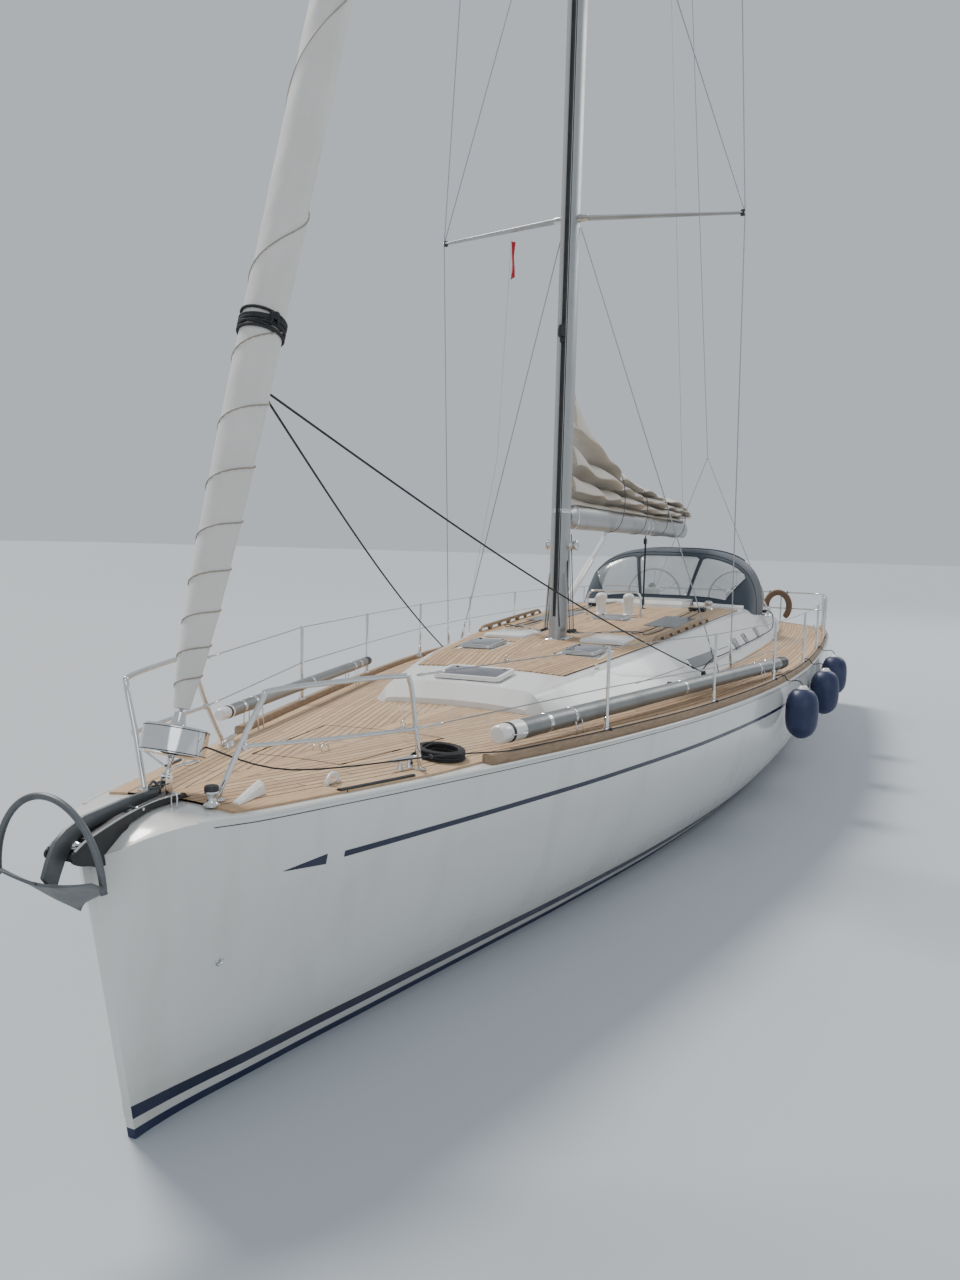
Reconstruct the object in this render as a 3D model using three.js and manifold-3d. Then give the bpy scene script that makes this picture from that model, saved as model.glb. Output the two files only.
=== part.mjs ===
// A 15.8 metre cruising sailing yacht, afloat: sloop rig, furled headsail, mainsail dropped on its boom.
// Millimetres. +X points to the bow, +Y to port, +Z up. The origin is amidships on the waterline.

import * as THREE from 'three';
import { mergeVertices } from 'three/addons/utils/BufferGeometryUtils.js';
import Module from 'manifold-3d';

const wasm = await Module();
wasm.setup();

// Driving dimensions

const LENGTH = 15800;            // overall, stem head to the foot of the transom
const STEM_AT_WATER = 7630;      // x of the stem on the waterline
const STEM_RAKE = 0.18;          // x gained for each unit of height on the stem
const STEM_HALF = 22;            // half thickness of the stem and of the keel line
const TRANSOM_FOOT = -LENGTH / 2;
const TRANSOM_FOOT_Z = 150;
const TRANSOM_RAKE = 0.339;      // the transom leans forward as it rises
const CAMBER = 0.065;            // rise of the deck to its centreline for each unit of half beam
const TOUCH = 0.3;               // gap between pieces that touch
const CLEAR = 6;                 // gap round a piece that moves
const LOCKER_GAP = 13;           // gap round the tapered locker lid, whose edge swings forward as it opens

const PAINT_TOP = 52;            // top of the antifouling above the water
const BOOT_LOW = 106;            // lower edge of the boot stripe at midlength
const BOOT_HIGH = 170;           // upper edge of the boot stripe at midlength
const COVE_DROP = 240;           // middle of the cove stripe below the deck edge, from midlength aft
const COVE_BEND = 1500;          // ahead of this x the cove stripe drops further from the deck edge
const COVE_BEND_RATE = 2.2e-6;   // extra drop for each squared millimetre ahead of the bend
const COVE_WIDTH = 32;
const COVE_FORE = 6750;          // x where the cove stripe starts
const BOOT_RISE = 190;           // the boot stripe rises this much towards the transom

const SOLE = 900;                // cockpit sole above the water
const HELM_SOLE = 1060;          // raised sole at the wheels
const SEAT_Z = 1290;             // seats, and the ledge round the helm well
const SEAT_HALF = 1170;          // half width of the cockpit between its coamings
const BULKHEAD = -3950;          // x of the cabin's aft bulkhead
const FOOTWELL_AFT = -5450;
const HELM_AFT = -7120;
const FOOTWELL_HALF = 450;
const HELM_HALF = 1100;

const MAST_X = 1660;
const MAST_FOOT = 1774;
const MAST_TOP = 20200;
const MAST_LONG = 280;           // fore and aft
const MAST_WIDE = 165;
const HOUNDS = 18300;
const GOOSENECK_X = 1410;        // vertical axis that the boom swings on
const BOOM_Z = 2990;
const BOOM_END = -4690;

const WHEEL_X = -5900;
const WHEEL_Y = 700;
const WHEEL_Z = 1880;
const WHEEL_RADIUS = 470;

const RUDDER_X = -6600;
const PROP_X = -3130;
const PROP_Z = -920;

// Columns: x at the deck edge, half beam, height of the deck edge, depth of the bottom,
// and the two exponents that shape the section, for the bilge and for the topsides.
const HULL_TABLE = [
  [-7500, 2060, 1330, 150, 2.1, 2.0],
  [-6570, 2162, 1330, -70, 2.4, 1.7],
  [-5170, 2241, 1330, -360, 2.7, 1.45],
  [-3170, 2265, 1330, -610, 2.9, 1.2],
  [-1170, 2226, 1330, -700, 2.9, 1.2],
  [830, 2053, 1330, -675, 2.7, 1.4],
  [2730, 1717, 1336, -605, 2.3, 1.75],
  [4330, 1325, 1361, -500, 1.9, 2.05],
  [5430, 1012, 1390, -410, 1.6, 2.15],
  [6360, 730, 1422, -312, 1.4, 2.05],
  [6880, 568, 1443, -225, 1.3, 1.9],
  [7300, 435, 1461, -150, 1.25, 1.64],
  [7570, 315, 1474, -100, 1.2, 1.35],
  [7720, 212, 1444, -60, 1.2, 1.2],
  [7815, 115, 1396, -30, 1.2, 1.14],
  [7875, 26, 1365, 0, 1.2, 1.1],
];

// Columns: x, half width of the roof, half width at the deck, height of the roof at its edge.
// The last two rows are the sloping front.
const ROOF_TABLE = [
  [BULKHEAD, 1200, 1560, 1868],
  [-3050, 1195, 1560, 1852],
  [-2050, 1180, 1550, 1840],
  [-1100, 1152, 1520, 1826],
  [0, 1095, 1480, 1800],
  [630, 1062, 1440, 1782],
  [1570, 1008, 1350, 1752],
  [2860, 845, 1120, 1690],
  [3680, 682, 890, 1630],
  [4085, 598, 735, 1597],
  [4190, 583, 600, 1480],
];
const ROOF_CAMBER = 26;

// Small helpers

const clamp = (value, low, high) => Math.min(high, Math.max(low, value));
const mix = (a, b, f) => a + (b - a) * f;
const V = (x, y, z) => new THREE.Vector3(x, y, z);
const spread = (low, high, steps) => Array.from({ length: steps + 1 }, (_, i) => mix(low, high, i / steps));

// Straight lines through one column of a table whose first column rises steadily.
function linear(table, column, x) {
  const last = table.length - 1;
  const at = clamp(x, table[0][0], table[last][0]);
  const i = clamp(table.findIndex((row) => row[0] >= at), 1, last);
  const [before, after] = [table[i - 1], table[i]];
  return mix(before[column], after[column], (at - before[0]) / (after[0] - before[0]));
}

// Smooth curve through one column of a table whose first column rises or falls steadily.
function smooth(table, column, x) {
  const rows = table[0][0] < table[table.length - 1][0] ? table : [...table].reverse();
  const last = rows.length - 1;
  const at = clamp(x, rows[0][0], rows[last][0]);
  let i = 0;
  while (i < last - 1 && at > rows[i + 1][0]) i += 1;
  const slope = (j) => {
    const a = rows[Math.max(j - 1, 0)];
    const b = rows[Math.min(j + 1, last)];
    return (b[column] - a[column]) / (b[0] - a[0]);
  };
  const h = rows[i + 1][0] - rows[i][0];
  const f = (at - rows[i][0]) / h;
  const [p, q] = [rows[i][column], rows[i + 1][column]];
  const [m, n] = [slope(i) * h, slope(i + 1) * h];
  return (2 * f ** 3 - 3 * f ** 2 + 1) * p + (f ** 3 - 2 * f ** 2 + f) * m
    + (3 * f ** 2 - 2 * f ** 3) * q + (f ** 3 - f ** 2) * n;
}

// Closed mesh to manifold solid and back.
function toSolid(geometry) {
  const bare = geometry.clone();
  bare.deleteAttribute('normal');
  bare.deleteAttribute('uv');
  const merged = mergeVertices(bare, 1e-3);
  const index = merged.index.array;
  const kept = [];
  for (let i = 0; i < index.length; i += 3) {
    const [a, b, c] = [index[i], index[i + 1], index[i + 2]];
    if (a !== b && b !== c && a !== c) kept.push(a, b, c);
  }
  return new wasm.Manifold(new wasm.Mesh({
    numProp: 3,
    vertProperties: new Float32Array(merged.attributes.position.array),
    triVerts: new Uint32Array(kept),
  }));
}

function toGeometry(manifold) {
  const mesh = manifold.getMesh();
  const geometry = new THREE.BufferGeometry();
  geometry.setAttribute('position', new THREE.BufferAttribute(new Float32Array(mesh.vertProperties), 3));
  geometry.setIndex(new THREE.BufferAttribute(new Uint32Array(mesh.triVerts), 1));
  geometry.computeVertexNormals();
  return geometry;
}

function joined(...pieces) {
  return toGeometry(pieces.flat().map(toSolid).reduce((a, b) => a.add(b)));
}

function cut(piece, ...tools) {
  return toGeometry(tools.flat().map(toSolid).reduce((a, b) => a.subtract(b), toSolid(piece)));
}

function common(piece, tool) {
  return toGeometry(toSolid(piece).intersect(toSolid(tool)));
}

const moved = (geometry, x, y, z) => geometry.clone().translate(x, y, z);
// Port piece turned into its starboard twin.
const mirrored = (geometry) => {
  const copy = (geometry.index ? geometry.clone() : mergeVertices(geometry)).scale(1, -1, 1);
  const { index } = copy;
  for (let i = 0; i < index.count; i += 3) {
    const b = index.getX(i + 1);
    index.setX(i + 1, index.getX(i + 2));
    index.setX(i + 2, b);
  }
  copy.computeVertexNormals();
  return copy;
};

// Box between two corners.
function block(x0, x1, y0, y1, z0, z1) {
  const geometry = new THREE.BoxGeometry(Math.abs(x1 - x0), Math.abs(y1 - y0), Math.abs(z1 - z0));
  return geometry.translate((x0 + x1) / 2, (y0 + y1) / 2, (z0 + z1) / 2);
}

// Skin over rings that have the same number of points, closed with a fan at both ends.
function loft(rings) {
  const count = rings[0].length;
  const positions = [];
  const faces = [];
  rings.flat().forEach((p) => positions.push(p.x, p.y, p.z));
  for (let i = 0; i + 1 < rings.length; i += 1) {
    for (let j = 0; j < count; j += 1) {
      const [a, b] = [i * count + j, i * count + (j + 1) % count];
      faces.push(a, b, a + count, b, b + count, a + count);
    }
  }
  [0, rings.length - 1].forEach((i) => {
    const middle = rings[i].reduce((sum, p) => sum.add(p), V(0, 0, 0)).divideScalar(count);
    const hub = positions.length / 3;
    positions.push(middle.x, middle.y, middle.z);
    for (let j = 0; j < count; j += 1) {
      const [a, b] = [i * count + j, i * count + (j + 1) % count];
      if (i === 0) faces.push(b, a, hub);
      else faces.push(a, b, hub);
    }
  });
  let volume = 0;
  for (let k = 0; k < faces.length; k += 3) {
    const [a, b, c] = [0, 1, 2].map((n) => V(...positions.slice(3 * faces[k + n], 3 * faces[k + n] + 3)));
    volume += a.dot(b.cross(c));
  }
  if (volume < 0) faces.reverse();
  const geometry = new THREE.BufferGeometry();
  geometry.setAttribute('position', new THREE.Float32BufferAttribute(positions, 3));
  geometry.setIndex(faces);
  geometry.computeVertexNormals();
  return geometry;
}

// Round bar between two points.
function rod(a, b, radius, sides = 8, radiusEnd = radius) {
  const along = b.clone().sub(a);
  const geometry = new THREE.CylinderGeometry(radiusEnd, radius, along.length(), sides);
  geometry.translate(0, along.length() / 2, 0);
  geometry.applyQuaternion(new THREE.Quaternion().setFromUnitVectors(V(0, 1, 0), along.normalize()));
  return geometry.translate(a.x, a.y, a.z);
}

// Bent tube through points.
function tube(points, radius, steps = 16, sides = 6) {
  const path = new THREE.CatmullRomCurve3(points, false, 'centripetal');
  const round = new THREE.Shape();
  for (let k = 0; k < sides; k += 1) {
    const angle = (2 * Math.PI * k) / sides;
    if (k === 0) round.moveTo(radius, 0);
    else round.lineTo(radius * Math.cos(angle), radius * Math.sin(angle));
  }
  return new THREE.ExtrudeGeometry(round, { steps, extrudePath: path });
}

// Round body on a vertical axis. Profile rows are radius, height.
function turned(profile, sides, x, y, z) {
  const points = profile.map(([r, h]) => new THREE.Vector2(r, h));
  return new THREE.LatheGeometry(points, sides).rotateX(Math.PI / 2).translate(x, y, z);
}

// Streamlined outline of a foil, nose forward, with its chord along x.
function foil(nose, chord, thick, z, count = 7) {
  const half = [];
  for (let k = 0; k <= count; k += 1) {
    const f = (1 - Math.cos((Math.PI * k) / count)) / 2;
    const bulge = 0.2969 * Math.sqrt(f) - 0.126 * f - 0.3516 * f ** 2 + 0.2843 * f ** 3 - 0.1 * f ** 4;
    const y = 5 * thick * bulge;
    half.push([f, y]);
  }
  const port = half.map(([f, y]) => V(nose - chord * f, y, z));
  const starboard = half.slice(1, -1).reverse().map(([f, y]) => V(nose - chord * f, -y, z));
  return [...port, ...starboard];
}

// Hull surface

const stemX = (z) => STEM_AT_WATER + STEM_RAKE * z;
const transomX = (z) => TRANSOM_FOOT + TRANSOM_RAKE * (z - TRANSOM_FOOT_Z);
const stationX = (t, z) => mix(transomX(z), stemX(z), t);
const sheerX = (t) => mix(HULL_TABLE[0][0], HULL_TABLE[HULL_TABLE.length - 1][0], t);
const halfBeam = (x) => smooth(HULL_TABLE, 1, x);
const sheer = (x) => smooth(HULL_TABLE, 2, x);
const deckZ = (x, y) => sheer(x) + CAMBER * halfBeam(x) * (1 - clamp(y / halfBeam(x), -1, 1) ** 2);

// Half breadth of the hull at a station t (0 transom, 1 stem) and a height z.
function hullY(t, z) {
  const x = sheerX(t);
  const [top, bottom] = [sheer(x), smooth(HULL_TABLE, 3, x)];
  const [bilge, side] = [smooth(HULL_TABLE, 4, x), smooth(HULL_TABLE, 5, x)];
  const u = clamp((z - bottom) / (top - bottom), 0, 1);
  return STEM_HALF + (halfBeam(x) - STEM_HALF) * (1 - (1 - u) ** bilge) ** (1 / side);
}

const HULL_STATIONS = 24;
const HULL_LEVELS = 10;
const DECK_STEPS = 6;
const stationAt = (i) => 1 - (1 - i / HULL_STATIONS) ** 1.6;

// One section of the hull, proud of its surface by a margin.
function hullRing(t, proud = 0) {
  const x = sheerX(t);
  const [top, bottom] = [sheer(x), smooth(HULL_TABLE, 3, x)];
  const ring = [V(stationX(t, bottom) + proud * t, 0, bottom)];
  for (let j = 1; j <= HULL_LEVELS; j += 1) {
    const z = mix(bottom, top, (j / HULL_LEVELS) ** 1.5);
    ring.push(V(stationX(t, z) + proud * t, hullY(t, z) + proud, z));
  }
  for (let k = 1; k < DECK_STEPS; k += 1) {
    const y = halfBeam(x) * (1 - (2 * k) / DECK_STEPS);
    ring.push(V(x, y, deckZ(x, y)));
  }
  const starboard = ring.slice(1, HULL_LEVELS + 1).map((p) => V(p.x, -p.y, p.z)).reverse();
  return [...ring, ...starboard];
}

const hullShell = (proud) => loft(spread(0, HULL_STATIONS, HULL_STATIONS)
  .map((i) => hullRing(stationAt(i), proud)));
const wholeHull = hullShell(0);
const hullBelow = moved(wholeHull, 0, 0, -TOUCH);
const hullAbove = moved(wholeHull, 0, 0, TOUCH);
const hullWide = [[0, TOUCH], [0, -TOUCH], [TOUCH, 0]].map(([x, y]) => moved(wholeHull, x, y, 0));

// Depth of the hull's bottom on the centreline at x.
function bottomZ(x) {
  let z = -300;
  for (let k = 0; k < 12; k += 1) {
    const t = clamp((x - transomX(z)) / (stemX(z) - transomX(z)), 0, 1);
    z = smooth(HULL_TABLE, 3, sheerX(t));
  }
  return z;
}

// Toe rail along the deck edge, and the teak inside it. Ahead of the rail the teak runs further out.
const TOE_RAIL = { aft: -7300, fore: 5660, outer: 25, inner: 95, high: 60 };
const teakMargin = (x) => (x < TOE_RAIL.fore ? TOE_RAIL.inner + 3 : 55);
const TEAK_AFT = -7420;
const TEAK_FORE = 7420;
const TEAK = 12;                 // thickness of the laid deck
const teakStations = [
  ...spread(TEAK_AFT, TOE_RAIL.fore - 10, 16), ...spread(TOE_RAIL.fore + 30, TEAK_FORE, 8),
];

// Plate that follows the deck between two heights above it, as wide as the laid teak.
function deckPlate(low, high, stations, across = 6) {
  return loft(stations.map((x) => {
    const half = halfBeam(x) - teakMargin(x);
    const ys = spread(half, -half, across);
    return [...ys.map((y) => V(x, y, deckZ(x, y) + high)),
      ...[...ys].reverse().map((y) => V(x, y, deckZ(x, y) + low))];
  }));
}

const deckTeak = (low, raised = 0) => deckPlate(low, TEAK + raised, teakStations);

// Coachroof, grown outwards by a margin where other pieces are cut to clear it.
function coachroofShell(margin = 0) {
  return loft(ROOF_TABLE.map(([x, top, base, edge], i) => {
    const fore = i === ROOF_TABLE.length - 1 ? margin : 0;
    const aft = i === 0 ? margin : 0;
    const deck = deckZ(x, base) - 2;
    const at = x + fore - aft;
    const rise = edge + margin;
    const port = [V(at, base + margin, deck - 118), V(at, base + margin, deck), V(at, top + margin, rise),
      V(at, top * 0.5, rise + ROOF_CAMBER * 0.75)];
    const starboard = port.map((p) => V(p.x, -p.y, p.z)).reverse();
    return [...port, V(at, 0, rise + ROOF_CAMBER), ...starboard];
  }));
}
const roofZ = (x, y = 0) => {
  const f = Math.abs(y) / linear(ROOF_TABLE, 1, x);
  return linear(ROOF_TABLE, 3, x) + ROOF_CAMBER * (1 - f ** 2);
};

// Cockpit coaming on the port side, beside the seats and the wheels.
// Columns: x, inner face at its top, outer edge at its top, outer edge at the deck, height.
const COAMING_TABLE = [
  [-7000, 1240, 1300, 1400, 1460],
  [-6300, 1215, 1330, 1500, 1570],
  [-5200, 1190, 1400, 1560, 1670],
  [BULKHEAD - TOUCH, 1180, 1400, 1560, 1740],
];
const COAMING_FOOT = 1250;
function coamingShell(margin = 0) {
  return loft(COAMING_TABLE.map(([x, inner, outer, base, top]) => [
    V(x, SEAT_HALF + 2 - margin, COAMING_FOOT), V(x, inner - margin, top + margin),
    V(x, outer + margin, top + margin), V(x, base + margin, COAMING_FOOT)]));
}

// Openings, as distances along the boat and across it.
const FORE_HATCH = { aft: 3590, fore: 3990, half: 285 };
const MID_HATCH = { aft: 2150, fore: 2610, inner: 340, outer: 660 };
const GALLEY_HATCH = { aft: -640, fore: -240, half: 200 };
const LOCKER = { aft: 5330, fore: 6330, halfAft: 430, halfFore: 280 };
const SEAT = { aft: -5330, fore: -4080, inner: 500, outer: 1080 };
const DOOR_HALF = 300;
const FORE_WELL_DEPTH = 120;
const WELL_DEPTH = 170;
const COAMING_CLEAR = 1180;      // half width of the bare moulding inside the coamings

const cockpitVoids = [
  block(FOOTWELL_AFT - 10, BULKHEAD, -FOOTWELL_HALF, FOOTWELL_HALF, SOLE, 1700),
  block(HELM_AFT, FOOTWELL_AFT, -HELM_HALF, HELM_HALF, HELM_SOLE, 1700),
  block(HELM_AFT, BULKHEAD, -SEAT_HALF, SEAT_HALF, SEAT_Z, 1700),
];
const companionway = block(BULKHEAD - 1, -3400, -DOOR_HALF, DOOR_HALF, SOLE + 150, 2000);
const seatWell = block(SEAT.aft + 50, SEAT.fore - 50, SEAT.inner + 50, SEAT.outer - 50, 1000, 1400);

function prism(corners, low, high) {
  return loft([low, high].map((z) => corners.map(([x, y]) => V(x, y, z))));
}
const lockerOutline = (margin) => [
  [LOCKER.aft - margin, LOCKER.halfAft + margin], [LOCKER.aft - margin, -LOCKER.halfAft - margin],
  [LOCKER.fore + margin, -LOCKER.halfFore - margin], [LOCKER.fore + margin, LOCKER.halfFore + margin]];

// Materials: colour, roughness, metalness.
function finish(color, roughness, metalness = 0) {
  return new THREE.MeshStandardMaterial({ color, roughness, metalness });
}
const gelcoat = finish(0xe4e4e0, 0.25);
const navy = finish(0x10162c, 0.35);
const antifouling = finish(0x0d1430, 0.7);
const teak = finish(0xb08a5e, 0.75);
const steel = finish(0xc9cccd, 0.2, 1);
const spar = finish(0x9fa2a0, 0.4, 0.9);
const wire = finish(0x8f9498, 0.35, 1);
const sailcloth = finish(0xd9cdb8, 0.85);
const canvas = finish(0x39434f, 0.9);
const acrylic = finish(0x2b2a33, 0.1);
const darkPlastic = finish(0x17181a, 0.5);
const castIron = finish(0x24304a, 0.6);
const galvanized = finish(0x8d9092, 0.55, 0.8);
const bronze = finish(0xa9874a, 0.35, 0.9);

const yacht = new THREE.Group();
const SIDES = { port: (geometry) => geometry, starboard: mirrored };
function add(name, geometry, material, parent = yacht) {
  const mesh = new THREE.Mesh(geometry, material);
  mesh.name = name;
  parent.add(mesh);
  return mesh;
}

// Hull

const lockerHole = prism(lockerOutline(LOCKER_GAP), 1200, 1700);
const lockerPlate = (low, high) => deckPlate(low, high, spread(5000, 6700, 10));

function hull() {
  const rudderTrunk = rod(V(RUDDER_X, 0, -400), V(RUDDER_X, 0, 200), 48, 16);
  const lockerWell = prism(lockerOutline(-35), 1050, 1700);
  const lockerRebate = common(lockerPlate(-24 - CLEAR, 60), lockerHole);
  const body = cut(wholeHull, ...cockpitVoids, companionway, seatWell, mirrored(seatWell), lockerWell,
    lockerRebate, rudderTrunk);
  const above = block(-9000, 9000, -3000, 3000, PAINT_TOP, 3000);
  const below = block(-9000, 9000, -3000, 3000, -3000, PAINT_TOP - TOUCH);
  add('hull_topsides', common(body, above), gelcoat);
  add('hull_underbody', common(body, below), antifouling);
}

// Painted stripes, as bands that stand a little proud of the hull between two heights.
function stripes() {
  const PROUD = 2.5;
  const skin = cut(hullShell(PROUD), ...hullWide);
  const slab = (xAft, xFore, y0, y1, lowAt, high) => loft(spread(xAft, xFore, 20).map((x) => {
    const low = lowAt(x);
    return [V(x, y0, low), V(x, y1, low), V(x, y1, low + high), V(x, y0, low + high)];
  }));
  const bootZ = (x) => BOOT_LOW + BOOT_RISE * clamp((-4400 - x) / 3000, 0, 1) ** 1.6;
  add('boot_stripe', common(skin, slab(-7150, 7900, -2600, 2600, bootZ, BOOT_HIGH - BOOT_LOW)), navy);
  const coveDrop = (x) => COVE_DROP + COVE_BEND_RATE * Math.max(x - COVE_BEND, 0) ** 2;
  const coveZ = (x) => sheer(x) - coveDrop(x) - COVE_WIDTH / 2;
  const cove = (y0, y1) => common(skin, slab(-7050, COVE_FORE, y0, y1, coveZ, COVE_WIDTH));
  add('cove_stripe_port', cove(0, 2600), navy);
  add('cove_stripe_starboard', cove(-2600, 0), navy);
}

// Keel, rudder and drive

function keel() {
  // Columns: height, x of the nose, chord, thickness.
  const rows = [[-300, 1150, 2000, 230], [-1100, 1050, 1750, 200], [-2090, 900, 1480, 170]];
  const fin = loft(rows.map(([z, nose, chord, thick]) => foil(nose, chord, thick, z)));
  add('keel_fin', cut(fin, hullBelow), castIron);
  const bulb = { nose: 1450, tail: -1250, high: -2092, low: -2400, half: 215 };
  const rings = spread(0, Math.PI, 8).map((angle) => {
    const f = (1 - Math.cos(angle)) / 2;
    const size = Math.max(Math.sin(Math.PI * f ** 0.8) ** 0.6, 0.08);
    const half = bulb.half * size;
    const top = mix((bulb.high + bulb.low) / 2, bulb.high, size) - TOUCH;
    const x = mix(bulb.nose, bulb.tail, f);
    const shoulder = mix(bulb.low, top, 0.85);
    const side = mix(bulb.low, top, 0.45);
    return [V(x, half * 0.75, bulb.low), V(x, half, side), V(x, half * 0.7, shoulder), V(x, 0, top),
      V(x, -half * 0.7, shoulder), V(x, -half, side), V(x, -half * 0.75, bulb.low)];
  });
  add('keel_bulb', loft(rings), castIron);
}

function rudder() {
  const top = bottomZ(RUDDER_X + 330) - 35;
  const blade = loft([[top, 330, 680, 95], [-1100, 270, 570, 85], [-1850, 180, 400, 60]]
    .map(([z, fore, chord, thick]) => foil(RUDDER_X + fore, chord, thick, z)));
  const stock = rod(V(RUDDER_X, 0, top - 60), V(RUDDER_X, 0, 150), 38, 16);
  add('rudder', joined(blade, stock), antifouling);
}

function drive() {
  const strut = loft([[-400, -2640, 330, 95], [PROP_Z, -2700, 300, 85]]
    .map(([z, nose, chord, thick]) => foil(nose, chord, thick, z, 5)));
  const pod = turned([[0, -30], [38, -10], [62, 60], [66, 200], [58, 330], [0, 330]], 12, 0, 0, 0)
    .rotateY(-Math.PI / 2).translate(PROP_X + 355, 0, PROP_Z);
  add('saildrive', cut(joined(strut, pod), hullBelow), antifouling);
  const hub = turned([[0, -95], [30, -80], [52, -20], [52, 12], [0, 12]], 12, 0, 0, 0)
    .rotateY(Math.PI / 2).translate(PROP_X - 24, 0, PROP_Z);
  // Columns: radius on the blade, half width, half thickness.
  const rows = [[30, 34, 8], [110, 78, 7], [190, 74, 6], [235, 26, 4]];
  const blades = [0, 1, 2].map((k) => {
    const blade = loft(rows.map(([r, wide, thick]) => {
      const twist = mix(1.0, 0.45, r / 235);
      const [c, s] = [Math.cos(twist), Math.sin(twist)];
      return [[wide, thick], [-wide, thick], [-wide, -thick], [wide, -thick]]
        .map(([a, b]) => V(a * c - b * s, a * s + b * c, r));
    }));
    return blade.rotateX((2 * Math.PI * k) / 3).translate(PROP_X - 20, 0, PROP_Z);
  });
  add('propeller', joined(hub, ...blades), bronze);
}

// Deck, coachroof and cockpit

// Box over a hatch, from a depth below the roof, smaller or larger than the hatch by an edge.
function hatchBox({ aft, fore }, y0, y1, edge, depth) {
  const z = roofZ((aft + fore) / 2, (y0 + y1) / 2);
  return block(aft + edge, fore - edge, y0 + edge, y1 - edge, z - depth, z + 200);
}

// Companionway garage: half width, walls, and where its roof and its slot end.
const GARAGE = { aft: -3420, fore: -2520, half: 430, low: 1820, top: 1964, slot: 1942, slotHalf: 352 };
const ROOF_TEAK_EDGE = 70;
const ROOF_TEAK_AFT = -3050;
const ROOF_TEAK_FORE = 3480;

function superstructure() {
  const { half } = FORE_HATCH;
  const { inner, outer } = MID_HATCH;
  const wells = [
    hatchBox(FORE_HATCH, -half, half, 35, FORE_WELL_DEPTH),
    hatchBox(MID_HATCH, inner, outer, 30, WELL_DEPTH),
    hatchBox(MID_HATCH, -outer, -inner, 30, WELL_DEPTH),
    hatchBox(GALLEY_HATCH, -GALLEY_HATCH.half, GALLEY_HATCH.half, 25, WELL_DEPTH),
  ];
  add('coachroof', cut(coachroofShell(), hullAbove, companionway, ...wells), gelcoat);

  // Teak laid on the roof, with margins of bare moulding at its edge and round the openings.
  const within = ROOF_TABLE.map(([x]) => x).filter((x) => x >= ROOF_TEAK_AFT && x < ROOF_TEAK_FORE);
  const roofTeak = loft([...within, ROOF_TEAK_FORE].map((x) => {
    const wide = linear(ROOF_TABLE, 1, x) - ROOF_TEAK_EDGE;
    const low = linear(ROOF_TABLE, 3, x) - 60;
    const upper = [1, 0.5, 0, -0.5, -1].map((f) => V(x, wide * f, roofZ(x, wide * f) + 9));
    return [...upper, V(x, -wide, low), V(x, wide, low)];
  }));
  const clearOf = [
    moved(coachroofShell(), 0, 0, TOUCH),
    hatchBox(MID_HATCH, inner, outer, -60, 300),
    hatchBox(MID_HATCH, -outer, -inner, -60, 300),
    hatchBox(GALLEY_HATCH, -GALLEY_HATCH.half, GALLEY_HATCH.half, -60, 300),
    block(GARAGE.aft - 20, GARAGE.fore + 40, -GARAGE.half - 40, GARAGE.half + 40, 1200, 2200),
    block(MAST_X - 190, MAST_X + 190, -130, 130, 1200, 2200),
  ];
  add('coachroof_teak', cut(roofTeak, ...clearOf), teak);

  const coamings = [coamingShell(4), mirrored(coamingShell(4))];
  const cockpit = block(-7200, BULKHEAD + 2, -COAMING_CLEAR, COAMING_CLEAR, 1000, 1700);
  const openings = [hullAbove, coachroofShell(4), ...coamings, ...cockpitVoids, cockpit, lockerHole];
  add('deck_teak', cut(deckTeak(-30), ...openings), teak);

  Object.entries(SIDES).forEach(([side, turn]) => {
    add(`coaming_${side}`, cut(turn(coamingShell()), hullAbove), gelcoat);
  });

  // Low box on the roof that the companionway hatch slides into.
  const slot = block(GARAGE.aft - 1, GARAGE.fore - 25, -GARAGE.slotHalf, GARAGE.slotHalf, 1700, GARAGE.slot);
  const box = block(GARAGE.aft, GARAGE.fore, -GARAGE.half, GARAGE.half, GARAGE.low, GARAGE.top);
  add('hatch_garage', cut(box, slot, moved(coachroofShell(), 0, 0, TOUCH)), gelcoat);
}

// Lids and doors

const LID = 32;                  // thickness of the hatch and seat lids

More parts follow.
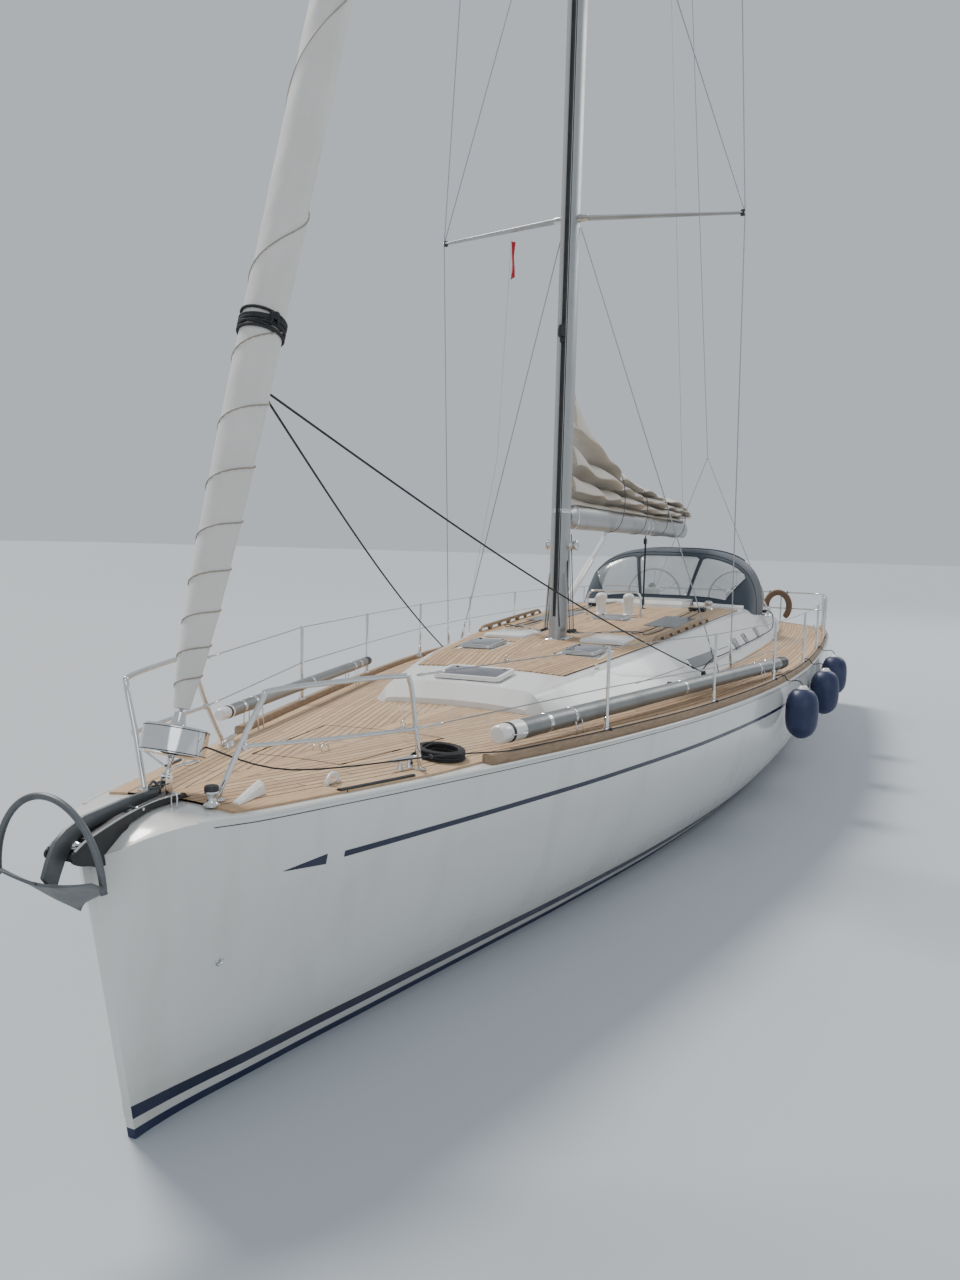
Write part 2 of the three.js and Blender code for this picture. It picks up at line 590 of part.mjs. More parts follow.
function lids() {
  const slope = (x) => -Math.atan2(roofZ(x + 50) - roofZ(x - 50), 100);
  const hatchLid = (name, { aft, fore }, y0, y1) => {
    const [x, y] = [(aft + fore) / 2, (y0 + y1) / 2];
    const lean = Math.tan(slope(x));
    const heights = [aft, fore].flatMap((a) => [y0, y1, y].map((b) => roofZ(a, b) + (a - x) * lean));
    const plate = block(-(fore - aft) / 2, (fore - aft) / 2, -(y1 - y0) / 2, (y1 - y0) / 2, 0, LID);
    add(name, plate.rotateY(slope(x)).translate(x, y, Math.max(...heights) + CLEAR), acrylic);
  };
  hatchLid('forehatch_lid', FORE_HATCH, -FORE_HATCH.half, FORE_HATCH.half);
  hatchLid('hatch_lid_port', MID_HATCH, MID_HATCH.inner, MID_HATCH.outer);
  hatchLid('hatch_lid_starboard', MID_HATCH, -MID_HATCH.outer, -MID_HATCH.inner);
  hatchLid('galley_hatch_lid', GALLEY_HATCH, -GALLEY_HATCH.half, GALLEY_HATCH.half);

  const lockerLid = common(lockerPlate(-24, TEAK), prism(lockerOutline(0), 1200, 1700));
  add('anchor_locker_lid', lockerLid, teak);
  const seatTop = SEAT_Z + CLEAR;
  const seatLid = block(SEAT.aft, SEAT.fore, SEAT.inner, SEAT.outer, seatTop, seatTop + LID);
  add('seat_lid_port', seatLid, teak);
  add('seat_lid_starboard', mirrored(seatLid), teak);

  const slideZ = roofZ(BULKHEAD) + CLEAR;
  const slide = block(BULKHEAD - 45, -3290, -340, 340, slideZ, slideZ + 24);
  add('companionway_slide', slide, acrylic);
  const door = block(BULKHEAD - 30, BULKHEAD - 8, -310, 310, SOLE + 165, slideZ - 12);
  add('companionway_door', door, acrylic);
}

// Deck gear

function rails() {
  // The stanchions stand on the toe rail. Their x positions follow.
  const places = [4360, 2520, 700, -1130, -2960, -4700];
  const rings = spread(TOE_RAIL.aft, TOE_RAIL.fore, 22).map((x) => {
    const [outer, inner] = [halfBeam(x) - TOE_RAIL.outer, halfBeam(x) - TOE_RAIL.inner];
    return [V(x, outer, deckZ(x, outer) - 20), V(x, outer, deckZ(x, outer) + TOE_RAIL.high),
      V(x, inner, deckZ(x, inner) + TOE_RAIL.high), V(x, inner, deckZ(x, inner) - 20)];
  });
  const posts = places.flatMap((x) => {
    const y = halfBeam(x) - 70;
    const z = deckZ(x, y) + TOE_RAIL.high;
    return [rod(V(x, y, z - 20), V(x, y, z + 590), 13, 6), rod(V(x, y, z - 20), V(x, y, z + 80), 21, 6)];
  });
  const rail = joined(loft(rings), ...posts);
  Object.entries(SIDES).forEach(([side, turn]) => {
    add(`rail_${side}`, cut(turn(rail), hullAbove, deckTeak(-30, TOUCH)), teak);
  });
}

function pulpits() {
  const foot = (x, y) => V(x, y, deckZ(x, y) + TEAK + 8);
  const top = tube([foot(7292, 213), V(7248, 300, 1740), V(7204, 393, 1962), V(7160, 418, 2003),
    V(6800, 555, 2010), V(6440, 688, 2004), V(6340, 706, 1965), V(6228, 690, 1695), foot(6107, 663)], 14, 24);
  const mid = tube([V(7236, 318, 1748), V(6800, 500, 1722), V(6238, 691, 1695)], 11, 4);
  const half = joined(top, mid);
  add('pulpit_port', half, steel);
  add('pulpit_starboard', mirrored(half), steel);

  // The aft rail, round the quarters and across the stern.
  const side = (s, z) => [V(-5650, s * 2165, z), V(-6400, s * 2115, z), V(-7150, s * 2030, z),
    V(-7380, s * 1850, z)];
  const ring = (z) => tube([...side(1, z), V(-7430, 1300, z), V(-7440, 0, z), V(-7430, -1300, z),
    ...side(-1, z).reverse()], 14, 26);
  const RING_TOP = 1950;
  const RING_MIDDLE = 1665;
  // Columns: x and y of the leg's head, x and y of its foot, height of the foot above the deck.
  const legRows = [
    [-5650, 2165, -5650, 2160, TOE_RAIL.high + 2],
    [-6400, 2115, -6400, 2112, TOE_RAIL.high + 2],
    [-7150, 2030, -7150, 2040, TOE_RAIL.high + 2],
    [-7430, 1300, -7400, 1300, TEAK + 2],
    [-7440, 420, -7400, 420, TEAK + 2],
  ];
  const legs = legRows.flatMap(([x, y, footX, footY, up]) => [1, -1].map((s) => {
    const low = V(footX, s * footY, deckZ(footX, footY) + up);
    return rod(low, V(x, s * y, RING_TOP), 13, 6);
  }));
  add('pushpit', joined(ring(RING_TOP), ring(RING_MIDDLE), ...legs), steel);
}

// Bow roller: a floor let into the stem head between two black cheeks. Outlines seen from the side: x, z.
const CHEEK_OUTLINE = [
  [7340, 1440], [7800, 1340], [7930, 1360], [8000, 1385], [8017, 1425], [7940, 1464], [7840, 1490],
  [7708, 1516], [7560, 1532], [7400, 1530], [7340, 1520],
];
const FLOOR_OUTLINE = [
  [7340, 1440], [7600, 1380], [7800, 1330], [7880, 1390], [7860, 1440], [7700, 1478], [7600, 1504],
  [7340, 1512],
];
// A flat plate on edge: an outline in x and z, from one y to another.
function sidePlate(outline, y0, y1) {
  return loft([y0, y1].map((y) => outline.map(([x, z]) => V(x, y, z))));
}

function groundTackle() {
  const roller = rod(V(7900, -64, 1425), V(7900, 64, 1425), 28, 12);
  const frame = joined(sidePlate(CHEEK_OUTLINE, 62, 76), sidePlate(CHEEK_OUTLINE, -76, -62),
    sidePlate(FLOOR_OUTLINE, -70, 70), roller);
  add('bow_roller', cut(frame, hullAbove, ...hullWide, deckTeak(-60, TOUCH)), darkPlastic);

  // Columns: x, height, half depth of the shank, how far its end leans.
  const shankRows = [[7450, 1548, 20, 0], [7880, 1516, 32, 0], [8010, 1440, 38, 30], [8070, 1312, 38, 30]];
  const shank = loft(shankRows.map(([x, z, half, lean]) => [[13, -1], [13, 1], [-13, 1], [-13, -1]]
    .map(([y, side]) => V(x + side * lean, y, z + side * half))));
  // Columns: x, height, half width of the fluke.
  const flukeRows = [[8130, 1330, 285], [8060, 1290, 285], [7990, 1215, 170], [7905, 1150, 24]];
  const wing = (side) => loft(flukeRows.map(([x, z, half]) => [[-6, 0], [half, 44], [half, 60], [-6, 18]]
    .map(([y, up]) => V(x, side * y, z + up))));
  const hoop = tube(spread(0, Math.PI, 10).map((a) => {
    const rise = Math.sin(a);
    return V(8062 + 18 * rise, 275 * Math.cos(a), 1330 + 345 * rise);
  }), 15, 12, 6);
  add('anchor', joined(shank, wing(1), wing(-1), hoop), galvanized);

  const BOLLARD = { x: 7370, y: 240 };
  const profile = [[0, 0], [38, 0], [38, 8], [24, 14], [24, 56], [34, 62], [34, 92], [0, 96]];
  const bollard = turned(profile, 14, BOLLARD.x, BOLLARD.y, deckZ(BOLLARD.x, BOLLARD.y) + TEAK - 4);
  add('bow_bollard', cut(bollard, deckTeak(-60, TOUCH)), steel);
}

function steering() {
  const wheel = (y) => {
    const rim = new THREE.TorusGeometry(WHEEL_RADIUS - 16, 16, 6, 24).rotateY(Math.PI / 2);
    const reach = WHEEL_RADIUS - 16;
    const spokes = Array.from({ length: 6 }, (_, k) => {
      const a = (Math.PI * k) / 3;
      return rod(V(0, 0, 0), V(0, reach * Math.sin(a), reach * Math.cos(a)), 8, 5);
    });
    const hub = rod(V(-28, 0, 0), V(28, 0, 0), 46, 14);
    return joined(rim, hub, ...spokes).translate(WHEEL_X, y, WHEEL_Z);
  };
  add('wheel_port', wheel(WHEEL_Y), steel);
  add('wheel_starboard', wheel(-WHEEL_Y), steel);
  const pedestal = (y) => {
    // Columns: height, half length, half width.
    const rows = [[HELM_SOLE + TOUCH, 110, 130], [1500, 70, 90], [WHEEL_Z - 70, 80, 120],
      [WHEEL_Z + 90, 85, 150], [WHEEL_Z + 150, 60, 120]];
    const x = WHEEL_X + 165;
    const column = loft(rows.map(([z, along, across]) => [[1, 1], [-1, 1], [-1, -1], [1, -1]]
      .map(([a, b]) => V(x + a * along, y + b * across, z))));
    const compass = turned([[0, 0], [70, 0], [72, 26], [52, 60], [0, 78]], 12, x, y, WHEEL_Z + 140);
    return joined(column, compass);
  };
  add('pedestal_port', pedestal(WHEEL_Y), gelcoat);
  add('pedestal_starboard', pedestal(-WHEEL_Y), gelcoat);
}

// Folding hood over the companionway. Columns: x, half width, height of the crown.
const HOOD_TABLE = [
  [-3335, 1240, 1875],
  [-3400, 1255, 2060],
  [-3560, 1275, 2380],
  [-3760, 1290, 2610],
  [-4050, 1300, 2705],
  [-4530, 1300, 2700],
];
const HOOD_SKIN = 16;
const HOOD_FOOT = 1600;
function sprayhood() {
  const arch = (x, half, crown) => spread(0, Math.PI, 10).map((a) => {
    const [c, s] = [Math.cos(a), Math.sin(a)];
    const across = half * Math.sign(c) * Math.abs(c) ** 0.62;
    return V(x, across, HOOD_FOOT + (crown - HOOD_FOOT) * Math.abs(s) ** 0.62);
  });
  const outer = loft(HOOD_TABLE.map(([x, half, crown]) => arch(x, half, crown)));
  const inner = loft(HOOD_TABLE.map(([x, half, crown], i) => {
    const through = i === HOOD_TABLE.length - 1 ? 40 : 0;
    return arch(x - HOOD_SKIN - through, half - HOOD_SKIN, crown - HOOD_SKIN);
  }));
  const under = block(-4700, -3200, -1350, 1350, 1500, 1615);
  const lower = block(-4700, -3365, -1275, 1275, 1500, 1640);
  const garage = block(GARAGE.aft - 4, GARAGE.fore, -GARAGE.half - 4, GARAGE.half + 4, 1800, GARAGE.top + 4);
  add('sprayhood', cut(outer, inner, under, lower, coachroofShell(4), coamingShell(4),
    mirrored(coamingShell(4)), garage), canvas);
}

// Long window in the sloping side of the coachroof.
// Columns: x, and the window's lower and upper edge as shares of the way up the side.
const WINDOW_TABLE = [[1240, 0.288, 0.526], [630, 0.268, 0.501], [276, 0.257, 0.487], [34, 0.455, 0.477]];
function windows() {
  const pane = loft(WINDOW_TABLE.map(([x, lowShare, highShare]) => {
    const [top, base, edge] = [1, 2, 3].map((c) => linear(ROOF_TABLE, c, x));
    const at = (f, out) => V(x, mix(base, top, f) + out, mix(deckZ(x, base) - 2, edge, f));
    return [at(lowShare, -12), at(lowShare, 7), at(highShare, 7), at(highShare, -12)];
  }));
  Object.entries(SIDES).forEach(([side, turn]) => {
    const wall = moved(coachroofShell(), 0, side === 'port' ? TOUCH : -TOUCH, TOUCH);
    add(`cabin_window_${side}`, cut(turn(pane), wall), acrylic);
  });
}

// Rig

// Columns: height of the root, height of the tip, half span, sweep aft of the mast's axis.
const SPREADERS = [
  { name: 'spreaders_lower', root: 5810, tip: 5861, span: 1543, sweep: 474 },
  { name: 'spreaders_middle', root: 10050, tip: 10100, span: 1284, sweep: 392 },
  { name: 'spreaders_upper', root: 14250, tip: 14300, span: 1025, sweep: 310 },
];
const CHAINPLATE = { x: 800, cap: 1585, lower: 1470 };

function mast() {
  const section = (z, scale) => Array.from({ length: 14 }, (_, k) => {
    const a = (2 * Math.PI * k) / 14;
    return V(MAST_X + (MAST_LONG / 2) * scale * Math.cos(a), (MAST_WIDE / 2) * scale * Math.sin(a), z);
  });
  const tubeBody = loft([section(MAST_FOOT + 4, 1), section(HOUNDS - 1500, 1), section(MAST_TOP, 0.7)]);
  const crane = block(MAST_X - 420, MAST_X + 160, -22, 22, MAST_TOP - 60, MAST_TOP + 30);
  const step = block(MAST_X - 175, MAST_X + 175, -115, 115, MAST_FOOT - 60, MAST_FOOT + 14);
  const slots = SPREADERS.map(({ root }) => block(MAST_X - 62, MAST_X + 62, -200, 200, root - 26, root + 26));
  add('mast', cut(joined(tubeBody, crane, step), moved(coachroofShell(), 0, 0, TOUCH), ...slots), spar);
  // Columns: share of the way to the tip, half chord, half thickness.
  const rows = [[0, 55, 20], [0.08, 58, 20], [1, 32, 11]];
  SPREADERS.forEach(({ name, root, tip, span, sweep }) => {
    const arm = (side) => loft(rows.map(([f, along, thick]) => {
      const out = Math.max(f - 0.08, 0) / 0.92;
      const [x, y, z] = [MAST_X - sweep * out, side * span * f, mix(root, tip, out)];
      return [[along, 0], [along * 0.3, thick], [-along * 0.5, thick * 0.8], [-along, 0],
        [-along * 0.5, -thick * 0.8], [along * 0.3, -thick]].map(([a, b]) => V(x + a, y, z + b));
    }));
    add(name, joined(arm(1), arm(-1)), spar);
  });
}

function standingRigging() {
  const WIRE = 6;
  const tip = (s) => V(MAST_X - s.sweep, s.span + 18, s.tip);
  const tips = SPREADERS.map(tip);
  const onMast = (z) => V(MAST_X - 40, MAST_WIDE / 2 + 8, z);
  const deck = deckZ(CHAINPLATE.x, CHAINPLATE.lower - 30) + TEAK + 2;
  const capFoot = V(CHAINPLATE.x, CHAINPLATE.cap, deck + 12);
  const lowFoot = V(CHAINPLATE.x, CHAINPLATE.lower, deck + 12);
  const plate = block(CHAINPLATE.x - 60, CHAINPLATE.x + 60, CHAINPLATE.lower - 25, CHAINPLATE.cap + 30,
    deck, deck + 22);
  const shroud = (foot, to) => {
    const along = (d) => foot.clone().lerp(to, d / foot.distanceTo(to));
    return [rod(foot, along(420), 15, 8), rod(along(300), to, WIRE, 6)];
  };
  const pieces = [
    plate,
    ...shroud(capFoot, tips[0]),
    ...shroud(lowFoot, onMast(5740)),
    rod(tips[0], tips[1], WIRE, 8), rod(tips[1], tips[2], WIRE, 8), rod(tips[2], onMast(HOUNDS), WIRE, 8),
    rod(tips[0], onMast(9960), WIRE, 8), rod(tips[1], onMast(14160), WIRE, 8),
    ...tips.map((p) => new THREE.IcosahedronGeometry(16, 1).translate(p.x, p.y, p.z)),
  ];
  const shrouds = joined(...pieces);
  Object.entries(SIDES).forEach(([side, turn]) => {
    add(`shrouds_${side}`, turn(shrouds), wire);
  });

  // The backstay splits into two legs above the deck.
  const crane = V(MAST_X - 380, 0, MAST_TOP - 66);
  const split = V(-6600, 0, 4300);
  const legs = [1, -1].flatMap((side) => {
    const foot = V(-7300, side * 1150, deckZ(-7300, 1150) + 60);
    return [rod(split, foot, WIRE, 8), rod(foot, foot.clone().lerp(split, 0.12), 15, 8),
      block(foot.x - 30, foot.x + 30, foot.y - 9, foot.y + 9, foot.z - 44, foot.z + 22)];
  });
  const yoke = block(split.x - 20, split.x + 20, -30, 30, split.z - 24, split.z + 24);
  add('backstay', joined(rod(crane, split, WIRE, 8), yoke, ...legs), wire);
}

// The forestay runs from the stem head to the hounds. Its axis is the furler's axis.
const STAY_FOOT = V(7385, 0, 1590);
const STAY_HEAD = V(MAST_X + MAST_LONG / 2 + 8, 0, 18100);
function onStay(z) {
  return STAY_FOOT.clone().lerp(STAY_HEAD, (z - STAY_FOOT.z) / (STAY_HEAD.z - STAY_FOOT.z));
}

function headsail() {
  const alongStay = (geometry, z) => {
    const direction = STAY_HEAD.clone().sub(STAY_FOOT).normalize();
    geometry.applyQuaternion(new THREE.Quaternion().setFromUnitVectors(V(0, 0, 1), direction));
    const at = onStay(z);
    return geometry.translate(at.x, at.y, at.z);
  };
  const toggle = block(STAY_FOOT.x - 25, STAY_FOOT.x + 25, -16, 16, 1522, STAY_FOOT.z + 70);
  add('forestay', joined(toggle, rod(STAY_FOOT, STAY_HEAD, 9, 8)), wire);
  const bore = 9 + CLEAR;
  // Columns of both profiles: radius, distance up the stay.
  const drum = turned([[bore, 0], [150, 0], [150, 133], [36, 139], [26, 205], [bore, 205], [bore, 0]], 20,
    0, 0, 0);
  add('furler_drum', alongStay(drum, 1694), steel);
  const roll = turned([[bore, 0], [40, 0], [70, 260], [98, 900], [112, 1900], [116, 4200], [98, 8200],
    [66, 12600], [40, 14900], [26, 15300], [bore, 15300], [bore, 0]], 12, 0, 0, 0);
  add('genoa_furled', alongStay(roll, 1900), sailcloth);
}

function boomAndMainsail() {
  // Columns: x, half height, half width.
  const boomRows = [[GOOSENECK_X + 55, 70, 50], [GOOSENECK_X - 120, 125, 72], [BOOM_END + 100, 125, 72],
    [BOOM_END, 90, 60]];
  const boom = loft(boomRows.map(([x, high, wide]) => Array.from({ length: 10 }, (_, k) => {
    const a = (2 * Math.PI * (k + 0.5)) / 10;
    return V(x, wide * Math.cos(a), BOOM_Z + high * Math.sin(a));
  })));
  add('boom', boom, spar);

  // Sail dropped loosely on the boom: high at the mast, then falling to a low roll along the spar.
  // Columns: distance aft of the swing axis, half width, underside, top.
  const pile = [
    [-10, 62, 120, 1330],
    [90, 95, 128, 1290],
    [300, 150, 130, 1080],
    [700, 200, 130, 900],
    [1300, 215, 130, 720],
    [2000, 205, 130, 560],
    [3000, 205, 130, 500],
    [4200, 215, 130, 440],
    [5200, 215, 130, 400],
    [5950, 150, 130, 300],
  ];
  // The pile's section: share of the half width, share of the height.
  const section = [[0.6, 0], [1, 0.2], [0.95, 0.55], [0.6, 0.88], [0, 1], [-0.6, 0.88], [-0.95, 0.55],
    [-1, 0.2], [-0.6, 0]];
  const sail = loft(pile.map(([back, half, low, high]) => section
    .map(([w, f]) => V(GOOSENECK_X - back, half * w, BOOM_Z + mix(low, high, f)))));
  add('mainsail_flaked', sail, sailcloth);

  const low = V(GOOSENECK_X - 10, 0, 2130);
  const high = V(GOOSENECK_X - 1440, 0, BOOM_Z - 152);
  add('vang', joined(rod(low, high, 26, 10), rod(low, low.clone().lerp(high, 0.58), 36, 10)), spar);
}

// Spinnaker poles stowed on the side decks. Columns: name, fore end, aft end, radius.
const POLES = [
  { name: 'spinnaker_pole_port', fore: V(5410, 840, 1530), aft: V(-180, 2020, 1480), radius: 66 },
  { name: 'spinnaker_pole_starboard', fore: V(6050, -740, 1610), aft: V(2720, -1560, 1550), radius: 42 },
];
function poles() {
  POLES.forEach(({ name, fore, aft, radius }) => {
    const at = (f) => fore.clone().lerp(aft, f);
    const slim = radius * 0.6;
    add(name, joined(rod(at(0), at(0.035), slim, 8, radius), rod(at(0.03), at(0.97), radius, 12),
      rod(at(0.965), at(1), radius, 8, slim)), spar);
  });
}

// Fenders hung along the port side: x of each, and the height of their middle.
const FENDER_PLACES = [400, -1350, -3100];
const FENDER = { z: 1030, radius: 165 };
function fenders() {
  const profile = [[0, -285], [40, -275], [110, -225], [157, -130], [165, 0], [157, 130], [110, 225],
    [42, 275], [0, 285]];
  FENDER_PLACES.forEach((x, k) => {
    const y = halfBeam(x) + FENDER.radius + 7;
    add(`fender_${k + 1}`, turned(profile, 14, x, y, FENDER.z), navy);
  });
}

hull();
stripes();
keel();
rudder();
drive();
superstructure();
lids();
rails();
pulpits();
groundTackle();
steering();
sprayhood();
windows();
mast();
standingRigging();
headsail();
boomAndMainsail();
poles();
fenders();

export default yacht;
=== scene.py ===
# %% [markdown]
# # A cruising sloop, dressed for her portrait
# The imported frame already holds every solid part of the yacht, and the joints between them. This
# lesson lays the finished surfaces over it: a fair hull, laid teak, polished tube, cloth and rope.
# Everything is in metres, with the bow along +X, port along +Y and the water's surface at z = 0.

# %% Load the frame
import math
from math import cos, pi, sin

import bmesh
import bpy
from mathutils import Matrix, Vector


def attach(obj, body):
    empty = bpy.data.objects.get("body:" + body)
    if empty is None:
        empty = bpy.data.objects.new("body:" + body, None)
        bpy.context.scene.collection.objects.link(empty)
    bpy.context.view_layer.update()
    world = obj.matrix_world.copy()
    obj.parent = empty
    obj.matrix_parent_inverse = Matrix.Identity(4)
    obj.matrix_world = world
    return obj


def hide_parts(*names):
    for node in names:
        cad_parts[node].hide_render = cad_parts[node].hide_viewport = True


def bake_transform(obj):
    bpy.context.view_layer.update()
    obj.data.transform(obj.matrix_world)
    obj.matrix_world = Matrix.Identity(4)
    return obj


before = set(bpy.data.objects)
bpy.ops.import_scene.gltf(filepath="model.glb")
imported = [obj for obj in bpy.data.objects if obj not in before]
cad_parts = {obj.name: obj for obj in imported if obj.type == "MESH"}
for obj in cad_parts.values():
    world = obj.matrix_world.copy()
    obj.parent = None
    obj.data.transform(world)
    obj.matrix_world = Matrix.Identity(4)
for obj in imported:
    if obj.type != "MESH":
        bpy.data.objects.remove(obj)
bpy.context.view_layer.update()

# %% [markdown]
# ## The camera
# The picture was taken from the quay, ahead of the port bow and a little above the pulpit. The
# camera's place was worked out once from points whose real places are known, such as the stanchion
# feet and the hatch corners, so it is written here as three directions and a place. A camera in
# Blender looks along its own -Z, so the third column of its matrix is the direction backwards.

# %% Camera
EYE = Vector((10.816, 2.9514, 2.6921))
TO_RIGHT = Vector((-0.384763, 0.922695, 0.024307))
TO_DOWN = Vector((0.082432, 0.060579, -0.994754))
AHEAD = Vector((-0.919327, -0.380741, -0.099368))
PICTURE_HEIGHT = 1280
FOCAL_PIXELS = 962
SENSOR = 36

lens = bpy.data.cameras.new("camera")
lens.sensor_width = SENSOR
lens.lens = FOCAL_PIXELS / PICTURE_HEIGHT * SENSOR
lens.clip_start = 0.05
lens.clip_end = 900
camera = bpy.data.objects.new("camera", lens)
bpy.context.collection.objects.link(camera)
axes = Matrix((TO_RIGHT, -TO_DOWN, -AHEAD)).transposed()
camera.matrix_world = Matrix.Translation(EYE) @ axes.to_4x4()
bpy.context.scene.camera = camera
print("camera lens", round(lens.lens, 2), "mm")

# %% [markdown]
# ## Light
# The real light is a high sun behind thin haze on the far side, with the near topsides in open
# shade. The same reading comes from one soft sun on the starboard side and aft, whose disk is 16
# degrees wide so that shadows have soft edges. One weak panel fills the near side, one lights the
# stern, and the sky is even and pale.

# %% Light
def panel_light(name, place, target, size, power, warmth=(1, 1, 1)):
    """A soft disk of light that looks at a target."""
    data = bpy.data.lights.new(name, "AREA")
    data.shape = "DISK"
    data.size = size
    data.energy = power
    data.color = warmth
    lamp = bpy.data.objects.new(name, data)
    bpy.context.collection.objects.link(lamp)
    aim = (Vector(target) - Vector(place)).to_track_quat("-Z", "Y")
    lamp.matrix_world = Matrix.Translation(place) @ aim.to_matrix().to_4x4()


high_light = bpy.data.lights.new("key", "SUN")
high_light.energy = 3.1
high_light.angle = math.radians(16)
high_light.color = (1, 0.965, 0.92)
key = bpy.data.objects.new("key", high_light)
bpy.context.collection.objects.link(key)
key.matrix_world = Vector((7, 20, -30)).to_track_quat("-Z", "Y").to_matrix().to_4x4()
panel_light("fill", (24, 14, 12), (3, 0, 1.5), 16, 900, (0.93, 0.96, 1))
panel_light("stern", (-26, 14, 20), (-2, 0, 1.5), 14, 2200)

sky = bpy.data.worlds.new("sky")
sky.use_nodes = True
backdrop = sky.node_tree.nodes["Background"]
backdrop.inputs["Color"].default_value = (0.74, 0.8, 0.87, 1)
backdrop.inputs["Strength"].default_value = 0.72
bpy.context.scene.world = sky
print("lights", [light.name for light in bpy.data.lights])

# %% [markdown]
# ## A small language for finishes
# A finish is a Principled shader with a few values that change over the surface. Writing those as
# plain expressions keeps them readable, so one class wraps a socket and turns `+ - * /` into Math
# nodes. Colours go through Mix nodes, because a Math node would turn them grey.

# %% Fields
class Field:
    """A value, colour or vector that changes over a surface. It wraps one socket."""

    def __init__(self, finish, socket):
        self.finish = finish
        self.socket = socket

    def maths(self, operation, first, second=0, third=0):
        values = {0: first, 1: second, 2: third}
        return self.finish.node("ShaderNodeMath", {"operation": operation}, values)

    def __add__(self, other):
        return self.maths("ADD", self, other)

    def __sub__(self, other):
        return self.maths("SUBTRACT", self, other)

    def __rsub__(self, other):
        return self.maths("SUBTRACT", other, self)

    def __mul__(self, other):
        return self.maths("MULTIPLY", self, other)

    def __truediv__(self, other):
        return self.maths("DIVIDE", self, other)

    def __rtruediv__(self, other):
        return self.maths("DIVIDE", other, self)

    __radd__ = __add__
    __rmul__ = __mul__

    def above(self, edge, soft):
        """0 below an edge and 1 above it, with a soft step of the given width between."""
        values = {"Value": self, "From Min": edge - soft / 2, "From Max": edge + soft / 2}
        return self.finish.node("ShaderNodeMapRange", {"interpolation_type": "SMOOTHSTEP"}, values)

    def part(self):
        return self.maths("FRACT", self)

    def whole(self):
        return self.maths("FLOOR", self)

    def size(self):
        return self.maths("ABSOLUTE", self)

    def wave(self):
        return self.maths("SINE", self)

    def most(self, other):
        return self.maths("MAXIMUM", self, other)

    def least(self, other):
        return self.maths("MINIMUM", self, other)


print("fields can be added, multiplied and compared")

# %% [markdown]
# ## Finishes as materials
# A finish holds one material. Constants are set on the shader's own sockets, and only what varies
# comes through nodes. A short method stands for each kind of node, such as noise or a Mix.

# %% Finishes as materials
class Finish:
    """A material: constants on the shader's own sockets, and fields for what varies."""

    def __init__(self, name, **constants):
        self.material = bpy.data.materials.new(name)
        self.material.use_nodes = True
        self.tree = self.material.node_tree
        self.shader = self.tree.nodes["Principled BSDF"]
        for word, value in constants.items():
            self.shader.inputs[word.replace("_", " ")].default_value = value

    def node(self, kind, settings=None, sockets=None, output=0):
        made = self.tree.nodes.new(kind)
        for word, value in (settings or {}).items():
            setattr(made, word, value)
        for word, value in (sockets or {}).items():
            if isinstance(value, Field):
                self.tree.links.new(value.socket, made.inputs[word])
            else:
                made.inputs[word].default_value = value
        return Field(self, made.outputs[output])

    def place(self, stretch=(1, 1, 1)):
        """The point on the boat, in metres, with its axes stretched."""
        point = self.node("ShaderNodeTexCoord", output="Object")
        sockets = {0: point, 1: stretch}
        return self.node("ShaderNodeVectorMath", {"operation": "MULTIPLY"}, sockets)

    def along(self, axis):
        split = {"Vector": self.node("ShaderNodeTexCoord", output="Object")}
        return self.node("ShaderNodeSeparateXYZ", sockets=split, output=axis)

    def kept(self, name):
        """A number stored at each vertex of the mesh."""
        return self.node("ShaderNodeAttribute", {"attribute_name": name}, output="Fac")

    def speckle(self, scale, detail=3, stretch=(1, 1, 1), rough=0.5):
        sockets = {"Vector": self.place(stretch), "Scale": scale, "Detail": detail, "Roughness": rough}
        return self.node("ShaderNodeTexNoise", sockets=sockets)

    def chance(self, number):
        """A random number from 0 to 1 for each whole number."""
        return self.node("ShaderNodeTexWhiteNoise", {"noise_dimensions": "1D"}, {"W": number})

    def colours(self, factor, low, high):
        low, high = (c if isinstance(c, Field) else (*c, 1) for c in (low, high))
        return self.node("ShaderNodeMix", {"data_type": "RGBA"}, {0: factor, 6: low, 7: high}, 2)

    def put(self, **fields):
        for word, value in fields.items():
            self.tree.links.new(value.socket, self.shader.inputs[word.replace("_", " ")])
        return self

    def relief(self, height, distance, strength=1):
        """Bumps of a real height in metres."""
        sockets = {"Height": height, "Distance": distance, "Strength": strength}
        self.put(Normal=self.node("ShaderNodeBump", sockets=sockets))
        return self


print("shader class ready")

# %% [markdown]
# ## Finishes
# Each finish starts from what the real surface does. Gelcoat is a hard gloss with faint orange
# peel and runs of dirt; antifouling is dead matt; bare teak is grey-gold with black caulking;
# stainless steel is bright with faint rubbing marks; sailcloth and canvas are weaves.

# %% Gelcoat, paint and antifouling
def gelcoat_finish(name, clean, grimy, waterline=False):
    finish = Finish(name, Coat_Weight=0.35, Coat_Roughness=0.06, Specular_IOR_Level=0.5)
    cloud = finish.speckle(0.9, 4)
    runs = finish.speckle(3, 4, (1, 1, 0.12)).above(0.62, 0.3)
    dirt = runs * 0.35 + cloud * 0.25
    if waterline:
        low = 1 - finish.along("Z").above(0.3, 0.42)
        dirt = (dirt + low * finish.speckle(5, 5, (0.4, 0.4, 1.6)) * 0.9).least(1)
    fine = finish.speckle(220, 2)
    finish.put(Base_Color=finish.colours(dirt, clean, grimy), Roughness=0.16 + dirt * 0.25 + fine * 0.04)
    return finish.relief(finish.speckle(60, 2), 0.0004, 0.35)


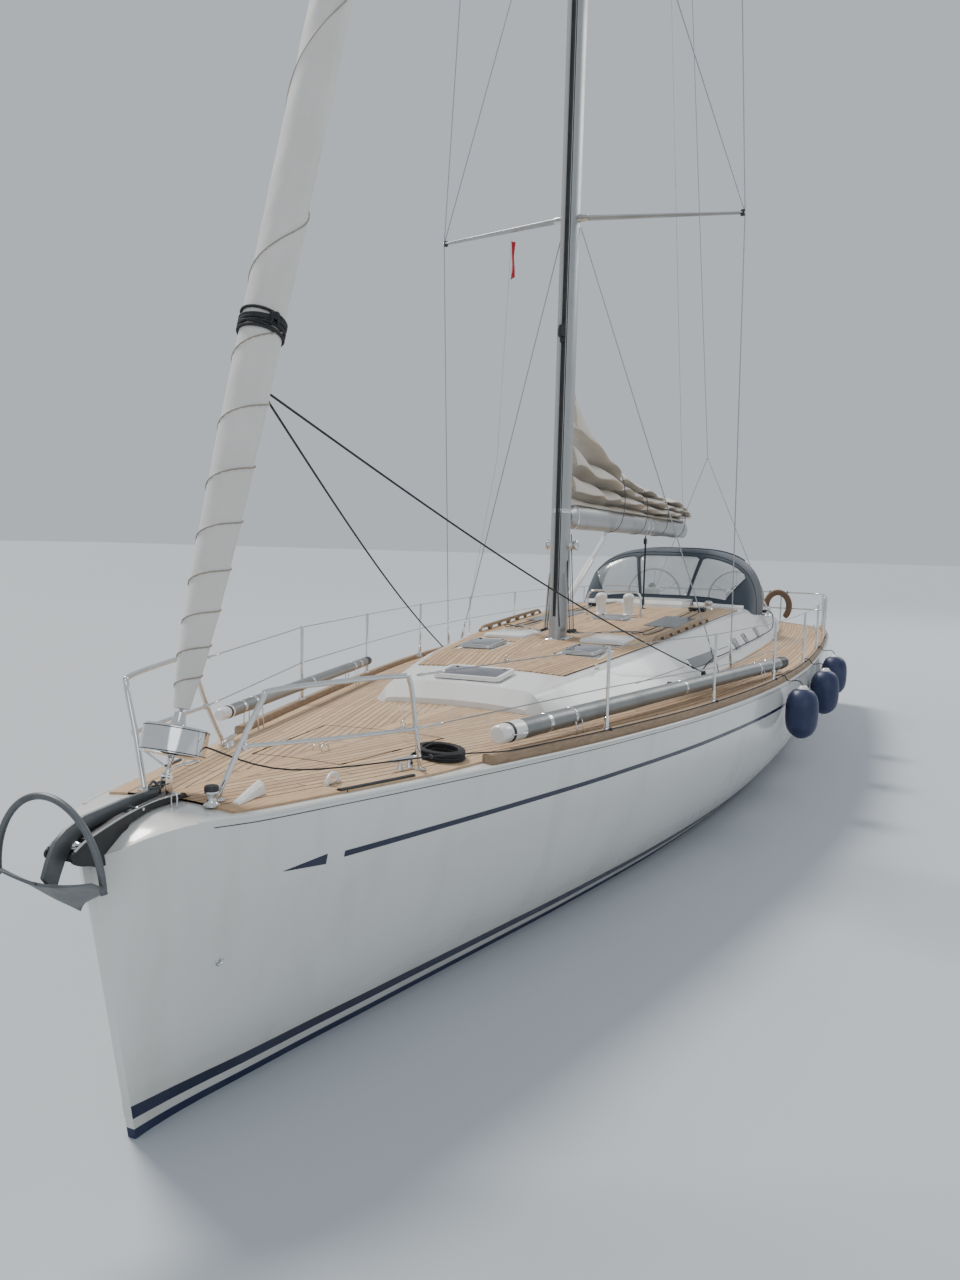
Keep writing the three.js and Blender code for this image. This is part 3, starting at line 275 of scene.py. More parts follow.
hull_gelcoat = gelcoat_finish("hull_gelcoat", (0.74, 0.745, 0.72), (0.52, 0.51, 0.46), waterline=True)
deck_gelcoat = gelcoat_finish("deck_gelcoat", (0.83, 0.83, 0.81), (0.62, 0.61, 0.57))
vent_white = gelcoat_finish("vent_white", (0.86, 0.86, 0.83), (0.66, 0.65, 0.6))


def paint_finish(name, fresh, worn, roughness, wear_scale, bump):
    finish = Finish(name)
    wear = finish.speckle(wear_scale, 5).above(0.52, 0.35)
    finish.put(Base_Color=finish.colours(wear, fresh, worn), Roughness=roughness + wear * 0.12)
    return finish.relief(finish.speckle(wear_scale * 14, 3), bump)


navy_paint = paint_finish("navy_paint", (0.012, 0.017, 0.045), (0.022, 0.028, 0.062), 0.2, 3, 0.0003)
antifouling = paint_finish("antifouling", (0.012, 0.022, 0.065), (0.03, 0.042, 0.085), 0.75, 4, 0.0012)
keel_coat = paint_finish("keel_coat", (0.015, 0.022, 0.05), (0.04, 0.045, 0.06), 0.65, 5, 0.002)
black_plastic = paint_finish("black_plastic", (0.012, 0.012, 0.013), (0.03, 0.03, 0.032), 0.38, 9, 0.0004)
print("gelcoat and paint ready")

# %% [markdown]
# ## Teak
# The laid deck's seams follow a number that each vertex keeps: its distance in from the deck's
# edge. White noise on the plank's own number gives each board its tone.

# %% Teak, laid and solid
PLANK = 0.048
CAULK = 0.007


def laid_teak(name):
    """Bare planks with black caulking. Each vertex keeps its distance in from the sprung edge."""
    finish = Finish(name)
    inward = finish.kept("inward") / PLANK
    plank = inward.whole()
    tone = finish.chance(plank)
    run = finish.along("X") / 2.3 + tone * 7
    board = finish.chance(plank * 17.3 + run.whole())
    seam = ((inward.part() - 0.5).size() * 2).above(1 - CAULK / PLANK, 0.02)
    butt = ((run.part() - 0.5).size() * 2).above(1 - CAULK / 2.3, 0.002)
    caulk = seam.most(butt)
    grain = finish.speckle(38, 6, (0.16, 1.6, 1.6), 0.65)
    wash = finish.speckle(0.8, 4)
    pale = finish.colours(board, (0.45, 0.275, 0.145), (0.62, 0.42, 0.24))
    greyed = finish.colours(wash.above(0.5, 0.5) * 0.35, pale, (0.5, 0.4, 0.29))
    wood = finish.colours(grain.above(0.55, 0.28) * 0.5, greyed, (0.3, 0.185, 0.095))
    finish.put(
        Base_Color=finish.colours(caulk, wood, (0.01, 0.009, 0.009)),
        Roughness=0.72 - caulk * 0.3 - wash * 0.08,
    )
    return finish.relief(grain * 0.35 + (1 - caulk), 0.0012, 0.8)


deck_planks_finish = laid_teak("deck_planks")


def solid_teak(name, light, dark):
    finish = Finish(name)
    grain = finish.speckle(30, 6, (0.14, 1.5, 1.5), 0.65)
    wash = finish.speckle(1.4, 4)
    tone = (grain.above(0.52, 0.4) * 0.7 + wash * 0.4).least(1)
    finish.put(Base_Color=finish.colours(tone, light, dark), Roughness=0.62 + wash * 0.2)
    return finish.relief(grain, 0.0008, 0.7)


rail_teak = solid_teak("rail_teak", (0.38, 0.27, 0.175), (0.23, 0.16, 0.1))
print("teak ready")

# %% [markdown]
# ## Metals
# A metal shows little but what it reflects, so the interest lies in its roughness. Rubbing marks
# and dull spots raise it a little.

# %% Metals
def metal_finish(name, colour, dull, roughness, rub_scale, metallic=1, bump=0.0002):
    finish = Finish(name, Metallic=metallic)
    rub = finish.speckle(rub_scale, 5, (1, 1, 3))
    spots = finish.speckle(rub_scale * 0.3, 4).above(0.6, 0.25)
    finish.put(
        Base_Color=finish.colours(rub * 0.4 + spots * 0.4, colour, dull),
        Roughness=roughness + rub * 0.1 + spots * 0.08,
    )
    return finish.relief(rub, bump, 0.5)


polished = metal_finish("polished_steel", (0.78, 0.78, 0.77), (0.58, 0.585, 0.58), 0.07, 14)
spar_alloy = metal_finish("spar_alloy", (0.44, 0.45, 0.45), (0.33, 0.34, 0.34), 0.34, 8, 0.75)
pole_alloy = metal_finish("pole_alloy", (0.3, 0.305, 0.3), (0.2, 0.205, 0.2), 0.36, 8, 0.7)
frame_alloy = metal_finish("frame_alloy", (0.6, 0.61, 0.61), (0.45, 0.46, 0.46), 0.3, 20, 0.85)
galvanised = metal_finish("galvanised", (0.17, 0.18, 0.185), (0.09, 0.095, 0.1), 0.45, 24, 0.7, 0.0015)
bronze = metal_finish("bronze", (0.42, 0.28, 0.12), (0.24, 0.17, 0.08), 0.3, 16)
print("metals ready")

# %% [markdown]
# ## Wire and rope
# Twisted strands show as slanting grooves, and the grooves are painted a darker colour as shade. A
# sine of all three coordinates draws them on any line, whichever way it runs.

# %% Wire and rope
def strand_finish(name, colour, groove_shade, lay, metallic, roughness):
    """Twisted strands: diagonal grooves round a rope or a wire."""
    finish = Finish(name, Metallic=metallic)
    turn = (finish.along("X") + finish.along("Y") * 0.7 + finish.along("Z") * 1.3) * (6.283 / lay)
    groove = (turn.wave() * 0.5 + 0.5).above(0.35, 0.5)
    fuzz = finish.speckle(260, 3)
    # The grooves get the darker colour: painted shade between the strands.
    finish.put(Base_Color=finish.colours(groove * 0.8 + fuzz * 0.2, groove_shade, colour),
               Roughness=roughness + fuzz * 0.1)
    return finish.relief(groove + fuzz * 0.3, 0.0006, 0.6)


# The second colour of each is painted shade in the grooves between strands.
strand_wire = strand_finish("strand_wire", (0.5, 0.51, 0.52), (0.2, 0.2, 0.21), 0.012, 1, 0.28)
black_rope = strand_finish("black_rope", (0.035, 0.036, 0.04), (0.008, 0.008, 0.009), 0.011, 0, 0.75)
white_rope = strand_finish("white_rope", (0.62, 0.61, 0.57), (0.3, 0.29, 0.27), 0.012, 0, 0.8)
print("wire and rope ready")

# %% [markdown]
# ## Cloth, vinyl and acrylic
# Cloth is a weave seen from afar: crossed sines give the threads, and slow noise gives wrinkles
# and stains. Its colour is also painted darker between the threads and along the wrinkles, as
# shade. Acrylic is nearly black, with dust under a clear coat.

# %% Cloth, vinyl and acrylic
def weave_finish(name, colour, shade, thread, roughness, blotch=0.4, bump=0.0004, sheen=0.15):
    finish = Finish(name, Sheen_Weight=sheen)
    pitch = 6.283 / thread
    warp = (finish.along("X") * pitch).wave() * (finish.along("Z") * pitch).wave()
    weft = (finish.along("Y") * pitch).wave()
    cloth = (warp + weft) * 0.25 + 0.5
    cloud = finish.speckle(2.6, 5)
    folds = finish.speckle(9, 4, (0.5, 1.4, 1))
    # tone is partly stains from the slow cloud, and partly painted shade between the threads and in the
    # folds
    tone = (cloud.above(0.5, 0.6) * blotch + (1 - cloth) * 0.25 + folds * 0.2).least(1)
    finish.put(Base_Color=finish.colours(tone, colour, shade), Roughness=roughness + cloud * 0.08)
    return finish.relief(cloth * 0.4 + folds * 4, bump, 0.8)


# The second colour of each cloth stands for both its stains and its painted shade.
sailcloth = weave_finish("sailcloth", (0.74, 0.69, 0.6), (0.56, 0.5, 0.42), 0.004, 0.7)
headsail_cloth = weave_finish("headsail_cloth", (0.73, 0.715, 0.675), (0.57, 0.55, 0.51), 0.004, 0.66)
seam_taupe = weave_finish("seam_taupe", (0.36, 0.31, 0.25), (0.26, 0.22, 0.18), 0.004, 0.75)
canvas = weave_finish("canvas", (0.055, 0.072, 0.095), (0.03, 0.041, 0.056), 0.003, 0.8)
strap_grey = weave_finish("strap_grey", (0.2, 0.2, 0.2), (0.1, 0.1, 0.1), 0.004, 0.8)
pennant_red = weave_finish("pennant_red", (0.55, 0.02, 0.03), (0.35, 0.01, 0.02), 0.003, 0.75)
buoy_brown = weave_finish("buoy_brown", (0.19, 0.12, 0.075), (0.12, 0.075, 0.05), 0.005, 0.7)
fender_vinyl = paint_finish("fender_vinyl", (0.012, 0.022, 0.075), (0.032, 0.042, 0.105), 0.4, 6, 0.0008)
wheel_leather = weave_finish("wheel_leather", (0.5, 0.49, 0.46), (0.33, 0.32, 0.3), 0.006, 0.55)


def smoked(name, colour, haze, roughness=0.05, alpha=1):
    finish = Finish(name, Alpha=alpha, Coat_Weight=0.6, Coat_Roughness=0.03, Specular_IOR_Level=0.6)
    dust = finish.speckle(5, 5)
    fine = finish.speckle(160, 2)
    finish.put(Base_Color=finish.colours(dust.above(0.5, 0.5) * 0.6, colour, haze),
               Roughness=roughness + dust * 0.08 + fine * 0.03)
    return finish.relief(finish.speckle(7, 2), 0.0004, 0.4)


acrylic = smoked("smoked_acrylic", (0.035, 0.03, 0.042), (0.085, 0.078, 0.1))
window_glass = smoked("window_glass", (0.012, 0.013, 0.016), (0.035, 0.037, 0.042))
clear_vinyl = smoked("clear_vinyl", (0.3, 0.335, 0.35), (0.46, 0.49, 0.5), 0.1, 0.42)
solar_grey = smoked("solar_grey", (0.045, 0.05, 0.06), (0.12, 0.125, 0.135), 0.32)
print("cloth, vinyl and acrylic ready")

# %% [markdown]
# ## Which slot a finish fills
# The part has a slot for each of its materials, so that someone who uses it can change them all at
# once. A finish nearly always fills the same slot, so it is written down once for each of them.

# %% Slots
SLOTS = {
    "gelcoat": (hull_gelcoat, deck_gelcoat, vent_white),
    "navy_paint": (navy_paint,),
    "antifouling": (antifouling,),
    "teak": (deck_planks_finish, rail_teak),
    "steel": (polished, frame_alloy, wheel_leather),
    "spar": (spar_alloy, pole_alloy),
    "galvanized": (galvanised,),
    "wire": (strand_wire,),
    "black_fitting": (black_plastic, black_rope),
    "sailcloth": (sailcloth, headsail_cloth, seam_taupe, white_rope),
    "canvas": (canvas, strap_grey, pennant_red, buoy_brown),
    "fender_vinyl": (fender_vinyl,),
    "acrylic": (acrylic, window_glass, clear_vinyl, solar_grey),
}
for word, finishes in SLOTS.items():
    for finish in finishes:
        finish.slot = word
print("finishes", len(bpy.data.materials), "in", len(SLOTS), "slots")

# %% [markdown]
# ## Building blocks for shapes
# Most parts of a yacht are swept, turned or lofted. A Shape gathers such forms into one mesh: a
# loft over rings, a pipe along a route, a turned body, a block. Making it an object gives it a
# finish, rounds its edges if asked, and lets it ride on a body of the frame.

# %% Measures
def mix(a, b, f):
    return a + (b - a) * f


def clamp(value, low, high):
    return min(high, max(low, value))


def spread(low, high, steps):
    return [mix(low, high, i / steps) for i in range(steps + 1)]


def round_about(count):
    """Angles right round a circle."""
    return spread(0, 2 * pi, count)[:-1]


def xyz(x, y, z):
    return Vector((x, y, z))


def flowing(points, steps=6, closed=False):
    """A smooth route through points, as a Catmull-Rom curve."""
    points = [Vector(p) for p in points]
    count = len(points)
    spans = count if closed else count - 1
    route = []
    for i in range(spans):
        if closed:
            a, b, c, d = (points[(i + k - 1) % count] for k in range(4))
        else:
            a, b, c, d = (points[clamp(i + k - 1, 0, count - 1)] for k in range(4))
        for j in range(steps):
            t = j / steps
            route.append(0.5 * ((2 * b) + (c - a) * t + (2 * a - 5 * b + 4 * c - d) * t * t
                                + (3 * b - a - 3 * c + d) * t ** 3))
    if not closed:
        route.append(points[-1])
    return route


print("a smooth route through 3 points has", len(flowing([(0, 0, 0), (1, 0, 0), (1, 1, 0)])), "points")

# %% [markdown]
# ## Shapes
# A mesh is a list of points and a list of faces. This class gathers both, so that several simple
# forms can be added to one piece.

# %% Shapes
class Shape:
    """Points and faces of one piece, gathered from simple forms."""

    def __init__(self):
        self.points = []
        self.faces = []

    def add(self, points, faces):
        start = len(self.points)
        self.points += [Vector(p) for p in points]
        self.faces += [[start + i for i in face] for face in faces]
        return self

    def loft(self, rings, closed=True, caps=True):
        count = len(rings[0])
        faces = []
        for i in range(len(rings) - 1):
            for j in range(count if closed else count - 1):
                a, b = i * count + j, i * count + (j + 1) % count
                faces.append([a, b, b + count, a + count])
        if caps:
            faces.append(list(range(count))[::-1])
            faces.append([(len(rings) - 1) * count + j for j in range(count)])
        return self.add([p for ring in rings for p in ring], faces)

    def pipe(self, route, radius, sides=10, closed=False, flat=1):
        """A round tube along a route. The radius may be a list, one for each point."""
        route = [Vector(p) for p in route]
        last = len(route) - 1
        radii = radius if isinstance(radius, (list, tuple)) else [radius] * len(route)
        rings = []
        across = None
        for i, here in enumerate(route):
            if closed:
                ahead = (route[(i + 1) % len(route)] - route[i - 1]).normalized()
            else:
                ahead = (route[min(i + 1, last)] - route[max(i - 1, 0)]).normalized()
            if across is None:
                across = ahead.orthogonal().normalized()
            across = (across - ahead * across.dot(ahead)).normalized()
            third = ahead.cross(across)
            ring = []
            for k in range(sides):
                angle = 2 * pi * k / sides
                ring.append(here + (across * cos(angle) + third * (sin(angle) * flat)) * radii[i])
            rings.append(ring)
        if closed:
            return self.loft([*rings, rings[0]], caps=False)
        return self.loft(rings)

    def rod(self, a, b, radius, sides=12, end=None):
        return self.pipe([a, b], [radius, radius if end is None else end], sides)

    def turned(self, profile, place, sides=24, axis=(0, 0, 1)):
        """A body turned on an axis. The profile's rows are radius and distance along the axis."""
        axis = Vector(axis).normalized()
        across = axis.orthogonal().normalized()
        third = axis.cross(across)
        rings = []
        for radius, along in profile:
            centre = Vector(place) + axis * along
            ring = []
            for k in range(sides):
                angle = 2 * pi * k / sides
                ring.append(centre + (across * cos(angle) + third * sin(angle)) * max(radius, 1e-5))
            rings.append(ring)
        return self.loft(rings)

    def block(self, low, high, turn=None, centre=None):
        corners = [xyz(x, y, z) for x in (low[0], high[0]) for y in (low[1], high[1])
                   for z in (low[2], high[2])]
        if turn is not None:
            corners = [turn @ c + Vector(centre or (0, 0, 0)) for c in corners]
        return self.add(corners, [[0, 1, 3, 2], [4, 6, 7, 5], [0, 4, 5, 1], [2, 3, 7, 6], [0, 2, 6, 4],
                                  [1, 5, 7, 3]])

    def plate(self, outline, thickness):
        """A flat plate: an outline of points, thickened along a vector."""
        outline = [Vector(p) for p in outline]
        return self.loft([outline, [p + Vector(thickness) for p in outline]])

    def slab(self, xs, ys_at, low, high):
        """A layer between two heights, which are rules of x and y."""
        rings = []
        for x in xs:
            ys = ys_at(x)
            rings.append([xyz(x, y, high(x, y)) for y in ys] + [xyz(x, y, low(x, y)) for y in reversed(ys)])
        return self.loft(rings)

    def twin(self):
        """The same shape on the other side of the boat."""
        other = Shape()
        other.points = [xyz(p.x, -p.y, p.z) for p in self.points]
        other.faces = [face[::-1] for face in self.faces]
        return other

    def mesh(self, name, weld=2e-5):
        data = bpy.data.meshes.new(name)
        data.from_pydata([tuple(p) for p in self.points], [], self.faces)
        work = bmesh.new()
        work.from_mesh(data)
        bmesh.ops.remove_doubles(work, verts=work.verts, dist=weld)
        bmesh.ops.dissolve_degenerate(work, edges=work.edges, dist=1e-6)
        bmesh.ops.recalc_face_normals(work, faces=work.faces)
        work.to_mesh(data)
        work.free()
        return data

    def make(self, name, finish, body="boat", stands_for=(), slot=None, round_edge=0, crease=38):
        data = self.mesh(name)
        piece = bpy.data.objects.new(name, data)
        bpy.context.collection.objects.link(piece)
        return dress(piece, finish, body, stands_for, round_edge, crease)


print("shapes ready")

# %% [markdown]
# ## Dressing a piece
# A mesh becomes a piece of the boat when it has a finish, shading that breaks only at real edges
# and a body to ride on. A bevel modifier rounds its edges, so the mesh itself stays simple.

# %% Dressing a piece
def dress(piece, finish, body="boat", stands_for=(), round_edge=0, crease=38):
    """Finish, shading, edge rounding and the body a piece rides on."""
    data = piece.data
    data.materials.clear()
    data.materials.append(finish.material)
    data.polygons.foreach_set("use_smooth", [True] * len(data.polygons))
    data.set_sharp_from_angle(angle=math.radians(crease))
    if round_edge:
        bevel = piece.modifiers.new("edges", "BEVEL")
        bevel.width = round_edge
        bevel.segments = 2
        bevel.limit_method = "ANGLE"
        bevel.angle_limit = math.radians(crease)
    if body:
        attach(piece, body)
    if stands_for:
        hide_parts(*([stands_for] if isinstance(stands_for, str) else stands_for))
    return piece


SIDES = ((1, "port"), (-1, "starboard"))


def make_pair(shape, name, finish, stands_for="", **looks):
    """A piece of the port side, and its mirror image on the starboard side."""
    for word, half in (("port", shape), ("starboard", shape.twin())):
        node = stands_for + "_" + word if stands_for else ()
        half.make(name + "_" + word, finish, stands_for=node, **looks)


print("pieces can be dressed, alone or in pairs")

# %% [markdown]
# ## Carving
# Wells and openings are cut with a boolean, as a router would cut them. The result becomes the
# mesh, so that the cutting tools can be thrown away.

# %% Carving
def carve(piece, cutters):
    """Cuts shapes out of a piece and keeps the result as its mesh."""
    for cutter in cutters:
        tool = bpy.data.objects.new("cutter", cutter.mesh("cutter"))
        bpy.context.collection.objects.link(tool)
        cut = piece.modifiers.new("cut", "BOOLEAN")
        cut.operation = "DIFFERENCE"
        cut.solver = "EXACT"
        cut.object = tool
        graph = bpy.context.evaluated_depsgraph_get()
        result = bpy.data.meshes.new_from_object(piece.evaluated_get(graph))
        piece.modifiers.remove(cut)
        piece.data = result
        bpy.data.objects.remove(tool)
    return piece


def bare(name, shape):
    piece = bpy.data.objects.new(name, shape.mesh(name))
    bpy.context.collection.objects.link(piece)
    return piece


def box(x0, x1, y0, y1, z0, z1):
    return Shape().block((x0, y0, z0), (x1, y1, z1))


def keep_at_vertices(piece, name, rule):
    """Stores a number at each vertex, worked out from where the vertex is."""
    data = piece.data
    numbers = data.attributes.new(name, "FLOAT", "POINT")
    numbers.data.foreach_set("value", [rule(v.co) for v in data.vertices])


print("carving ready")

# %% [markdown]
# ## The floor
# The floor is one large sheet at the height of the water. It is stage and not part of the boat.

# %% The floor
water = Shape().add([(-260, -260, 0), (260, -260, 0), (260, 260, 0), (-260, 260, 0)], [[0, 1, 2, 3]])
floor = bare("floor", water)
floor_finish = Finish("floor_finish", Roughness=0.8)
floor_shade = floor_finish.speckle(0.4, 3)
floor_finish.put(Base_Color=floor_finish.colours(floor_shade * 0.4, (0.475, 0.505, 0.535),
                                                 (0.44, 0.47, 0.5)))
floor.data.materials.append(floor_finish.material)
print("stage ready")

# %% [markdown]
# ## The hull's lines
# A hull is designed as a table of stations: how wide the deck is, how high its edge stands, how
# deep the bottom lies and how full the section is. A cubic through each column fairs it. These are
# the same numbers that the frame was made from, in metres, so a finer skin lies on the same form.

# %% Hull lines
STEM_AT_WATER = 7.63
STEM_RAKE = 0.18
STEM_HALF = 0.022
TRANSOM_FOOT = (-7.9, 0.15)
TRANSOM_RAKE = 0.339
CAMBER = 0.065
PAINT_TOP = 0.052
# x at the deck edge, half beam, deck edge, bottom, fullness of the bilge, fullness of the side
STATIONS = [
    (-7.5, 2.06, 1.33, 0.15, 2.1, 2),
    (-6.57, 2.162, 1.33, -0.07, 2.4, 1.7),
    (-5.17, 2.241, 1.33, -0.36, 2.7, 1.45),
    (-3.17, 2.265, 1.33, -0.61, 2.9, 1.2),
    (-1.17, 2.226, 1.33, -0.7, 2.9, 1.2),
    (0.83, 2.053, 1.33, -0.675, 2.7, 1.4),
    (2.73, 1.717, 1.336, -0.605, 2.3, 1.75),
    (4.33, 1.325, 1.361, -0.5, 1.9, 2.05),
    (5.43, 1.012, 1.39, -0.41, 1.6, 2.15),
    (6.36, 0.73, 1.422, -0.312, 1.4, 2.05),
    (6.88, 0.568, 1.443, -0.225, 1.3, 1.9),
    (7.3, 0.435, 1.461, -0.15, 1.25, 1.64),
    (7.57, 0.315, 1.474, -0.1, 1.2, 1.35),
    (7.72, 0.212, 1.444, -0.06, 1.2, 1.2),
    (7.815, 0.115, 1.396, -0.03, 1.2, 1.14),
    (7.875, 0.026, 1.365, 0, 1.2, 1.1),
]
print("hull stations", len(STATIONS))

# %% [markdown]
# ## Fair curves
# A batten bent through the stations gives the real hull its fairness. Here a cubic does so.
# Straight lines are kept for the coachroof, which is built from flat panels.

# %% Fair curves
def fair(table, column, x):
    """A cubic curve through one column of a table whose first column rises."""
    last = len(table) - 1
    x = clamp(x, table[0][0], table[last][0])
    i = 0
    while i < last - 1 and x > table[i + 1][0]:
        i += 1

    def slope(j):
        before, after = table[max(j - 1, 0)], table[min(j + 1, last)]
        return (after[column] - before[column]) / (after[0] - before[0])

    width = table[i + 1][0] - table[i][0]
    f = (x - table[i][0]) / width
    p, q = table[i][column], table[i + 1][column]
    m, n = slope(i) * width, slope(i + 1) * width
    return ((2 * f ** 3 - 3 * f ** 2 + 1) * p + (f ** 3 - 2 * f ** 2 + f) * m
            + (3 * f ** 2 - 2 * f ** 3) * q + (f ** 3 - f ** 2) * n)


def straight(table, column, x):
    """Straight lines through one column of a table."""
    x = clamp(x, table[0][0], table[-1][0])
    for before, after in zip(table, table[1:]):
        if x <= after[0]:
            return mix(before[column], after[column], (x - before[0]) / (after[0] - before[0]))


def half_beam(x):
    return fair(STATIONS, 1, x)


def deck_edge(x):
    return fair(STATIONS, 2, x)


def deck_z(x, y):
    beam = half_beam(x)
    return deck_edge(x) + CAMBER * beam * (1 - clamp(y / beam, -1, 1) ** 2)


def edge_x(t):
    return mix(STATIONS[0][0], STATIONS[-1][0], t)


def station_x(t, z):
    transom = TRANSOM_FOOT[0] + TRANSOM_RAKE * (z - TRANSOM_FOOT[1])
    return mix(transom, STEM_AT_WATER + STEM_RAKE * z, t)


def breadth(t, z):
    """Half breadth of the hull at a station t, 0 at the transom and 1 at the stem."""
    x = edge_x(t)
    top, bottom = deck_edge(x), fair(STATIONS, 3, x)
    u = clamp((z - bottom) / (top - bottom), 0, 1)
    bilge, side = fair(STATIONS, 4, x), fair(STATIONS, 5, x)
    return STEM_HALF + (half_beam(x) - STEM_HALF) * (1 - (1 - u) ** bilge) ** (1 / side)


def station_t(x, z):
    """The station whose section passes x at a height z."""
    aft, fore = station_x(0, z), station_x(1, z)
    return clamp((x - aft) / (fore - aft), 0, 1)


print("half beam amidships", round(half_beam(0), 3))

# %% [markdown]
# ## Sections
# A section is a ring of points: up the port side, over the deck and down the starboard side. They
# lie closer towards the stem, where the shape turns most.

# %% Sections
HULL_STATIONS = [1 - (1 - i / 72) ** 1.5 for i in range(73)]


def side_points(t, low, high, steps, proud=0):
    points = []
    for z in spread(low, high, steps):
        points.append(xyz(station_x(t, z) + proud * t, breadth(t, z) + proud, z))
    return points


def hull_ring(t, low, high, steps, over_deck):
    x = edge_x(t)
    port = side_points(t, low, high, steps)
    starboard = [xyz(p.x, -p.y, p.z) for p in port][::-1]
    middle = []
    if over_deck:
        beam = half_beam(x)
        for k in range(1, 16):
            y = beam * (1 - 2 * k / 16)
            middle.append(xyz(x, y, deck_z(x, y)))
    return [*port, *middle, *starboard]


topside_rings = []
bottom_rings = []
for t in HULL_STATIONS:
    bottom, top = fair(STATIONS, 3, edge_x(t)), deck_edge(edge_x(t))
    topside_rings.append(hull_ring(t, max(bottom, PAINT_TOP), top, 22, True))
    if bottom < PAINT_TOP - 0.004:
        bottom_rings.append(hull_ring(t, bottom, PAINT_TOP - 0.0003, 18, False))
print("hull rings", len(topside_rings), "above the paint,", len(bottom_rings), "below")

# %% [markdown]
# ## Hull, wells and stripes
# The topsides are one moulding with the cockpit, so the wells are cut out of it: footwell, helm
# well, seat recess, lockers and the way down. The boot top and the cove stripe are painted bands.
# Each is a thin closed strip laid on the same surface, so its edge stays crisp at any distance.

# %% Hull
BULKHEAD = -3.95
SOLE, HELM_SOLE, SEAT_Z = 0.9, 1.06, 1.29
SEAT_HALF = 1.17
HELM_AFT, FOOTWELL_AFT = -7.12, -5.45
LOCKER = ((5.33, 0.43), (6.33, 0.28))
LOCKER_GAP = 0.013


def locker_prism(margin, low, high):
    (aft, wide), (fore, slim) = LOCKER
    outline = [(aft - margin, wide + margin, low), (aft - margin, -wide - margin, low),
               (fore + margin, -slim - margin, low), (fore + margin, slim + margin, low)]
    return Shape().plate(outline, (0, 0, high - low))


cockpit_cutters = [
    box(FOOTWELL_AFT - 0.01, BULKHEAD, -0.45, 0.45, SOLE, 1.9),
    box(HELM_AFT, FOOTWELL_AFT, -1.1, 1.1, HELM_SOLE, 1.9),
    box(HELM_AFT - 0.001, BULKHEAD + 0.0005, -SEAT_HALF, SEAT_HALF, SEAT_Z, 1.9),
]
way_down = box(BULKHEAD - 0.01, -3.4, -0.3, 0.3, SOLE + 0.15, 2)
hull_cutters = [
    *cockpit_cutters,
    way_down,
    box(-5.28, -4.13, 0.55, 1.03, 1, 1.4),
    box(-5.28, -4.13, -1.03, -0.55, 1, 1.4),
    locker_prism(-0.035, 1.05, 1.7),
    locker_prism(LOCKER_GAP, 1.406, 1.7),
    Shape().rod((-6.6, 0, -0.4), (-6.6, 0, 0.2), 0.048, 24),
]
topsides = carve(bare("topsides", Shape().loft(topside_rings)), hull_cutters)
dress(topsides, hull_gelcoat, stands_for="hull_topsides", crease=30)
underbody = carve(bare("underbody", Shape().loft(bottom_rings)), [hull_cutters[-1]])
dress(underbody, antifouling, stands_for="hull_underbody", crease=30)
print("hull faces", len(topsides.data.polygons), len(underbody.data.polygons))

# %% [markdown]
# ## Painted bands
# Masked paint has an edge that a shader can't keep crisp at every distance, so each stripe is a
# thin strip laid on the hull. The cove stripe starts in an arrow behind a gap.

# %% Stripes
BOOT_LOW, BOOT_HIGH, BOOT_RISE = 0.106, 0.17, 0.19
COVE_DROP, COVE_WIDTH, COVE_FORE = 0.24, 0.032, 6.75
PAINT_PROUD = 0.0016


def band(name, x_aft, x_fore, lower, upper, side, stands_for=(), steps=150, finish=navy_paint):
    """A painted strip on one side, between two heights that depend on x."""
    rings = []
    for x in spread(x_aft, x_fore, steps):
        ring = []
        for level, proud in ((lower(x), PAINT_PROUD), (upper(x), PAINT_PROUD), (upper(x), -0.003),
                             (lower(x), -0.003)):
            t = station_t(x, level)
            point = xyz(station_x(t, level), breadth(t, level) + proud, level)
            ring.append(xyz(point.x, side * point.y, point.z))
        rings.append(ring)
    Shape().loft(rings).make(name, finish, stands_for=stands_for)


def boot_low(x):
    return BOOT_LOW + BOOT_RISE * clamp((-4.4 - x) / 3, 0, 1) ** 1.6


def boot_high(x):
    return boot_low(x) + BOOT_HIGH - BOOT_LOW


def cove_middle(x):
    return deck_edge(x) - COVE_DROP - 0.0022 * max(x - 1.5, 0) ** 2


band("boot_stripe_p", -7.15, 7.66, boot_low, boot_high, 1, "boot_stripe")
band("boot_stripe_s", -7.15, 7.66, boot_low, boot_high, -1)
ARROW_TIP, ARROW_TAIL, ARROW_NIB, ARROW_FLARE = 7.115, 6.86, 0.001, 0.026


def arrow_half(x):
    return ARROW_NIB + ARROW_FLARE * (ARROW_TIP - x) / (ARROW_TIP - ARROW_TAIL)


for side, word in SIDES:
    band("cove_" + word, -7.05, COVE_FORE, lambda x: cove_middle(x) - COVE_WIDTH / 2,
         lambda x: cove_middle(x) + COVE_WIDTH / 2, side, "cove_stripe_" + word)
    band("cove_arrow_" + word, ARROW_TAIL, ARROW_TIP, lambda x: cove_middle(x) - arrow_half(x),
         lambda x: cove_middle(x) + arrow_half(x), side, steps=12)
print("stripes done")

# %% [markdown]
# ## Keel, rudder and drive
# Below the water the yacht has a cast iron fin with a flat-soled bulb, a spade rudder and a
# saildrive with a three-bladed propeller. They are castings and mouldings, so the frame's own
# forms stay and only get a finish: a rougher, patchier coat on iron than on the hull.

# %% Foils and drive
def repaint(node, finish):
    """Keeps a node of the frame as it is and gives it a finish."""
    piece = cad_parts[node]
    piece.data.materials.clear()
    piece.data.materials.append(finish.material)


for node, finish in (("keel_fin", keel_coat), ("keel_bulb", keel_coat), ("rudder", antifouling),
                     ("saildrive", antifouling), ("propeller", bronze)):
    repaint(node, finish)
print("underwater parts repainted")

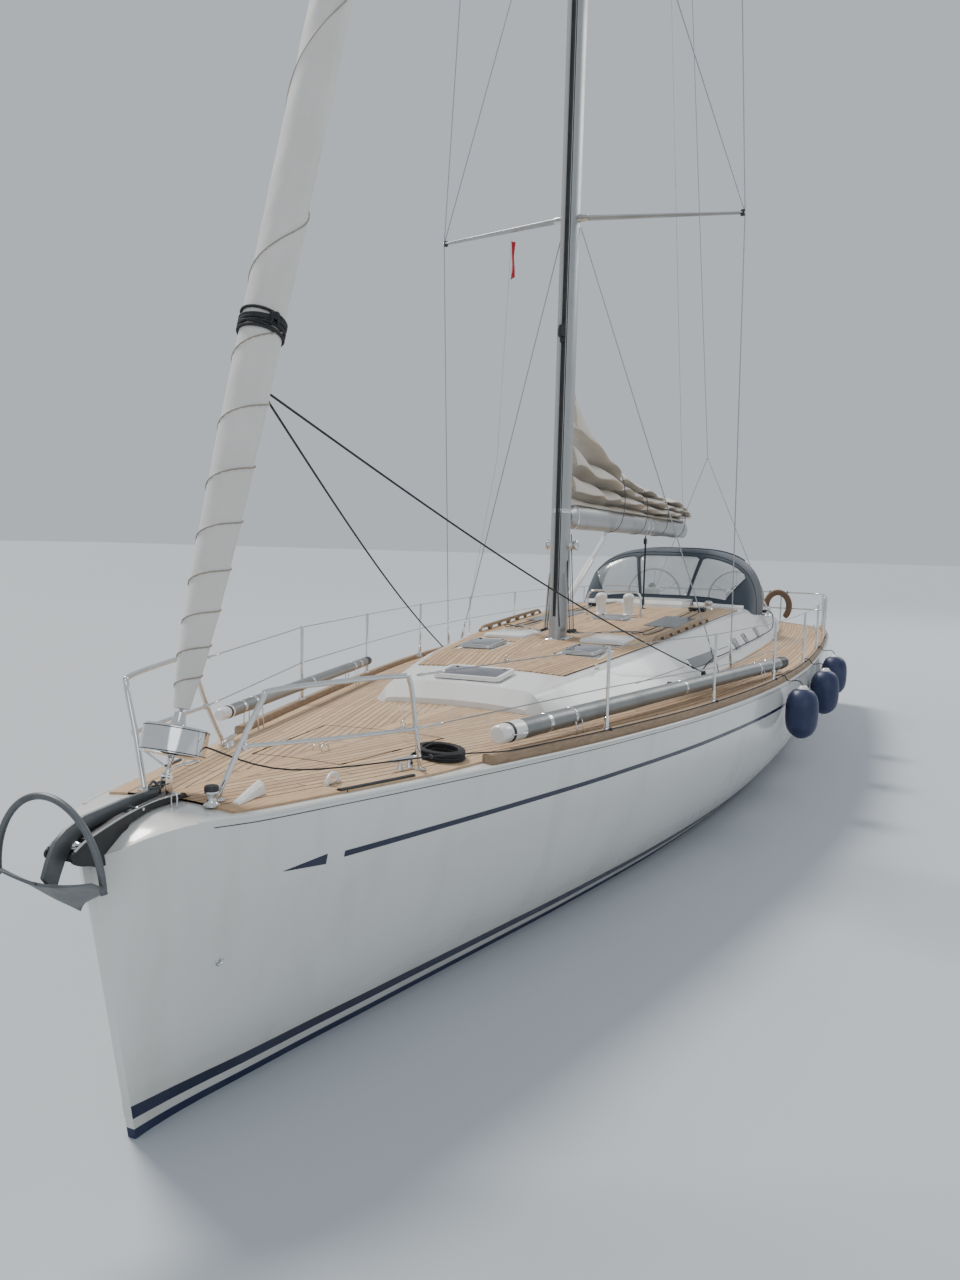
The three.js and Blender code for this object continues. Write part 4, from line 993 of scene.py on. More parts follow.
# %% [markdown]
# ## The laid deck
# A deck layer springs each plank parallel to the deck's edge. The planks from both sides meet
# along the middle on a king plank, where their ends are nibbed in. The deck is laid here in the
# same order: black caulking first, then the covering boards, the field and the king plank on it,
# each with a real gap between. Within the field each point stores how far it lies in from the
# covering board, and the finish draws the seams at every plank's width.

# %% Deck teak
TEAK_THICK = 0.012
COVERING = 0.105
KING = 0.055
SEAM = 0.0028
HOUSE = [
    (-3.95, 1.2, 1.56, 1.868), (-3.05, 1.195, 1.56, 1.852), (-2.05, 1.18, 1.55, 1.84),
    (-1.1, 1.152, 1.52, 1.826), (0, 1.095, 1.48, 1.8), (0.63, 1.062, 1.44, 1.782),
    (1.57, 1.008, 1.35, 1.752), (2.86, 0.845, 1.12, 1.69), (3.68, 0.682, 0.89, 1.63),
    (4.085, 0.598, 0.735, 1.597), (4.19, 0.583, 0.6, 1.48),
]


def edge_slope(x):
    rise = (half_beam(x + 0.05) - half_beam(x - 0.05)) / 0.1
    return math.sqrt(1 + rise * rise)


def teak_edge(x):
    return half_beam(x) - mix(0.098, 0.055, clamp((x - 5.6) / 0.5, 0, 1))


def covering_edge(x):
    return teak_edge(x) - COVERING * edge_slope(x)


def inward_of(point):
    """Square distance in from the covering board. The king plank is one plank of its own."""
    if abs(point.y) < KING and point.x > 4.2:
        return PLANK * 60.5
    return (covering_edge(point.x) - abs(point.y)) / edge_slope(point.x)


print("inner edge of the covering board amidships", round(covering_edge(0), 3))

# %% [markdown]
# ## Laying the deck
# Each layer follows the deck's camber. The caulking lies lowest as one sheet, and the boards stand
# on it with gaps between, so that the seams round them are real grooves.

# %% Laying the deck
def laid(shape, x_low, x_high, outer, inner, low, high, step=0.07, across=14):
    """A slab that follows the deck's camber, between two widths, on the port side."""
    shape.slab(spread(x_low, x_high, max(2, round((x_high - x_low) / step))),
               lambda x: spread(outer(x), inner(x), across),
               lambda x, y: deck_z(x, y) + low, lambda x, y: deck_z(x, y) + high)


def house_base(x):
    return straight(HOUSE, 2, x)


def locker_half(x):
    (aft, wide), (fore, slim) = LOCKER
    return mix(wide, slim, (x - aft) / (fore - aft))


# x from, x to, and the deck's inner edge there
DECK_PARTS = [
    (-7.4, -7.135, lambda x: 0),
    (-7.135, -3.955, lambda x: 1.2),
    (-3.945, 4.19, lambda x: house_base(x) - 0.03),
    (4.19, 5.315, lambda x: KING + SEAM),
    (5.315, 6.345, lambda x: locker_half(x) + LOCKER_GAP + 0.004),
    (6.345, 7.36, lambda x: KING + SEAM),
]
bed, field, boards = Shape(), Shape(), Shape()
for x_low, x_high, inner in DECK_PARTS:
    laid(bed, x_low, x_high, lambda x: teak_edge(x) - 0.003, lambda x: min(inner(x), 0 if x > 6.4 or
         4.19 < x < 5.31 else 99), 0.0006, TEAK_THICK - 0.002, 0.12, 4)
    laid(field, x_low, x_high, lambda x: max(covering_edge(x) - SEAM, inner(x)), inner, 0.001, TEAK_THICK)
laid(boards, -7.4, 7.37, teak_edge, lambda x: max(covering_edge(x) + SEAM, 0), 0.001, TEAK_THICK, 0.07, 2)
king = Shape()
for x_low, x_high in ((4.19, 5.315), (6.345, 7.36)):
    laid(king, x_low, x_high, lambda x: KING - SEAM / 2, lambda x: 0, 0.001, TEAK_THICK, 0.1, 2)
for shape, name in ((bed, "deck_caulking"), (field, "deck_planks"), (boards, "covering_boards"),
                    (king, "king_plank")):
    other = shape.twin()
    shape.add(other.points, other.faces)
    piece = shape.make(name, black_plastic if shape is bed else deck_planks_finish,
                       stands_for="deck_teak" if shape is field else (), slot="teak", crease=50)
    if shape is field:
        keep_at_vertices(piece, "inward", inward_of)
    elif shape is boards:
        keep_at_vertices(piece, "inward", lambda p: PLANK * clamp(
            0.5 + 0.8 * ((teak_edge(p.x) - abs(p.y)) / (COVERING * edge_slope(p.x)) - 0.5), 0.1, 0.9))
    else:
        keep_at_vertices(piece, "inward", lambda p: PLANK * 60.5)
print("deck laid,", len(field.faces), "faces in its field")

# %% [markdown]
# ## Locker lid and the seats
# The anchor locker's lid is cut from the same deck, so its planks run on across it. The seats and
# the soles have straight planks, with a margin all round.

# %% Lids in teak
lid = Shape().slab(spread(5.33, 6.33, 20), lambda x: spread(locker_half(x), -locker_half(x), 18),
                   lambda x, y: deck_z(x, y) - 0.024, lambda x, y: deck_z(x, y) + TEAK_THICK)
piece = lid.make("anchor_locker_lid_planked", deck_planks_finish, "anchor_locker_lid", "anchor_locker_lid",
                 crease=40)
keep_at_vertices(piece, "inward", inward_of)
handle = Shape().turned([(0, 0), (0.034, 0), (0.036, 0.002), (0.034, 0.004), (0.02, 0.0045),
                         (0, 0.0045)], (5.46, 0, deck_z(5.46, 0) + TEAK_THICK), 28)
handle.make("locker_lift_ring", polished, "anchor_locker_lid")
print("locker lid done")

# %% [markdown]
# ## Seats and soles
# Seats and cockpit soles have straight planks. The seat lids ride on bodies of their own, so the
# planks abaft them are separate pieces, and the hinges stand clear outboard.

# %% Seats and soles
def plank_pad(name, x0, x1, y0, y1, low, top, body="boat", stands_for=(), rounding=0.006):
    pad = Shape().slab(spread(x0, x1, 8), lambda x: spread(y1, y0, 8), lambda x, y: low, lambda x, y: top)
    made = pad.make(name, deck_planks_finish, body, stands_for, round_edge=rounding)
    keep_at_vertices(made, "inward", lambda p: p.y - y0 + PLANK * 20)


HINGE_INNER, HINGE_OUTER = 1.122, 1.152
for side, word in SIDES:
    ys = sorted((side * 0.5, side * 1.08))
    plank_pad("seat_lid_planked_" + word, -5.33, -4.08, *ys, 1.296, 1.328, "seat_lid_" + word,
              "seat_lid_" + word)
    plank_pad("seat_planks_aft_" + word, -5.43, -5.342, *ys, SEAT_Z + 0.001, 1.312)
    hinge = Shape()
    for x in (-5.1, -4.3):
        inner, outer = sorted((side * HINGE_INNER, side * HINGE_OUTER))
        hinge.block((x - 0.035, inner, SEAT_Z + 0.001), (x + 0.035, outer, SEAT_Z + 0.012))
    hinge.make("seat_hinges_" + word, polished, round_edge=0.003)
plank_pad("footwell_planks", FOOTWELL_AFT + 0.02, BULKHEAD - 0.03, -0.43, 0.43, SOLE + 0.0005, SOLE + 0.01)
plank_pad("helm_sole_planks", HELM_AFT + 0.03, FOOTWELL_AFT - 0.02, -1.08, 1.08, HELM_SOLE + 0.0005,
          HELM_SOLE + 0.01)
print("seats and soles planked")

# %% [markdown]
# ## Coachroof and coamings
# The coachroof is a moulding with sloping sides and a soft shoulder, so its sections are joined
# by a curve at the edge of the roof. Hatch wells and the companionway are cut through it. The
# coamings carry on from it round the cockpit and fall towards the stern.

# %% Coachroof
ROOF_CAMBER = 0.026


def roof_top(x):
    return straight(HOUSE, 1, x)


def roof_edge(x):
    return straight(HOUSE, 3, x)


def roof_z(x, y=0):
    """Straight facets between the edge, halfway and the middle, as in the frame."""
    f = clamp(abs(y) / roof_top(x), 0, 1)
    rise = mix(1, 0.75, f / 0.5) if f < 0.5 else mix(0.75, 0, (f - 0.5) / 0.5)
    return roof_edge(x) + ROOF_CAMBER * rise


def on_roof(x, y, up):
    return xyz(x, y, roof_z(x, y) + up)


def bend(a, corner, b, steps):
    """A round corner between two straight lines."""
    return [a.lerp(corner, s).lerp(corner.lerp(b, s), s) for s in (i / steps for i in range(steps + 1))]


def house_ring(x):
    base, top = house_base(x), roof_top(x)
    foot = xyz(x, base, deck_z(x, base) - 0.002)
    corner = xyz(x, top, roof_edge(x))
    inner = xyz(x, top - 0.075, roof_z(x, top - 0.075))
    low = corner.lerp(foot, min(0.4, 0.06 / (corner - foot).length))
    port = [xyz(x, base, deck_z(x, base) - 0.12), foot, *bend(low, corner, inner, 6)]
    port += [xyz(x, y, roof_z(x, y)) for y in spread(top - 0.12, 0, 8)]
    return port + [xyz(p.x, -p.y, p.z) for p in port[-2::-1]]


house_places = sorted({round(x, 4) for x in [*spread(-3.95, 4.19, 60), *[row[0] for row in HOUSE], 4.07,
                                             4.1]})
FORE_HATCH = (3.59, 3.99, -0.285, 0.285)
MID_HATCHES = {"port": (2.15, 2.61, 0.34, 0.66), "starboard": (2.15, 2.61, -0.66, -0.34)}
GALLEY_HATCH = (-0.64, -0.24, -0.2, 0.2)
GARAGE = (-3.42, -2.52, 0.43, 1.964)


def well(hatch, edge, depth):
    x0, x1, y0, y1 = hatch
    z = roof_z((x0 + x1) / 2, (y0 + y1) / 2)
    return box(x0 + edge, x1 - edge, y0 + edge, y1 - edge, z - depth, z + 0.2)


house = carve(bare("coachroof_moulding", Shape().loft([house_ring(x) for x in house_places])), [
    well(FORE_HATCH, 0.035, 0.12), well(MID_HATCHES["port"], 0.03, 0.17),
    well(MID_HATCHES["starboard"], 0.03, 0.17), well(GALLEY_HATCH, 0.025, 0.17),
    way_down,
])
dress(house, deck_gelcoat, stands_for="coachroof", crease=24)
print("coachroof done")

# %% [markdown]
# ## Coamings
# A coaming leans inward as it rises and its top is rounded. It is drawn once for the port side and
# mirrored.

# %% Coamings
COAMING = [(-7, 1.24, 1.3, 1.4, 1.46), (-6.3, 1.215, 1.33, 1.5, 1.57),
           (-5.2, 1.19, 1.4, 1.56, 1.67), (-3.9503, 1.18, 1.4, 1.56, 1.74)]


def coaming_ring(x):
    inner, outer, base, top = (straight(COAMING, k, x) for k in (1, 2, 3, 4))
    foot = deck_z(x, 1.4) - 0.012
    share = (foot - 1.25) / (top - 1.25)
    a = xyz(x, mix(1.172, inner, share), foot)
    b = xyz(x, inner, top)
    c = xyz(x, outer, top)
    d = xyz(x, mix(base, outer, share), foot)
    return [a, *bend(b.lerp(a, 0.12), b, b.lerp(c, 0.3), 5), *bend(c.lerp(b, 0.35), c, c.lerp(d, 0.2),
            5), d]


wall = Shape().loft([coaming_ring(x) for x in spread(-7, -3.9503, 34)])
make_pair(wall, "coaming_moulding", deck_gelcoat, stands_for="coaming", crease=30)
print("coamings done")

# %% [markdown]
# ## Garage and roof planks
# The garage is a low box that the companionway's slide runs into. The roof is planked like the
# deck, with openings for the hatches, the mast and the garage.

# %% Garage and roof planks
garage = Shape()
gx0, gx1, gy, gz = GARAGE
garage_ring = [(gx0, 1.866), (gx0, gz), (gx1 - 0.05, gz), (gx1, gz - 0.045), (gx1, 1.868)]
garage.loft([[xyz(x, y, z) for x, z in garage_ring] for y in (-gy, gy)])
piece = carve(bare("hatch_garage_moulding", garage),
              [box(gx0 - 0.01, gx1 - 0.025, -0.352, 0.352, 1.7, 1.942)])
dress(piece, deck_gelcoat, stands_for="hatch_garage", round_edge=0.012)

PLANKED_TO, ROOF_MARGIN, ROOF_SKIN = 3.48, 0.07, 0.009
roof_planks = Shape().slab([x for x in house_places if -3.05 < x < PLANKED_TO] + [PLANKED_TO],
                           lambda x: spread(roof_top(x) - ROOF_MARGIN, ROOF_MARGIN - roof_top(x), 36),
                           lambda x, y: roof_z(x, y) + 0.0006, lambda x, y: roof_z(x, y) + ROOF_SKIN)
margin = 0.06
roof_cutters = [box(gx0 - 0.02, gx1 + 0.04, -gy - 0.04, gy + 0.04, 1.2, 2.2),
                box(1.47, 1.85, -0.13, 0.13, 1.2, 2.2)]
for x0, x1, y0, y1 in (MID_HATCHES["port"], MID_HATCHES["starboard"], GALLEY_HATCH):
    roof_cutters.append(box(x0 - margin, x1 + margin, y0 - margin, y1 + margin, 1.2, 2.2))
piece = carve(bare("coachroof_planks", roof_planks), roof_cutters)
dress(piece, deck_planks_finish, stands_for="coachroof_teak", crease=40)
keep_at_vertices(piece, "inward", lambda p: PLANK * 30 + roof_top(p.x) - ROOF_MARGIN - abs(p.y))
print("superstructure done")

# %% [markdown]
# ## Hatches
# A yacht's hatch is a sheet of smoked acrylic in an alloy or moulded frame. The lid rides on its
# own body, so the frame round the well stays behind when it opens. The fore hatch has a raised
# white frame, and the two in the saloon roof have grey alloy ones.

# %% Hatches
def lid_place(hatch):
    """The centre of a lid's underside and its lean, as the frame has them."""
    x0, x1, y0, y1 = hatch
    x, y = (x0 + x1) / 2, (y0 + y1) / 2
    lean = -math.atan2(roof_z(x + 0.05) - roof_z(x - 0.05), 0.1)
    heights = [roof_z(a, b) + (a - x) * math.tan(lean) for a in (x0, x1) for b in (y0, y1, y)]
    return xyz(x, y, max(heights) + 0.006), Matrix.Rotation(lean, 3, "Y")


def rounded_outline(half_x, half_y, radius, steps=6):
    corners = [(half_x - radius, half_y - radius, 0), (-half_x + radius, half_y - radius, 90),
               (-half_x + radius, -half_y + radius, 180), (half_x - radius, -half_y + radius, 270)]
    outline = []
    for x, y, start in corners:
        for k in range(steps + 1):
            angle = math.radians(start + 90 * k / steps)
            outline.append((x + radius * cos(angle), y + radius * sin(angle)))
    return outline


def tray(shape, centre, turn, half_x, half_y, radius, profile):
    """A rounded rectangle's wall, swept: profile rows are inset from the outline and height."""
    rings = []
    for inset, height in profile:
        outline = rounded_outline(half_x - inset, half_y - inset, max(radius - inset, 0.004))
        rings.append([centre + turn @ xyz(x, y, height) for x, y in outline])
    shape.loft(rings)


def hatch(name, place, rim_finish, rim):
    x0, x1, y0, y1 = place
    centre, turn = lid_place(place)
    half_x, half_y = (x1 - x0) / 2, (y1 - y0) / 2
    pane = Shape()
    tray(pane, centre, turn, half_x - rim, half_y - rim, 0.035,
         [(0, 0.006), (0, 0.026), (0.003, 0.0285), (0.006, 0.029)])
    pane.make(name + "_pane", acrylic, name, name)
    edge = Shape()
    tray(edge, centre, turn, half_x, half_y, 0.05,
         [(rim + 0.004, 0), (0, 0), (0, 0.024), (0.004, 0.031), (rim - 0.004, 0.031), (rim, 0.029),
          (rim, 0.006), (rim + 0.004, 0)])
    edge.make(name + "_rim", rim_finish, name)
    knobs = Shape()
    for side in (-1, 1):
        knob = centre + turn @ xyz(-half_x + rim * 1.7, side * (half_y - rim * 2.2), 0.028)
        knobs.turned([(0, 0), (0.014, 0), (0.014, 0.002), (0.011, 0.0035), (0, 0.0035)], knob, 18)
    knobs.make(name + "_dogs", black_plastic, name)
    lip = Shape()
    for a, b, c, d in ((x0 + 0.004, x0 + 0.03, y0 + 0.004, y1 - 0.004),
                       (x1 - 0.03, x1 - 0.004, y0 + 0.004, y1 - 0.004),
                       (x0 + 0.03, x1 - 0.03, y0 + 0.004, y0 + 0.03),
                       (x0 + 0.03, x1 - 0.03, y1 - 0.03, y1 - 0.004)):
        lowest = min(roof_z(p, q) for p in (a, b) for q in (c, d)) - 0.02
        highest = centre.z - 0.0065 - abs(math.tan(turn.to_euler().y)) * half_x
        if highest > lowest + 0.012:
            lip.block((a, c, lowest), (b, d, highest))
    if lip.points:
        lip.make(name + "_coaming", rim_finish, slot="gelcoat", round_edge=0.003)


hatch("forehatch_lid", FORE_HATCH, vent_white, 0.036)
hatch("hatch_lid_port", MID_HATCHES["port"], frame_alloy, 0.02)
hatch("hatch_lid_starboard", MID_HATCHES["starboard"], frame_alloy, 0.02)
hatch("galley_hatch_lid", GALLEY_HATCH, frame_alloy, 0.018)
print("hatches done")

# %% [markdown]
# ## Companionway slide
# The slide is a smoked sheet with a rolled edge. It runs forward into the garage on a body of its
# own.

# %% Companionway slide
slide = Shape()
tray(slide, xyz(-3.6425, 0, 1.9), Matrix.Identity(3), 0.3525, 0.34, 0.03,
     [(0.003, 0), (0, 0.003), (0, 0.02), (0.004, 0.024)])
slide.make("companionway_slide_pane", acrylic, "companionway_slide", "companionway_slide")
print("slide done")

# %% [markdown]
# ## Door
# A smoked pane in a teak frame closes the bulkhead. It is hinged at its side, so pane, frame and
# handle ride on the door's own body.

# %% Door
DOOR_MIDDLE, DOOR_FACE, DOOR_DEPTH = 1.4765, -3.9795, 0.021
door = Shape().plate([(-3.978, y, z) for y, z in rounded_outline(0.296, 0.398, 0.03)], (0.018, 0, 0))
door.points = [p + xyz(0, 0, DOOR_MIDDLE) for p in door.points]
door.make("companionway_door_pane", acrylic, "companionway_door", "companionway_door",
          round_edge=0.002)
trim = Shape()
trim_ring = rounded_outline(0.309, 0.4105, 0.04)
inner_ring = rounded_outline(0.272, 0.374, 0.025)
outer_a = [xyz(DOOR_FACE, y, z + DOOR_MIDDLE) for y, z in trim_ring]
outer_b = [p + xyz(DOOR_DEPTH, 0, 0) for p in outer_a]
inner_a = [xyz(DOOR_FACE, y, z + DOOR_MIDDLE) for y, z in inner_ring]
inner_b = [p + xyz(DOOR_DEPTH, 0, 0) for p in inner_a]
trim.loft([inner_a, outer_a, outer_b, inner_b, inner_a], caps=False)
trim.make("companionway_door_frame", rail_teak, "companionway_door")
print("door done")

# %% [markdown]
# ## Windows in the house's sides
# The long saloon window is a wedge of dark acrylic glued on the moulding. Behind it are small
# portlights, the nearest with a bright frame, and a thin dark stripe links them along the side.

# %% Windows
def on_side(x, share, out=0):
    """A point on the sloping side of the house: share 0 at its foot and 1 at the roof's edge."""
    base, top = house_base(x), roof_top(x)
    foot = deck_z(x, base) - 0.002
    run, rise = base - top, roof_edge(x) - foot
    length = math.hypot(run, rise)
    return xyz(x, mix(base, top, share) + out * rise / length,
               mix(foot, roof_edge(x), share) + out * run / length)


def side_patch(outline, proud, sink=0.004):
    """A plate that follows the side of the house. The outline's rows are x, lower and upper share."""
    rings = []
    for x, low, high in outline:
        rings.append([on_side(x, low, -sink), on_side(x, low, proud * 0.7),
                      on_side(x, mix(low, high, 0.08), proud), on_side(x, mix(low, high, 0.92), proud),
                      on_side(x, high, proud * 0.7), on_side(x, high, -sink)])
    return Shape().loft(rings)


WINDOW = [(1.24, 0.288, 0.526), (0.63, 0.268, 0.501), (0.276, 0.257, 0.487), (0.034, 0.455, 0.477)]
window_rows = []
for i in range(40):
    x = mix(1.238, 0.04, i / 39)
    low = straight(WINDOW[::-1], 1, x)
    high = straight(WINDOW[::-1], 2, x)
    ease = min(1, (1.238 - x) / 0.03 + 0.35)
    middle = (low + high) / 2
    window_rows.append((x, mix(middle, low, ease), mix(middle, high, ease)))
stripe_rows = [(x, mix(0.405, 0.412, (2.654 - x) / 1.266) - 0.006,
                mix(0.405, 0.412, (2.654 - x) / 1.266) + 0.006) for x in spread(2.654, 1.388, 12)]
stripe_aft = [(x, 0.448 - (x + 0.02) * -0.062 - 0.006, 0.448 - (x + 0.02) * -0.062 + 0.006)
              for x in spread(-0.02, -0.62, 8)]
PORT_LIGHTS = [
    ((-0.807, 0.24), (-0.863, 0.501), (-1.248, 0.531), (-1.154, 0.245)),
    ((-1.53, 0.265), (-1.57, 0.515), (-1.9, 0.535), (-1.85, 0.27)),
    ((-2.56, 0.27), (-2.6, 0.51), (-2.95, 0.52), (-2.91, 0.275)),
]


def port_light(corners, grow, proud):
    """A plate with round corners on the side of the house. Corners are x and share."""
    flat = [xyz(x, share, 0) for x, share in corners]
    middle = sum(flat, Vector()) / 4
    rings = []
    for inset, out in ((0, -0.004), (0, proud * 0.7), (0.008, proud)):
        ring = []
        for i in range(4):
            before, here, after = flat[i - 1], flat[i], flat[(i + 1) % 4]
            for p in bend(here.lerp(before, 0.22), here, here.lerp(after, 0.22), 6):
                away = p - middle
                size = 1 + (grow - inset) / 0.16
                ring.append(on_side(middle.x + away.x * size, middle.y + away.y * size, out))
        rings.append(ring)
    return Shape().loft(rings)


glass = side_patch(window_rows, 0.006)
make_pair(glass, "saloon_window", window_glass, stands_for="cabin_window")
trims = Shape()
for rows in (stripe_rows, stripe_aft):
    strip = side_patch(rows, 0.002)
    trims.add(strip.points, strip.faces)
make_pair(trims, "house_stripe", black_plastic)
frames, panes = Shape(), Shape()
for corners in PORT_LIGHTS:
    rim = port_light(corners, 0.018, 0.006)
    frames.add(rim.points, rim.faces)
    pane = port_light(corners, 0, 0.0095)
    panes.add(pane.points, pane.faces)
make_pair(frames, "portlight_rims", vent_white)
make_pair(panes, "portlight_panes", window_glass)
print("windows done")

# %% [markdown]
# ## Toe rail
# A teak toe rail runs round the deck's edge, and the stanchions are stepped on it. Under it lie a
# round bead of gelcoat, which takes the knocks, and below that a thin black band, which is painted
# shade where a groove runs along the hull.

# %% Toe rail
RAIL_OUTER, RAIL_INNER, RAIL_HIGH = 0.025, 0.095, 0.06
POSTS = [4.36, 2.52, 0.7, -1.13, -2.96, -4.7]
UPPER_WIRE, LOWER_WIRE = 0.572, 0.29


def rail_ring(x):
    outer, inner = half_beam(x) - RAIL_OUTER, half_beam(x) - RAIL_INNER
    low = -0.0015
    zo, zi = deck_z(x, outer), deck_z(x, inner)
    top = (xyz(x, outer, zo + RAIL_HIGH), xyz(x, inner, zi + RAIL_HIGH))
    a, d = xyz(x, outer, zo + low), xyz(x, inner, zi + low)
    return [a, *bend(top[0].lerp(a, 0.3), top[0], top[0].lerp(top[1], 0.3), 4),
            *bend(top[1].lerp(top[0], 0.3), top[1], top[1].lerp(d, 0.3), 4), d]


def post_foot(x):
    y = half_beam(x) - 0.07
    return xyz(x, y, deck_z(x, y) + RAIL_HIGH)


# The black band below the bead is painted shade, standing for a groove along the hull.
for side, word in SIDES:
    band("groove_shade_band_" + word, -7.3, 7.5, lambda x: deck_edge(x) - 0.034, lambda x: deck_edge(x) - 0.03,
         side, finish=black_plastic)

gunwale = Shape().pipe([(x, half_beam(x) - 0.005, deck_edge(x) - 0.004) for x in spread(-7.35, 7.56, 160)],
                       0.0125, 12)
make_pair(gunwale, "gunwale_bead", hull_gelcoat, crease=70)
rail = Shape().loft([rail_ring(x) for x in spread(-7.3, 5.66, 120)])
make_pair(rail, "toe_rail", rail_teak, stands_for="rail", crease=50)
print("toe rails done")

# %% [markdown]
# ## Stanchions and lifelines
# A stanchion is a polished tube with a domed top, in a socket with a flange. Two wires run through
# them and end in long threaded terminals.

# %% Stanchions and lifelines
posts = Shape()
for x in POSTS:
    foot = post_foot(x)
    posts.turned([(0, 0.585), (0.008, 0.584), (0.0115, 0.578), (0.0125, 0.57), (0.0125, 0.085),
                  (0.0165, 0.082), (0.0165, 0.012), (0.026, 0.009), (0.028, 0), (0, -0.002)][::-1],
                 foot, 20)
    for height in (UPPER_WIRE, LOWER_WIRE):
        posts.turned([(0.0055, -0.016), (0.0075, -0.015), (0.0075, 0.015), (0.0055, 0.016)],
                     foot + xyz(0, 0, height), 12, (1, 0.02, 0))
make_pair(posts, "stanchions", polished)
wires = Shape()
tops = [xyz(6.228, 0.69, 1.985), *[post_foot(x) + xyz(0, 0, UPPER_WIRE) for x in POSTS],
        xyz(-5.65, 2.165, 1.948)]
middles = [xyz(6.236, 0.691, 1.695), *[post_foot(x) + xyz(0, 0, LOWER_WIRE) for x in POSTS],
           xyz(-5.65, 2.163, 1.665)]
for line in (tops, middles):
    wires.pipe(line, 0.0038, 8)
ends = Shape()
for line in (tops, middles):
    for a, b in ((line[0], line[1]), (line[-1], line[-2])):
        ahead = (b - a).normalized()
        ends.turned([(0.003, 0), (0.008, 0.004), (0.009, 0.03), (0.006, 0.06), (0.0055, 0.15),
                     (0.008, 0.155), (0.008, 0.2), (0.004, 0.215)], a + ahead * 0.012, 12, ahead)
make_pair(wires, "lifelines", strand_wire)
make_pair(ends, "lifeline_screws", polished)
print("rails done")

# %% [markdown]
# ## Pulpit and pushpit
# Both are bent from 28 mm polished tube. A tube bender leaves smooth curves, so each route runs
# through the bends' points as one smooth line, and every foot ends on a round flange.

# %% Pulpit
def deck_foot(x, y, up=0.02):
    return xyz(x, y, deck_z(x, y) + up)


def flange(shape, at, radius=0.032):
    shape.turned([(0, 0), (radius, 0), (radius, 0.003), (radius * 0.5, 0.008), (0, 0.012)],
                 at - xyz(0, 0, 0.006), 20)


pulpit = Shape()
FORE_LEG, AFT_LEG = deck_foot(7.292, 0.213), deck_foot(6.107, 0.663)
BAR_FORE, BAR_AFT = (7.236, 0.318, 1.748), (6.238, 0.691, 1.695)
pulpit_route = [FORE_LEG, (7.248, 0.3, 1.74), (7.204, 0.393, 1.962), (7.16, 0.418, 2.003),
                (6.8, 0.555, 2.01), (6.44, 0.688, 2.004), (6.34, 0.706, 1.965), (6.228, 0.69, 1.695),
                AFT_LEG]
pulpit.pipe(flowing(pulpit_route, 10), 0.0138, 14)
pulpit.pipe(flowing([BAR_FORE, (6.8, 0.5, 1.722), BAR_AFT], 10), 0.0108, 12)
flange(pulpit, FORE_LEG)
flange(pulpit, AFT_LEG)
for at in (BAR_FORE, BAR_AFT):
    pulpit.turned([(0, -0.016), (0.016, -0.014), (0.0165, 0), (0.016, 0.014), (0, 0.016)], at, 14,
                  (0.3, 0.1, 1))
make_pair(pulpit, "pulpit_tubes", polished, stands_for="pulpit", crease=60)
print("pulpit done")

# %% [markdown]
# ## Pushpit
# Two rails run round the stern on ten legs. Each rail is one smooth route, mirrored over the
# middle.

# %% Pushpit
pushpit = Shape()
for z in (1.95, 1.665):
    quarter = [(-5.65, 2.165, z), (-6.4, 2.115, z), (-7.15, 2.03, z), (-7.38, 1.85, z), (-7.43, 1.3, z),
               (-7.44, 0, z)]
    other = [(x, -y, h) for x, y, h in quarter[-2::-1]]
    pushpit.pipe(flowing([*quarter, *other], 8), 0.0135, 14)
LEGS = [(-5.65, 2.165, -5.65, 2.16, RAIL_HIGH + 0.003), (-6.4, 2.115, -6.4, 2.112, RAIL_HIGH + 0.003),
        (-7.15, 2.03, -7.15, 2.04, RAIL_HIGH + 0.003), (-7.43, 1.3, -7.4, 1.3, TEAK_THICK + 0.003),
        (-7.44, 0.42, -7.4, 0.42, TEAK_THICK + 0.003)]
for hx, hy, fx, fy, up in LEGS:
    for side in (1, -1):
        foot = deck_foot(fx, side * fy, up)
        pushpit.rod(foot, (hx, side * hy, 1.95), 0.0125, 14)
        flange(pushpit, foot, 0.03)
pushpit.make("pushpit_tubes", polished, stands_for="pushpit", crease=60)
print("pushpit done")

# %% [markdown]
# ## Bow roller
# The anchor sits in a roller between two black cheeks, whose upper edges carry a bright bead. The
# cheeks are plates cut to a smooth outline, lifted where they would cut into the deck.

# %% Bow roller
CHEEK = [(7.34, 1.44), (7.8, 1.34), (7.93, 1.36), (8, 1.385), (8.017, 1.425), (7.94, 1.464), (7.84, 1.49),
         (7.708, 1.516), (7.56, 1.532), (7.4, 1.53), (7.34, 1.52)]
FLOOR = [(7.7, 1.375), (7.8, 1.332), (7.88, 1.39), (7.86, 1.44), (7.7, 1.478), (7.6, 1.504), (7.34, 1.512),
         (7.34, 1.49), (7.6, 1.475)]


def edge_plate(outline, y0, y1):
    return Shape().plate([(x, y0, z) for x, z in outline], (0, y1 - y0, 0))


def smooth_outline(outline, steps=3):
    return [(p.x, p.z) for p in flowing([(x, 0, z) for x, z in outline], steps, closed=True)]


def above_deck(x):
    """The lowest height at which a cheek clears the hull, at x."""
    return (deck_z(min(x, 7.8), 0.07) + 0.014) if x < 7.72 else -9


